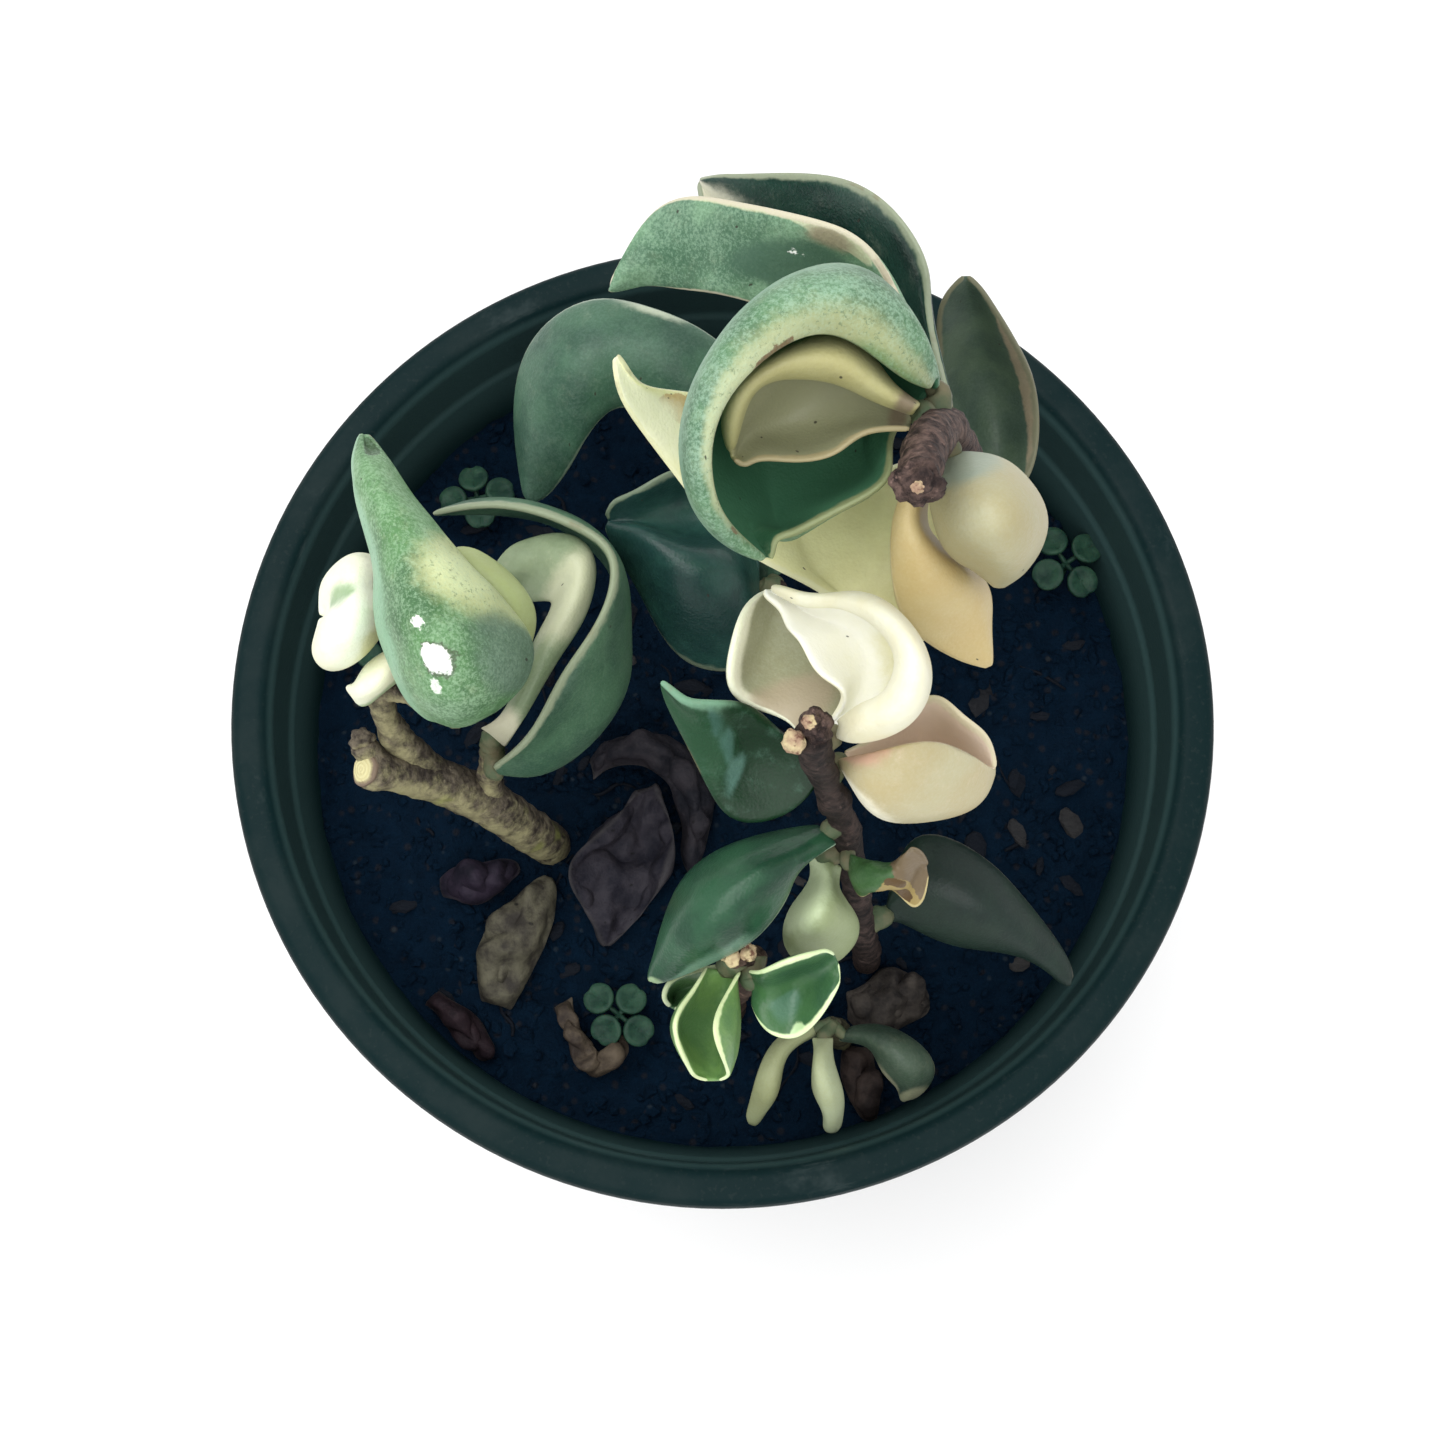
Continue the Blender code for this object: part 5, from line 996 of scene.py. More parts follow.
def soil_ground():
    """A search tree of the packed soil, on which the dry leaves lie."""
    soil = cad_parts["soil"].data
    corners = [vertex.co for vertex in soil.vertices]
    return BVHTree.FromPolygons(corners, [face.vertices for face in soil.polygons])


def spread(values, across_steps, along_steps):
    """A net of values read at more places, straight between the old ones."""
    values = np.asarray(values, float)
    for steps in (across_steps, along_steps):
        old = np.linspace(0.0, 1.0, len(values))
        new = np.linspace(0.0, 1.0, steps + 1)
        values = np.array([np.interp(new, old, column) for column in values.T])
    return values


def round_tip(net, part):
    """Draws this part of a leaf's length in to its middle, so that its tip is round and not cut."""
    share = np.clip((np.linspace(0.0, 1.0, net.shape[1]) - 1.0 + part) / part, 0.0, 1.0)
    narrow = np.sqrt(1.0 - (TIP_DRAWN * share) ** 2)
    middle = net.mean(axis=0, keepdims=True)
    return middle + (net - middle) * narrow[None, :, None]


def soft_spot(middle, reach, words, corners, outer):
    """How strongly a spot shows at each corner of a leaf: 1 in its middle and 0.5 at its reach."""
    away = (corners - middle) / reach
    spot = np.clip(1.5 - (away**2).sum(axis=1), 0.0, 1.0)
    if "outer" in words:
        return spot * outer
    if "inner" in words:
        return spot * (1.0 - outer)
    return spot


def lay_flat(mesh, corners, sizes):
    """Lays a leaf's UV map out in its own length and width, with one unit for every 10 mm."""
    flat = corners * np.array(sizes) / 10.0
    loops = np.empty(len(mesh.loops), int)
    mesh.loops.foreach_get("vertex_index", loops)
    mesh.uv_layers.active.data.foreach_set("uv", flat[loops].ravel())


def faced_outwards(leaf, middle):
    """Turns a leaf's surface over if it faces the leaf's own middle. Returns its normals."""
    normals = normals_of(leaf.data)
    if ((middle - middle.mean(axis=0)) * normals).sum() < 0.0:
        edit_all(leaf, bpy.ops.mesh.flip_normals)
        normals = normals_of(leaf.data)
    return normals


def warped_grid(net, steps):
    """A grid laid onto a net of places. Returns it, its corners' shares, their order and places."""
    along, across = steps
    leaf = primitive("grid", x_subdivisions=along, y_subdivisions=across, size=1.0, calc_uvs=True)
    corners = coordinates(leaf.data)[:, :2] + 0.5
    order = np.rint(corners[:, 1] * across).astype(int) * (along + 1)
    order += np.rint(corners[:, 0] * along).astype(int)
    middle = net.reshape(-1, 3)[order] * MM
    set_coordinates(leaf.data, middle)
    return leaf, corners, order, middle


def leaf_piece(spec, look, ground=None):
    """Models one leaf: a grid warped onto its surface, with a wall, a rounded margin and fine waves."""
    settings = bpy.context.scene.rope_leaves
    along_steps, across_steps = (count * settings.fineness for count in spec.steps)
    coarse = surface(spec, *spec.steps)
    net = surface(spec, along_steps, across_steps)
    net[..., 2] += RIM_HEIGHT
    if ground:
        lift = GAP + 0.5 * spec.thickness - RIM_HEIGHT
        heights = [[ground_height(ground, x, y) + lift for x, y, _z in row] for row in coarse]
        net[..., 2] += spread(heights, across_steps, along_steps)
    net = round_tip(net, look.get("tip_part", TIP_PART))
    leaf, corners, order, middle = warped_grid(net, (along_steps, across_steps))
    room = spread(bend_radius(coarse), across_steps, along_steps).ravel()[order]
    away = edge_distance(net)
    first, last, base, tip = (distance.ravel()[order] for distance in away)
    lay_flat(leaf.data, corners, ((away[3][0, 0] + away[3][-1, 0]) / 2.0, away[0][-1].mean()))
    normals = faced_outwards(leaf, middle)
    thin = look.get("thin", THIN_MARGIN)
    taper = np.minimum(1.0, np.minimum(corners[:, 0], 1.0 - corners[:, 0]) / FULL_AT)
    taper = np.minimum(taper, np.minimum(first, last) / MARGIN_WIDTH)
    space = (2.0 * ROOM * room - thin) / (spec.thickness - thin)
    blade = leaf.vertex_groups.new(name="blade")
    for index, weight in enumerate(np.clip(np.minimum(taper, space), 0.0, 1.0)):
        blade.add([index], float(weight), "REPLACE")
    modify(
        leaf, "SOLIDIFY", thickness=spec.thickness * MM, offset=0.0, vertex_group=blade.name,
        thickness_vertex_group=thin / spec.thickness,
    )
    leaf.vertex_groups.clear()
    mesh = leaf.data
    places = coordinates(mesh)
    middle, normals, corners = (np.tile(rows, (2, 1)) for rows in (middle, normals, corners))
    outer = np.where(((places - middle) * normals).sum(axis=1) > 0.0, 1.0, 0.0)
    paint_leaf(mesh, look, corners, outer, (np.tile(first, 2), np.tile(last, 2)))
    edge = np.tile(np.minimum.reduce([first, last, base, tip]), 2)
    attribute(mesh, "edge", edge)
    waves = look.get("waves", 1.0) * settings.waviness
    swell = rough(places, BROAD_WAVE, SEED, 2) * waves
    swell += rough(places, FINE_WAVE, SEED + 3, 2) * waves * FINE_SHARE
    lift = normals_of(mesh) * (swell * np.clip(edge / 2.0, 0.25, 1.0))[:, None]
    for spot, reach, depth in look.get("dents", []):
        hollow = np.exp(-(((corners - spot) / reach) ** 2).sum(axis=1))
        lift += normals * (depth * MM * hollow)[:, None]
    set_coordinates(mesh, places + lift)
    modify(leaf, "SUBSURF", levels=1, render_levels=1)
    shade_smooth(leaf)
    return leaf


def paint_leaf(mesh, look, corners, outer, edges):
    """Writes where a leaf is cream, where its stains and its painted light and shade lie, which side is its
    outer one, and its pale margins.
    """
    cream = np.zeros(len(corners))
    for middle, reach, *words in look.get("creams", []):
        cream = np.maximum(cream, soft_spot(middle, reach, words, corners, outer))
    attribute(mesh, "cream", cream)
    for index, (middle, reach, _colour, *words) in enumerate(look.get("stains", [])):
        attribute(mesh, f"stain_and_light_{index}", soft_spot(middle, reach, words, corners, outer))
    line = np.zeros(len(corners))
    for width, distance in zip(look.get("line", NO_LINE), edges):
        if width > 0.0:
            line = np.maximum(line, np.clip(1.5 - distance / width, 0.0, 1.0))
    attribute(mesh, "line", line)
    attribute(mesh, "outer", outer)


class Nodes:
    """A short way to add and link the shader nodes of one tree."""

    def __init__(self, tree):
        self.tree = tree

    def fill(self, socket, value):
        """Links a socket to another one or sets its value. A plain colour gets its alpha."""
        if isinstance(value, bpy.types.NodeSocket):
            self.tree.links.new(value, socket)
        elif socket.type == "RGBA":
            socket.default_value = (*value, 1.0)
        else:
            socket.default_value = value

    def add(self, kind, inputs=None, **values):
        """One node, with its own settings and with values or links for its inputs, as its outputs."""
        node = self.tree.nodes.new("ShaderNode" + kind)
        for name, value in values.items():
            setattr(node, name, value)
        for name, value in (inputs or {}).items():
            self.fill(node.inputs[name], value)
        return node.outputs

    def math(self, operation, *values):
        """One sum, as a socket."""
        return self.add("Math", dict(enumerate(values)), operation=operation)[0]

    def plus(self, first, second):
        """Two values added."""
        return self.math("ADD", first, second)

    def times(self, first, second):
        """Two values multiplied."""
        return self.math("MULTIPLY", first, second)

    def times_plus(self, first, second, third):
        """Two values multiplied, and a third one added."""
        return self.math("MULTIPLY_ADD", first, second, third)

    def step(self, value, low, high):
        """0 under low and 1 over high, with a smooth rise between them."""
        inputs = {"Value": value, "From Min": low, "From Max": high}
        return self.add("MapRange", inputs, interpolation_type="SMOOTHSTEP")["Result"]

    def mix(self, factor, first, second, blend="MIX"):
        """Two colours mixed, as a socket."""
        return self.add("Mix", {0: factor, 6: first, 7: second}, data_type="RGBA", blend_type=blend)[2]

    def noise(self, place, scale, detail=3.0, roughness=0.55):
        """Smooth noise from 0 to 1, as a socket."""
        inputs = {"Vector": place, "Scale": scale, "Detail": detail, "Roughness": roughness}
        return self.add("TexNoise", inputs)["Fac"]

    def cells(self, place, scale, dimensions="3D"):
        """The distance from the nearest cell's middle, and the cell's own colour."""
        cell = self.add("TexVoronoi", {"Vector": place, "Scale": scale}, voronoi_dimensions=dimensions)
        return cell["Distance"], cell["Color"]

    def read(self, name):
        """A number that the mesh holds under this name."""
        return self.add("Attribute", attribute_name=name)["Fac"]

    def place(self, stretch=None):
        """The place on the piece, stretched along the axes for a pattern that runs one way."""
        place = self.add("TexCoord")["Object"]
        return self.add("Mapping", {"Vector": place, "Scale": stretch})["Vector"] if stretch else place

    def group(self, name, **inputs):
        """One of the shared node groups, placed in this tree, as its outputs."""
        return self.add("Group", inputs, node_tree=shared_group(name))

    def finish(self, colour, gloss, height, strength=0.4, distance=0.0004, specular=0.15, more=None):
        """Fills the Principled shader with a colour, a roughness and a relief to bump it."""
        bump = self.add("Bump", {"Height": height, "Strength": strength, "Distance": distance})
        inputs = {
            "Base Color": colour, "Roughness": gloss, "Specular IOR Level": specular,
            "Normal": bump["Normal"], **(more or {}),
        }
        for name, value in inputs.items():
            self.fill(self.tree.nodes["Principled BSDF"].inputs[name], value)


def shared_group(name):
    """The node group of that name, which is made when it isn't there yet."""
    if name in bpy.data.node_groups:
        return bpy.data.node_groups[name]
    maker, inputs = NODE_GROUPS[name]
    tree = bpy.data.node_groups.new(name, "ShaderNodeTree")
    tree.interface.new_socket("Vector", in_out="INPUT", socket_type="NodeSocketVector")
    for label, value in inputs.items():
        socket = tree.interface.new_socket(label, in_out="INPUT", socket_type="NodeSocketFloat")
        socket.default_value = value
    made = maker(Nodes(tree), tree.nodes.new("NodeGroupInput").outputs)
    for label in made:
        tree.interface.new_socket(label, in_out="OUTPUT", socket_type="NodeSocketFloat")
    out = tree.nodes.new("NodeGroupOutput")
    for label, socket in made.items():
        tree.links.new(socket, out.inputs[label])
    return tree


def frost_nodes(build, given):
    """White specks of wax on a leaf's skin, thicker in some patches than in others."""
    specks = build.noise(given["Vector"], 2600.0, 2.0, 0.8)
    patches = build.noise(given["Vector"], 150.0, 3.0, 0.6)
    grains = build.step(build.plus(specks, build.times(patches, 0.35)), 0.56, 0.86)
    haze = build.step(patches, 0.35, 0.75)
    mask = build.plus(build.times(grains, 0.70), build.times(haze, 0.25))
    return {"Mask": build.times(mask, given["Amount"]), "Height": specks}


def skin_nodes(build, given):
    """The fine relief of a fleshy skin: shallow dimples and a faint grain."""
    place = given["Vector"]
    grain = build.times(build.cells(place, 2600.0)[0], given["Grain"])
    dimples = build.noise(place, 420.0, 3.0, 0.5)
    return {"Height": build.plus(dimples, grain), "Blotch": build.noise(place, 110.0, 4.0, 0.6)}


def spot_nodes(build, given):
    """Sparse round dots, such as pricks and small scars."""
    distance, colour = build.cells(given["Vector"], given["Scale"], "2D")
    chosen = build.math("LESS_THAN", build.add("SeparateColor", {"Color": colour})["Red"], given["Share"])
    dot = build.step(build.math("DIVIDE", distance, given["Size"]), 1.0, 0.5)
    return {"Mask": build.times(dot, chosen)}


def dust_nodes(build, given):
    """Fine pale dust and crumbs that gather on faces which look up."""
    up = build.add("SeparateXYZ", {"Vector": build.add("NewGeometry")["Normal"]})["Z"]
    patches = build.step(build.noise(given["Vector"], 90.0, 5.0, 0.65), 0.42, 0.72)
    specks = build.step(build.noise(given["Vector"], 1400.0, 2.0, 0.6), 0.56, 0.70)
    mask = build.times(build.step(up, 0.1, 0.9), build.math("MAXIMUM", patches, specks))
    return {"Mask": build.times(mask, given["Amount"])}


NODE_GROUPS = {
    "Leaf Frost": (frost_nodes, {"Amount": 0.5}),
    "Skin Relief": (skin_nodes, {"Grain": 0.3}),
    "Spots": (spot_nodes, {"Scale": 100.0, "Size": 0.05, "Share": 0.4}),
    "Dust": (dust_nodes, {"Amount": 0.5}),
}


def material(name, maker, *settings):
    """The material of that name. Its maker lays out its nodes when it isn't there yet."""
    if name not in bpy.data.materials:
        made = bpy.data.materials.new(name)
        made.use_nodes = True
        build = Nodes(made.node_tree)
        maker(build, build.place(), *settings)
    return bpy.data.materials[name]


def side_colours(build, place, skin, blotch, cream):
    """The colour of one side of a leaf: its greens, and its cream where the mask says so."""
    green, deep, pale, warm, share, frost, _rough, _clear = SKINS[skin]
    greens = build.mix(build.step(blotch, 0.38, 0.62), deep, green)
    creams = build.mix(build.step(blotch, 0.30, 0.75), warm, pale)
    wander = build.times_plus(build.noise(place, 330.0, 4.0, 0.65), 0.7, -0.35 + share)
    mask = build.step(build.plus(cream, wander), 0.40, 0.66)
    wax = build.group("Leaf Frost", Vector=place, Amount=frost)
    chalk = build.mix(mask, (0.48, 0.64, 0.50), (0.84, 0.86, 0.70))
    return build.mix(wax["Mask"], build.mix(mask, greens, creams), chalk), wax["Height"]


def lay_stains_and_light(build, place, colour, stains):
    """Lays a leaf's stains, painted light and painted shade over its colour, each with soft or ragged edges.
    """
    ragged_edge = build.times_plus(build.noise(place, 900.0, 4.0, 0.65), 1.1, -0.55)
    soft_edge = build.times_plus(build.noise(place, 420.0, 5.0, 0.75), 1.0, -0.50)
    for index, (_middle, _reach, tone, *words) in enumerate(stains):
        spot = build.read(f"stain_and_light_{index}")
        if "ragged" in words:
            mask = build.step(build.plus(spot, ragged_edge), 0.46, 0.58)
        else:
            mask = build.times(build.step(build.plus(spot, soft_edge), 0.0, 1.0), 0.92)
        colour = build.mix(mask, colour, tone)
    return colour


def waxed(build, place, colour, amount, outer):
    """Lays wax and dark pores over the outer side of a leaf, stains and all."""
    wax = build.group("Leaf Frost", Vector=place, Amount=amount)["Mask"]
    colour = build.mix(build.times(wax, build.step(outer, 0.25, 0.75)), colour, (0.40, 0.58, 0.44))
    pores = build.step(build.noise(place, 1500.0, 4.0, 0.8), 0.46, 0.32)
    return build.mix(build.times(pores, build.step(outer, 0.25, 1.6)), colour, (0.060, 0.125, 0.062))


def leaf_skin(build, place, look):
    """The finish of one leaf: its two skins, stains with painted light and shade among them, pale margin,
    pricks and fleshy relief.
    """
    outer_skin, _slash, inner_skin = look["skins"].partition("/")
    relief = build.group("Skin Relief", Vector=place, Grain=0.25)
    blotch = relief["Blotch"]
    outer = build.read("outer")
    cream = build.read("cream")
    colour, grain = side_colours(build, place, outer_skin, blotch, cream)
    if inner_skin:
        inner, _grain = side_colours(build, place, inner_skin, blotch, cream)
        colour = build.mix(build.step(outer, 0.25, 0.75), inner, colour)
    colour = build.mix(1.0, colour, look["tint"], "MULTIPLY")
    colour = lay_stains_and_light(build, place, colour, look.get("stains", []))
    if "frost_over" in look:
        colour = waxed(build, place, colour, look["frost_over"], outer)
    ragged = build.plus(build.read("line"), build.times_plus(build.noise(place, 500.0), 0.8, -0.4))
    colour = build.mix(build.step(ragged, 0.42, 0.82), colour, look.get("line", NO_LINE)[2])
    rim = build.times(build.step(build.read("edge"), 0.20, 0.02), build.step(blotch, 0.58, 0.66))
    colour = build.mix(build.times(rim, 0.35), colour, (0.190, 0.125, 0.060))
    flat = build.add("TexCoord")["UV"]
    dots = build.group("Spots", Vector=flat, Scale=2.6, Size=0.055, Share=look.get("pricks", 0.07))
    colour = build.mix(build.times(dots["Mask"], 0.85), colour, (0.030, 0.022, 0.016))
    roughness, clear = SKINS[outer_skin][6:]
    gloss = build.times_plus(blotch, 0.16, roughness - 0.08)
    height = build.plus(relief["Height"], build.times(grain, 0.35))
    build.finish(colour, gloss, height, 0.30, 0.0004, 0.30, {
        "Subsurface Weight": 0.12, "Subsurface Radius": (0.9, 0.9, 0.6), "Subsurface Scale": 0.0012,
        "Coat Weight": clear, "Coat Roughness": 0.25,
    })


def pot_plastic(build, place):
    """Satin blow-moulded plastic, dark green-blue, with faint rings of the mould, scuffs, dust and painted
    light on the inner wall above the soil.
    """
    cloud = build.noise(place, 30.0, 4.0, 0.55)
    rings = build.noise(build.place((4.0, 4.0, 900.0)), 1.0, 2.0, 0.5)
    scuffs = build.step(build.noise(build.place((60.0, 60.0, 700.0)), 1.0, 5.0, 0.7), 0.60, 0.74)
    tone = build.mix(cloud, bpy.context.scene.rope_pot.colour, (0.0045, 0.0170, 0.0190))
    spot = build.add("SeparateXYZ", {"Vector": place})
    square = build.plus(build.math("POWER", spot["X"], 2.0), build.math("POWER", spot["Y"], 2.0))
    wall = build.math("SQRT", square)
    inside = build.step(wall, (WALL_TOP_RADIUS - 0.9) * MM, (WALL_TOP_RADIUS - 1.6) * MM)
    # Painted light: the inner wall, from just under the soil's top up to the rim, is lightened where it lies
    # in shade.
    painted_light_band = build.step(spot["Z"], (SOIL_TOP - 2.0) * MM, (SOIL_TOP + 8.0) * MM)
    tone = build.mix(build.times(build.times(inside, painted_light_band), 0.9), tone, (0.032, 0.066, 0.066))
    tone = build.mix(build.times(scuffs, 0.16), tone, (0.11, 0.14, 0.14))
    dust = build.group("Dust", Vector=place, Amount=0.05)["Mask"]
    tone = build.mix(dust, tone, (0.12, 0.13, 0.12))
    gloss = build.times_plus(scuffs, 0.12, build.times_plus(cloud, 0.12, 0.38))
    height = build.plus(build.noise(place, 1800.0, 2.0, 0.5), build.times(rings, 0.5))
    build.finish(tone, gloss, height, 0.22, 0.0002, 0.06)


def potting_soil(build, place):
    """Damp peat and composted bark, near black and a little blue, with brown and grey crumbs. Its blue black
    is partly its own tone and partly painted shade of the pot's hollow.
    """
    clods = build.noise(place, 420.0, 5.0, 0.7)
    fine = build.noise(place, 1900.0, 4.0, 0.7)
    distance, cell = build.cells(place, 750.0)
    lot = build.add("SeparateColor", {"Color": cell})
    # Painted shade: the near-black blue of the soil also stands for the shade down in the pot.
    tone = build.mix(clods, (0.0006, 0.0040, 0.0110), bpy.context.scene.rope_soil.colour)
    brown = build.times(build.step(lot["Red"], 0.80, 0.86), build.step(distance, 0.55, 0.2))
    tone = build.mix(build.times(brown, 0.5), tone, (0.022, 0.020, 0.021))
    grey = build.times(build.step(lot["Green"], 0.93, 0.97), build.step(distance, 0.4, 0.1))
    tone = build.mix(build.times(grey, 0.35), tone, (0.05, 0.065, 0.075))
    height = build.plus(clods, build.times(fine, 0.6))
    build.finish(tone, build.times_plus(fine, 0.25, 0.62), height, 0.8, 0.0012, 0.08)


def bark_chip(build, place):
    """Bark chips, fibres and bits of old wood, dark brown to grey, each of its own tone."""
    lines = build.noise(build.place((1.0, 3.0, 4.0)), 500.0, 5.0, 0.7)
    dark = build.mix(lines, (0.0015, 0.0050, 0.0110), (0.012, 0.014, 0.020))
    pale = build.mix(lines, (0.018, 0.018, 0.020), (0.060, 0.058, 0.056))
    colour = build.mix(build.step(build.read("tone"), 0.80, 1.05), dark, pale)
    height = build.plus(lines, build.times(build.noise(place, 1500.0), 0.4))
    build.finish(colour, 0.72, height, 0.7, 0.0008)


def stem_bark(build, place, dark, pale, crust):
    """The thin wrinkled bark of one stem, in its own tones, with a pale crust where it has one."""
    run = build.noise(build.place((1.4, 1.4, 2.4)), 420.0, 5.0, 0.7)
    cloud = build.noise(place, 130.0, 3.0, 0.6)
    colour = build.mix(build.step(run, 0.34, 0.68), dark, pale)
    colour = build.mix(build.times(build.step(cloud, 0.42, 0.66), 0.6), colour, dark)
    flecks = build.times(build.step(build.noise(place, 900.0, 4.0, 0.7), 0.60, 0.72), 0.45)
    colour = build.mix(flecks, colour, [min(1.0, 2.2 * value) for value in pale])
    if crust > 0.0:
        facing = build.add("SeparateXYZ", {"Vector": build.add("TexCoord")["Normal"]})["Y"]
        ragged = build.plus(build.noise(place, 330.0, 5.0, 0.7), build.times(facing, -0.22))
        mask = build.times(build.step(ragged, 0.50, 0.82), 0.80 * crust)
        colour = build.mix(mask, colour, (0.40, 0.37, 0.20))
        moss = build.step(build.noise(place, 150.0, 3.0, 0.6), 0.58, 0.70)
        colour = build.mix(build.times(moss, 0.6 * crust), colour, (0.26, 0.28, 0.08))
    cracks, _cell = build.cells(build.place((1.5, 1.5, 1.0)), 700.0)
    height = build.plus(run, build.times(cracks, 0.5))
    build.finish(colour, build.times_plus(run, 0.2, 0.55), height, 0.6, 0.0008)


def bud_nub(build, place):
    """The soft scaly nub of a resting bud: tan and cream, browned in its folds."""
    folds = build.noise(place, 900.0, 4.0, 0.65)
    cloud = build.noise(place, 380.0, 3.0, 0.6)
    colour = build.mix(build.step(cloud, 0.36, 0.62), (0.38, 0.25, 0.17), (0.62, 0.52, 0.30))
    colour = build.mix(build.step(folds, 0.48, 0.34), colour, (0.16, 0.08, 0.055))
    build.finish(colour, 0.55, folds, 0.6, 0.0005)


def cut_wood(build, place):
    """A healed cut: pale yellowish wood with rings, browned towards its rim."""
    ring = build.read("ring")
    wander = build.noise(place, 700.0, 4.0, 0.6)
    waves = build.math("SINE", build.times_plus(wander, 4.0, build.times(ring, 26.0)))
    colour = build.mix(build.step(waves, -1.4, 1.4), (0.63, 0.57, 0.30), (0.70, 0.65, 0.36))
    colour = build.mix(build.step(wander, 0.56, 0.70), colour, (0.34, 0.25, 0.13))
    rim = build.step(build.times_plus(wander, 0.3, ring), 0.80, 1.06)
    colour = build.mix(rim, colour, (0.20, 0.15, 0.11))
    build.finish(colour, 0.62, build.plus(waves, wander), 0.35, 0.0003)


def leaf_stalk(build, place):
    """The short stalks under the leaves: dull green turning brown."""
    blotch = build.step(build.noise(place, 300.0, 4.0, 0.6), 0.35, 0.7)
    colour = build.mix(blotch, (0.075, 0.110, 0.060), (0.170, 0.150, 0.090))
    build.finish(colour, 0.5, build.noise(place, 1300.0), 0.3)


def seedling_leaf(build, place):
    """The seedlings' soft matt green."""
    blotch = build.step(build.noise(place, 400.0, 4.0, 0.6), 0.3, 0.7)
    colour = build.mix(blotch, (0.010, 0.034, 0.024), (0.028, 0.075, 0.046))
    more = {"Subsurface Weight": 0.1, "Subsurface Scale": 0.001}
    build.finish(colour, 0.48, build.noise(place, 1600.0), 0.3, more=more)


def dry_paper(build, place, pale, dark):
    """A dead leaf: papery, mottled between two tones, with veins, dots of rot and a painted highlight along
    its edge.
    """
    blotch = build.noise(place, 230.0, 5.0, 0.65)
    veins, _cell = build.cells(place, 420.0)
    colour = build.mix(build.step(blotch, 0.35, 0.65), dark, pale)
    # Painted highlight: the leaf's edge is lightened.
    edge_highlight = build.times(build.step(build.read("edge"), 0.9, 0.1), 0.18)
    colour = build.mix(edge_highlight, colour, (0.10, 0.095, 0.085))
    flat = build.add("TexCoord")["UV"]
    specks = build.group("Spots", Vector=flat, Scale=5.0, Size=0.14, Share=0.3)["Mask"]
    colour = build.mix(build.times(specks, 0.7), colour, (0.010, 0.010, 0.011))
    build.finish(colour, 0.68, build.plus(blotch, build.times(veins, 0.5)), 0.7, 0.0009)


def studio_floor(build, place):
    """A plain pale studio floor, very slightly uneven."""
    cloud = build.noise(place, 3.0, 2.0, 0.5)
    tone = bpy.context.scene.rope_stage.floor
    build.finish(build.mix(cloud, [value * 0.985 for value in tone], tone), 0.9, cloud, 0.02, 0.0002)


def end_finish(kind):
    """The finish of a stem's end: a healed cut, a bud's scales, or the bark of the stem it names."""
    if kind == "cut":
        return material("cut_wood", cut_wood)
    if kind == "nub":
        return material("bud_nub", bud_nub)
    return material(kind + "_bark", stem_bark, *BARKS[kind])


def weld():
    """Joins the corners of a mesh that lie on one another."""
    bpy.ops.mesh.remove_doubles(threshold=WELD)


def rod_piece(name, route, steps, sides):
    """A stem as a mesh: a bevelled curve through the route's places, as thick as each one says."""
    curve = bpy.data.curves.new(name, "CURVE")
    curve.dimensions = "3D"
    curve.bevel_depth = MM
    curve.bevel_resolution = sides
    curve.use_fill_caps = True
    spline = curve.splines.new("POLY")
    smooth = smooth_route(route, steps)
    spline.points.add(len(smooth) - 1)
    for point, (x, y, height, radius) in zip(spline.points, smooth):
        point.co = (x * MM, y * MM, (height + RIM_HEIGHT) * MM, 1.0)
        point.radius = radius
    pick(new_object(name, curve))
    bpy.ops.object.convert(target="MESH")
    rod = bpy.context.object
    edit_all(rod, weld, bpy.ops.mesh.normals_make_consistent)
    shade_smooth(rod)
    return rod


def stem_piece(name):
    """One stem with its side shoots: bark that swells at its nodes and is lined along its length."""
    rods = [rod_piece(name, route, STEM_STEPS, STEM_SIDES) for route in STEMS[name]]
    axis = stem_axis(name)[:, :3] + RIM_LIFT
    along = np.concatenate([[0.0], np.cumsum(lengths(np.diff(axis, axis=0)))])
    for rod in rods:
        mesh = rod.data
        places = coordinates(mesh)
        far = np.array([along[lengths(axis - place / MM).argmin()] for place in places])
        rows = far[:, None] * (0.0, 0.0, MM)
        rings = np.clip(rough(rows, 0.0016, SEED + 5, 2) + 0.6 * rough(places, 0.002, SEED + 7, 2), -0.6, 1.0)
        swellings = np.clip(2.2 * rough(places, 0.006, SEED + 8, 1) - 0.25, 0.0, 1.0)
        cracks = -np.abs(rough(places, 0.0011, SEED + 6, 3))
        relief = (0.26 * rings + 0.45 * swellings + 0.34 * cracks + 0.05) * MM
        set_coordinates(mesh, places + normals_of(mesh) * relief[:, None])
    return joined(rods)


def stem_end(kind, place, toward, radius, lumpy):
    """One end of a stem: a flattened, lumpy ball that faces the way it is told."""
    end = primitive("uv_sphere", segments=32, ring_count=18, radius=1.0)
    places = coordinates(end.data)
    bumps = 1.0 + lumpy * rough(places, 0.7, SEED + place[0], 3)
    turn = UP.rotation_difference(Vector(toward)).to_matrix()
    height = CUT_HEIGHT if kind == "cut" else KNOB_HEIGHT
    flat = places * (radius, radius, height * radius) * bumps[:, None]
    attribute(end.data, "ring", np.hypot(places[:, 0], places[:, 1]))
    set_coordinates(end.data, (flat @ np.array(turn).T + place + RIM_LIFT) * MM)
    shade_smooth(end)
    return end


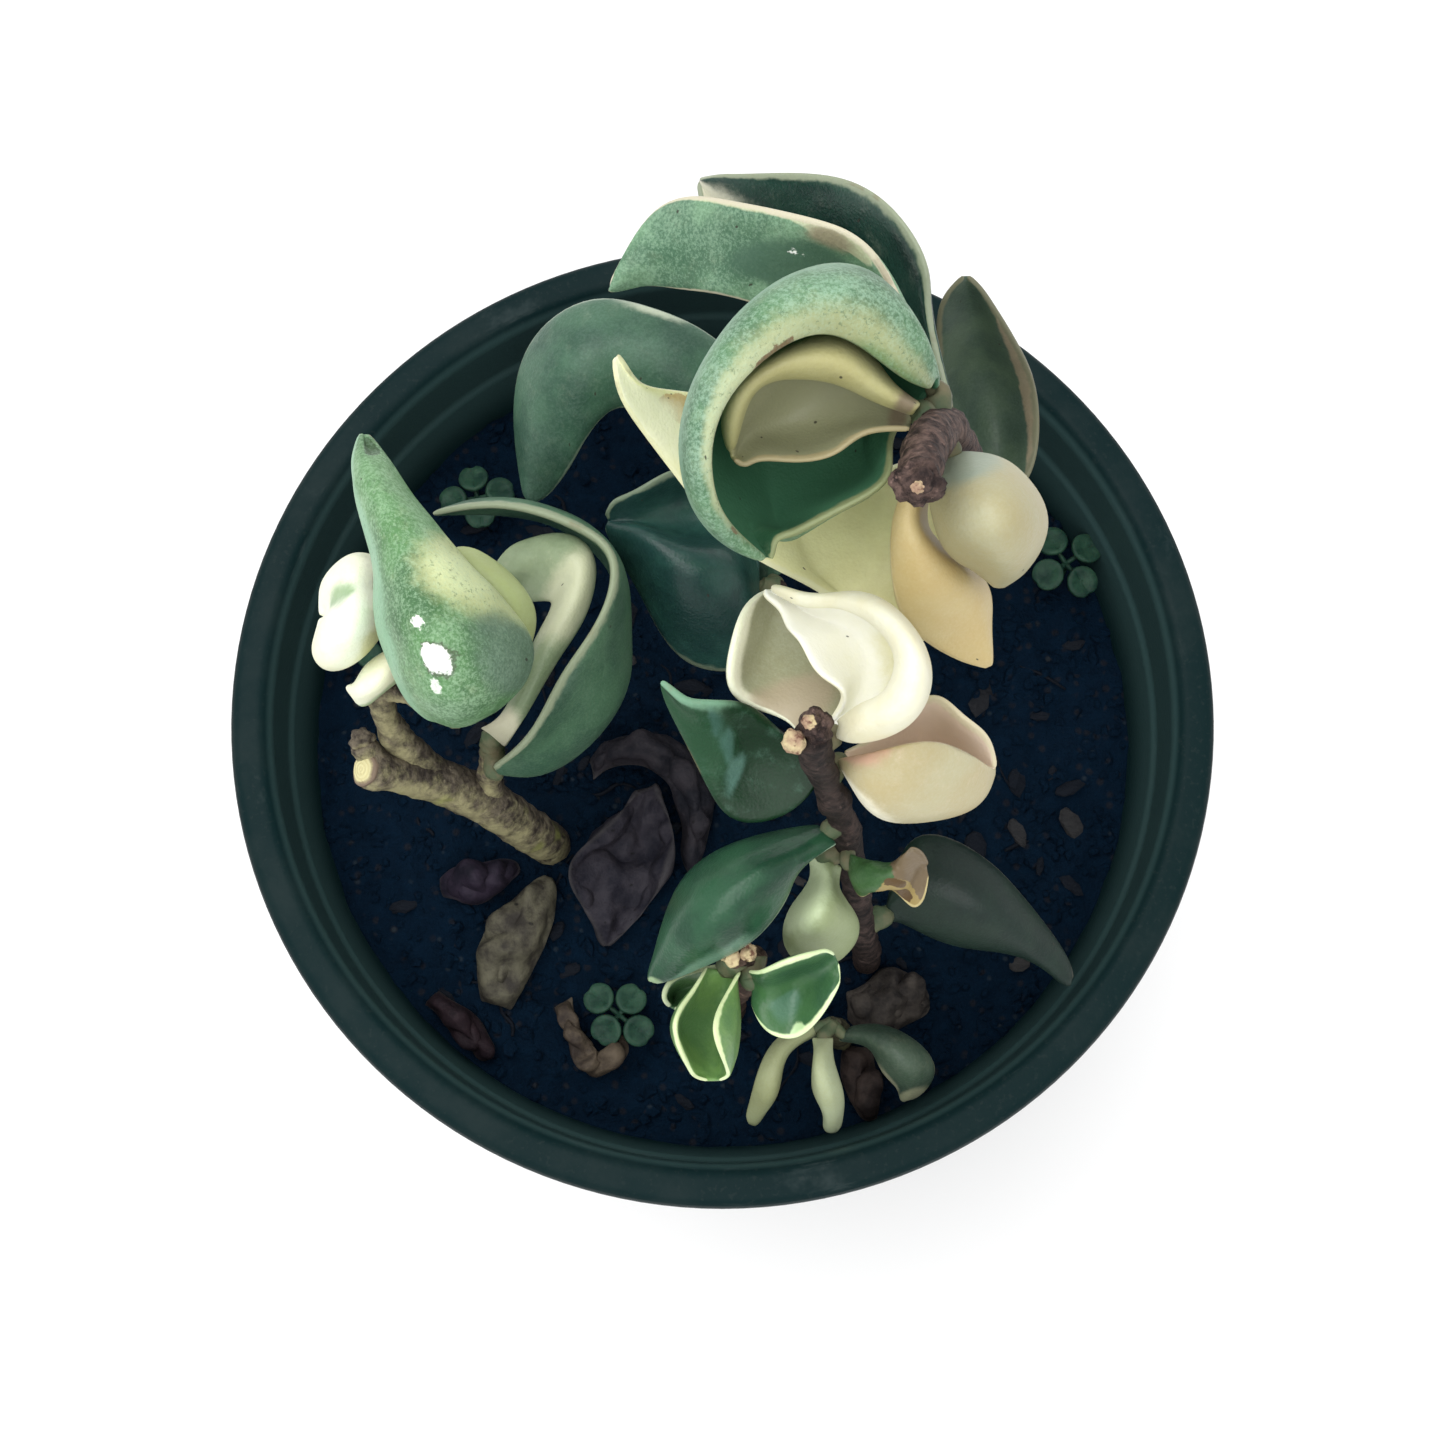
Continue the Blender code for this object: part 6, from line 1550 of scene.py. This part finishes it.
def stalk_piece(spec):
    """The short stalk from a leaf's base into its stem."""
    net = leaf_net(spec)
    middle = net[len(net) // 2, 0]
    axis = stem_axis(spec.stem)[:, :3]
    nearest = axis[lengths(axis - middle).argmin()]
    onward = net[:, 1].mean(axis=0) - middle
    inward = middle + 0.25 * onward / max(1.0, lengths(onward) / 3.0)
    thick = min(1.4, max(0.7, 0.35 * spec.ends[0]))
    places = (nearest, 0.5 * (nearest + middle), middle, inward)
    radii = (thick * 1.2, thick, thick * 0.9, 0.35)
    return rod_piece("stalk", [(*place, radius) for place, radius in zip(places, radii)], 4, 3)


def soil_height(x, y):
    """The height of the soil's surface at a place, in mm over the pot's base, with its fine lumps."""
    low = noise.noise(Vector((x / 14.0, y / 14.0, SEED)))
    lumps = noise.fractal(Vector((x / 4.5, y / 4.5, SEED + 2)), 0.9, 2.0, 4)
    return SOIL_TOP - 0.4 + 1.1 * low + 1.5 * lumps


def ring_extrude(outline, sides):
    """A turned shell: a disc whose edge is drawn out along an outline of (radius, height) points."""
    radius, height = outline[0]
    place = (0.0, 0.0, height * MM)
    shell = primitive("circle", vertices=sides, radius=radius * MM, fill_type="NGON", location=place)
    bpy.ops.object.transform_apply(location=True, rotation=True, scale=True)
    bpy.ops.object.mode_set(mode="EDIT")
    bpy.ops.mesh.select_mode(type="EDGE")
    bpy.ops.mesh.select_all(action="SELECT")
    for new_radius, new_height in outline[1:]:
        rise = (0.0, 0.0, (new_height - height) * MM)
        bpy.ops.mesh.extrude_edges_move(TRANSFORM_OT_translate={"value": rise})
        grow = new_radius / radius
        bpy.ops.transform.resize(value=(grow, grow, 1.0), center_override=(0.0, 0.0, new_height * MM))
        radius, height = new_radius, new_height
    bpy.ops.mesh.edge_face_add()
    bpy.ops.mesh.select_all(action="SELECT")
    bpy.ops.mesh.normals_make_consistent(inside=False)
    bpy.ops.object.mode_set(mode="OBJECT")
    return shell


def rounded(corner, before, after, radius, count=4):
    """The points of a small round in an outline's corner, between the points before and after it."""
    corner = np.array(corner, float)
    start = np.array(before, float) - corner
    end = np.array(after, float) - corner
    start = corner + start / lengths(start) * radius
    end = corner + end / lengths(end) * radius
    shares = np.linspace(0.0, 1.0, count + 1)[:, None]
    curve = (1.0 - shares) ** 2 * start + 2.0 * shares * (1.0 - shares) * corner + shares**2 * end
    return [tuple(point) for point in curve]


def pot_outline():
    """The pot's profile, from its base over the outside and the rim down to the floor inside."""
    band = RIM_HEIGHT - RIM_BAND
    corners = [
        (8.0, 0.0, 0.0), (BASE_RADIUS - 9.0, 0.0, 0.6), (BASE_RADIUS - 7.5, 1.0, 0.6),
        (BASE_RADIUS - 5.0, 1.0, 0.6), (BASE_RADIUS - 4.0, 0.0, 0.6), (BASE_RADIUS, 0.0, 1.6),
        (WALL_TOP_RADIUS, band, 0.5), (RIM_RADIUS - 1.0, band, 0.7),
        (RIM_RADIUS, RIM_HEIGHT - 1.4, 0.9), (RIM_RADIUS - 0.9, RIM_HEIGHT, 0.9),
        (MOUTH_RADIUS + 1.2, RIM_HEIGHT, 0.9), (MOUTH_RADIUS, RIM_HEIGHT - 1.6, 0.9),
        (MOUTH_RADIUS, band + 1.5, 0.5), (MOUTH_RADIUS - 0.7, band + 0.7, 0.4),
        (BASE_RADIUS - WALL, FLOOR, 1.6), (8.0, FLOOR, 0.0),
    ]
    points = [corners[0][:2]]
    for before, (radius, height, size), after in zip(corners, corners[1:], corners[2:]):
        points += rounded((radius, height), before[:2], after[:2], size)
    return points + [corners[-1][:2]]


def soil_bed():
    """The bed of soil: a disc of rings whose top is raised in lumps, over a plain tapered plug."""
    slope = (WALL_TOP_RADIUS - BASE_RADIUS) / (RIM_HEIGHT - RIM_BAND)
    top_radius = WALL_TOP_RADIUS - WALL - slope * (RIM_HEIGHT - RIM_BAND - SOIL_TOP) - 0.1
    outline = [(BASE_RADIUS - WALL - 2.0, FLOOR + 0.3), (top_radius, SOIL_TOP - 4.0)]
    outline += [(float(radius), SOIL_TOP) for radius in np.linspace(top_radius, 1.0, SOIL_RINGS)]
    bed = ring_extrude(outline, SOIL_SIDES)
    places = coordinates(bed.data)
    reach = np.hypot(places[:, 0], places[:, 1]) / MM
    for index in np.nonzero(places[:, 2] > (SOIL_TOP - 2.0) * MM)[0]:
        x, y = places[index, :2] / MM
        share = min(1.0, 0.35 + (top_radius - reach[index]) / 2.0)
        places[index, 2] = (SOIL_TOP - 0.6 + (soil_height(x, y) - SOIL_TOP + 0.6) * share) * MM
    set_coordinates(bed.data, places)
    shade_smooth(bed)
    return bed, top_radius


def lump_shapes(draw, count, level, crumple):
    """A few crumbs to copy: small balls with their corners pushed in and out."""
    shapes = []
    for _index in range(count):
        ball = primitive("ico_sphere", subdivisions=level, radius=1.0)
        places = coordinates(ball.data)
        push = np.array([1.0 + draw.uniform(-crumple, crumple) for _corner in places])
        faces = np.array([face.vertices[:] for face in ball.data.polygons])
        shapes.append((places * push[:, None], faces))
        bpy.data.objects.remove(ball, do_unlink=True)
    return shapes


def scatter(name, shapes, rows, draw):
    """One mesh of many copies: each row gives a place, three half sizes and the tilt, in mm."""
    all_places = []
    all_faces = []
    tones = []
    start = 0
    for place, sizes, tilt in rows:
        places, faces = shapes[draw.randrange(len(shapes))]
        turn = Matrix.Rotation(draw.uniform(0.0, TURN), 3, "Z")
        turn = turn @ Matrix.Rotation(tilt, 3, "X") @ Matrix.Rotation(draw.uniform(0.0, 6.3), 3, "Z")
        all_places.append(((places * sizes) @ np.array(turn).T + place) * MM)
        all_faces.append(faces + start)
        tones.append(np.full(len(places), draw.random()))
        start += len(places)
    mesh = bpy.data.meshes.new(name)
    mesh.from_pydata(np.concatenate(all_places).tolist(), [], np.concatenate(all_faces).tolist())
    attribute(mesh, "tone", np.concatenate(tones))
    return new_object(name, mesh)


def soil_spots(draw, count, radius):
    """Places spread evenly over the soil, in mm."""
    for index in range(count):
        reach = radius * math.sqrt((index + draw.random()) / count)
        angle = index * GOLDEN_ANGLE + draw.uniform(-0.4, 0.4)
        yield reach * math.cos(angle), reach * math.sin(angle)


def crumb_rows(draw, count, radius):
    """The places, sizes and tilts of the crumbs on the soil."""
    for x, y in soil_spots(draw, count, radius):
        size = draw.uniform(0.35, 1.05)
        sizes = (size * draw.uniform(0.8, 1.6), size * draw.uniform(0.7, 1.1), size * 0.8)
        yield (x, y, soil_height(x, y) + 0.1 * size), sizes, draw.uniform(-0.6, 0.6)


def chip_rows(draw, count, radius):
    """The places, sizes and tilts of the bark chips on the soil."""
    for x, y in soil_spots(draw, count, radius):
        length = draw.uniform(1.1, 2.8)
        sizes = (length, length * draw.uniform(0.35, 0.6), length * draw.uniform(0.16, 0.3))
        yield (x, y, soil_height(x, y) + 0.35), sizes, draw.uniform(-0.35, 0.35)


def fibre_pieces(draw, count, radius):
    """The thin bits of root and twig that lie on the soil."""
    for x, y in soil_spots(draw, count, radius):
        angle = draw.uniform(0.0, math.pi)
        length = draw.uniform(3.0, 9.0)
        route = []
        for share in (-1.0, -0.4, 0.3, 1.0):
            side = draw.uniform(-0.7, 0.7)
            px = x + 0.5 * share * length * math.cos(angle) - side * math.sin(angle)
            py = y + 0.5 * share * length * math.sin(angle) + side * math.cos(angle)
            route.append((px, py, soil_height(px, py) - RIM_HEIGHT + 0.45))
        thick = draw.uniform(0.14, 0.3)
        radii = (thick * 0.7, thick, thick, thick * 0.5)
        yield rod_piece("fibre", [(*place, radius) for place, radius in zip(route, radii)], 3, 0)


def leaflet_piece(spot, angle, radius):
    """One leaflet: a round disc that is cupped and notched at its tip."""
    disc = primitive("circle", vertices=28, radius=1.0, fill_type="TRIFAN")
    edit_all(disc, lambda: bpy.ops.mesh.subdivide(number_cuts=2))
    places = coordinates(disc.data)
    reach = np.hypot(places[:, 0], places[:, 1])
    notch = 0.16 * reach * np.exp(-((np.arctan2(places[:, 1], places[:, 0]) / 0.28) ** 2))
    places[:, :2] *= (1.0 - notch)[:, None]
    places[:, 2] = 0.20 * reach**2 - 0.10 * np.exp(-((places[:, 1] / 0.12) ** 2)) * (reach < 0.9)
    tilt = Matrix.Rotation(angle, 3, "Z") @ Matrix.Rotation(0.30, 3, "Y")
    set_coordinates(disc.data, (places * radius @ np.array(tilt).T + spot + RIM_LIFT) * MM)
    modify(disc, "SOLIDIFY", thickness=0.5 * MM, offset=0.0)
    shade_smooth(disc)
    return disc


def seedling_piece(name, spot, tall, count, turn, size, leaflet):
    """One seedling: a stalk with a few cupped round leaflets."""
    x, y = spot
    low = -SOIL_DEPTH - 1.5
    crown = -SOIL_DEPTH + tall
    route = [(x, y, low, 0.55), (x + 0.2, y, 0.5 * (low + crown), 0.5), (x, y, crown, 0.45)]
    parts = [rod_piece(name, route, 4, 2)]
    for index in range(count):
        angle = turn + TURN * index / count
        reach = size * (1.0 + 0.15 * math.cos(2.0 * angle + turn))
        end = (x + math.cos(angle) * reach, y + math.sin(angle) * reach, crown + 0.5)
        halfway = (0.5 * (x + end[0]), 0.5 * (y + end[1]), crown + 0.1, 0.34)
        parts.append(rod_piece(name, [(x, y, crown - 0.3, 0.4), halfway, (*end, 0.3)], 3, 1))
        parts.append(leaflet_piece(end, angle, leaflet))
    return joined(parts)


class ROPE_OT_pot(bpy.types.Operator):
    """Turn the nursery pot: its wall, folded rim and drained floor"""

    bl_idname = "rope_plant.pot"
    bl_label = "Nursery Pot"

    def execute(self, context):
        """Turns the shell, cuts the drain holes and dresses it."""
        pot = ring_extrude(pot_outline(), POT_SIDES)
        for index in range(DRAIN_HOLES):
            angle = TURN * index / DRAIN_HOLES
            spot = (DRAIN_RING * MM * math.cos(angle), DRAIN_RING * MM * math.sin(angle), FLOOR * MM)
            plug = primitive(
                "cylinder", vertices=32, radius=DRAIN_RADIUS * MM, depth=4.0 * FLOOR * MM, location=spot
            )
            modify(pot, "BOOLEAN", operation="DIFFERENCE", object=plug)
            bpy.data.objects.remove(plug, do_unlink=True)
        pick(pot)
        bpy.ops.object.shade_smooth_by_angle(angle=SMOOTH_UNDER)
        finish_piece(pot, "nursery_pot", material("nursery_plastic", pot_plastic), "pot_plastic", "pot")
        return {"FINISHED"}


class ROPE_OT_soil(bpy.types.Operator):
    """Fill the pot with dark potting soil, with crumbs, bark chips and thin fibres on it"""

    bl_idname = "rope_plant.soil"
    bl_label = "Potting Soil"

    def execute(self, context):
        """Makes the bed, then strews it with crumbs, chips and fibres."""
        settings = context.scene.rope_soil
        draw = random.Random(SEED)
        earth = material("potting_soil", potting_soil)
        wood = material("bark_chip", bark_chip)
        bed, radius = soil_bed()
        finish_piece(bed, "soil_bed", earth, "soil_dark", "soil")
        shapes = lump_shapes(draw, 5, 1, 0.35)
        rows = list(crumb_rows(draw, settings.crumbs, radius - 1.2))
        finish_piece(scatter("crumbs", shapes, rows, draw), "soil_crumbs", earth, "soil_dark")
        shapes = lump_shapes(draw, 6, 2, 0.22)
        rows = list(chip_rows(draw, settings.chips, radius - 4.5))
        finish_piece(scatter("chips", shapes, rows, draw), "bark_chips", wood, "soil_dark")
        fibres = list(fibre_pieces(draw, settings.fibres, radius - 8.0))
        finish_piece(joined(fibres), "soil_fibres", wood, "soil_dark")
        return {"FINISHED"}


class ROPE_OT_stems(bpy.types.Operator):
    """Model the woody stems with their side shoots, cut ends and bark"""

    bl_idname = "rope_plant.stems"
    bl_label = "Stems"

    def execute(self, context):
        """Makes each stem over its own node, then the cut ends and the knobs."""
        for name in STEMS:
            finish_piece(stem_piece(name), name + "_bark", end_finish(name), "stem_bark", name)
        for name, row in STEM_ENDS.items():
            finish_piece(stem_end(*row), name, end_finish(row[0]), "stem_bark")
        return {"FINISHED"}


class ROPE_OT_leaves(bpy.types.Operator):
    """Model the curled leaves, each on its own node, and the stalks that hold them"""

    bl_idname = "rope_plant.leaves"
    bl_label = "Curled Leaves"

    def execute(self, context):
        """Warps a fine grid onto each leaf's surface and dresses it by its look."""
        stalks = []
        for name, spec in LEAVES.items():
            skin = material(name + "_skin", leaf_skin, LOOKS[name])
            finish_piece(leaf_piece(spec, LOOKS[name]), name + "_blade", skin, spec.slot, name)
            stalks.append(stalk_piece(spec))
        finish_piece(joined(stalks), "leaf_stalks", material("leaf_stalk", leaf_stalk), "leaf_frosted")
        return {"FINISHED"}


class ROPE_OT_fallen_leaves(bpy.types.Operator):
    """Model the dry leaves that lie on the soil"""

    bl_idname = "rope_plant.fallen_leaves"
    bl_label = "Fallen Leaves"

    def execute(self, context):
        """Warps, crumples and dresses each dry leaf."""
        ground = soil_ground()
        for name, spec in FALLEN_LEAVES.items():
            paper = material(name + "_paper", dry_paper, *DRY_TONES[name])
            blade = leaf_piece(spec, {"waves": DRY_WAVES}, ground)
            finish_piece(blade, name + "_blade", paper, spec.slot, name)
        return {"FINISHED"}


class ROPE_OT_seedlings(bpy.types.Operator):
    """Model the little clover-like seedlings that have come up in the soil"""

    bl_idname = "rope_plant.seedlings"
    bl_label = "Seedlings"

    def execute(self, context):
        """Makes a stalk with a few cupped round leaflets for each seedling."""
        green = material("seedling_leaf", seedling_leaf)
        for name, row in SEEDLINGS.items():
            finish_piece(seedling_piece(name, *row), name + "_leaflets", green, "seedling_green", name)
        return {"FINISHED"}


class ROPE_OT_stage(bpy.types.Operator):
    """Set the plain pale floor, the soft light and the camera"""

    bl_idname = "rope_plant.stage"
    bl_label = "Studio Stage"

    def execute(self, context):
        """Makes the floor, the lights, the world and the camera."""
        settings = context.scene.rope_stage
        place = (0.0, 0.0, -FLOOR_DROP)
        floor = primitive("circle", vertices=96, radius=FLOOR_RADIUS, fill_type="NGON", location=place)
        floor.name = "studio_floor"
        bpy.ops.object.transform_apply(location=True, rotation=True, scale=True)
        floor.data.materials.append(material("studio_floor", studio_floor))
        for name, place, power, size in LIGHTS:
            bpy.ops.object.light_add(type="AREA", location=place)
            lamp = bpy.context.object
            lamp.name = name
            lamp.data.shape = "DISK"
            lamp.data.size = size
            lamp.data.energy = power * settings.light
            lamp.rotation_euler = (LIGHT_AIM - Vector(place)).to_track_quat("-Z", "Y").to_euler()
        world = bpy.data.worlds.new("Studio light")
        world.use_nodes = True
        backdrop = world.node_tree.nodes["Background"]
        backdrop.inputs["Color"].default_value = (1.0, 1.0, 1.0, 1.0)
        backdrop.inputs["Strength"].default_value = settings.world
        context.scene.world = world
        context.scene.view_settings.view_transform = "Standard"
        place, target = (Vector(spot) + UP * RIM_HEIGHT for spot in (CAMERA_PLACE, CAMERA_TARGET))
        bpy.ops.object.camera_add(location=place * MM)
        camera = bpy.context.object
        camera.name = "photo_camera"
        camera.rotation_euler = (target - place).to_track_quat("-Z", "Y").to_euler()
        camera.data.lens = CAMERA_LENS
        camera.data.clip_start = 0.01
        context.scene.camera = camera
        return {"FINISHED"}


class RopePot(bpy.types.PropertyGroup):
    """What a user may change on the pot"""

    colour: bpy.props.FloatVectorProperty(
        name="Plastic Colour", description="Colour of the pot's plastic", default=(0.0034, 0.0140, 0.0150),
        subtype="COLOR", min=0.0, max=1.0,
    )


class RopeSoil(bpy.types.PropertyGroup):
    """What a user may change on the soil"""

    # Its blue black is partly the soil's own tone and partly painted shade of the pot's hollow.
    colour: bpy.props.FloatVectorProperty(
        name="Soil Colour", description="Colour of the damp soil where light falls on it",
        default=(0.0020, 0.0155, 0.0370), subtype="COLOR", min=0.0, max=1.0,
    )
    crumbs: bpy.props.IntProperty(
        name="Crumbs", description="How many small crumbs lie on the soil", default=2600, min=0, max=4000
    )
    chips: bpy.props.IntProperty(
        name="Bark Chips", description="How many bark chips lie on the soil", default=90, min=0, max=400
    )
    fibres: bpy.props.IntProperty(
        name="Fibres", description="How many thin bits of root and twig lie on the soil", default=34, min=1,
        max=200,
    )


class RopeLeaves(bpy.types.PropertyGroup):
    """What a user may change on the leaves"""

    fineness: bpy.props.IntProperty(
        name="Fineness", description="Into how many parts each step of a leaf's own net is divided",
        default=3, min=1, max=5,
    )
    waviness: bpy.props.FloatProperty(
        name="Waviness", description="Height of the fine waves on a leaf's skin", default=0.0001,
        min=0.0, max=0.001, subtype="DISTANCE", unit="LENGTH",
    )


class RopeStage(bpy.types.PropertyGroup):
    """What a user may change on the stage"""

    floor: bpy.props.FloatVectorProperty(
        name="Floor Colour", description="Colour of the studio floor", default=(0.97, 0.97, 0.97),
        subtype="COLOR", min=0.0, max=1.0,
    )
    light: bpy.props.FloatProperty(
        name="Light", description="How strong the area lights are", default=1.0, min=0.0, max=10.0
    )
    world: bpy.props.FloatProperty(
        name="World", description="How strong the light from all round is", default=0.80, min=0.0, max=5.0
    )


class ROPE_PT_panel(bpy.types.Panel):
    """Lists the plant's sizes and colours and the steps that make it"""

    bl_idname = "ROPE_PT_panel"
    bl_label = "Hindu Rope Plant"
    bl_space_type = "VIEW_3D"
    bl_region_type = "UI"
    bl_category = "Rope Plant"

    def draw(self, context):
        """Draws the settings, then a button for each step."""
        layout = self.layout
        scene = context.scene
        for group in (scene.rope_pot, scene.rope_soil, scene.rope_leaves, scene.rope_stage):
            box = layout.box()
            for key in group.bl_rna.properties.keys():
                if key not in ("rna_type", "name"):
                    box.prop(group, key)
        for step in STEPS:
            layout.operator(step.bl_idname)


GROUPS = {
    "rope_pot": RopePot,
    "rope_soil": RopeSoil,
    "rope_leaves": RopeLeaves,
    "rope_stage": RopeStage,
}
STEPS = (
    ROPE_OT_pot,
    ROPE_OT_soil,
    ROPE_OT_stems,
    ROPE_OT_leaves,
    ROPE_OT_fallen_leaves,
    ROPE_OT_seedlings,
    ROPE_OT_stage,
)


def register():
    """Registers the settings, the steps and the panel."""
    for name, group in GROUPS.items():
        bpy.utils.register_class(group)
        setattr(bpy.types.Scene, name, bpy.props.PointerProperty(type=group))
    for step in STEPS:
        bpy.utils.register_class(step)
    bpy.utils.register_class(ROPE_PT_panel)


def unregister():
    """Removes all that register has added."""
    bpy.utils.unregister_class(ROPE_PT_panel)
    for step in reversed(STEPS):
        bpy.utils.unregister_class(step)
    for name, group in reversed(list(GROUPS.items())):
        delattr(bpy.types.Scene, name)
        bpy.utils.unregister_class(group)


def main():
    """Dresses the whole plant and sets the stage."""
    register()
    bpy.ops.rope_plant.pot()
    bpy.ops.rope_plant.soil()
    bpy.ops.rope_plant.stems()
    bpy.ops.rope_plant.leaves()
    bpy.ops.rope_plant.fallen_leaves()
    bpy.ops.rope_plant.seedlings()
    bpy.ops.rope_plant.stage()


if __name__ == "__main__":
    main()
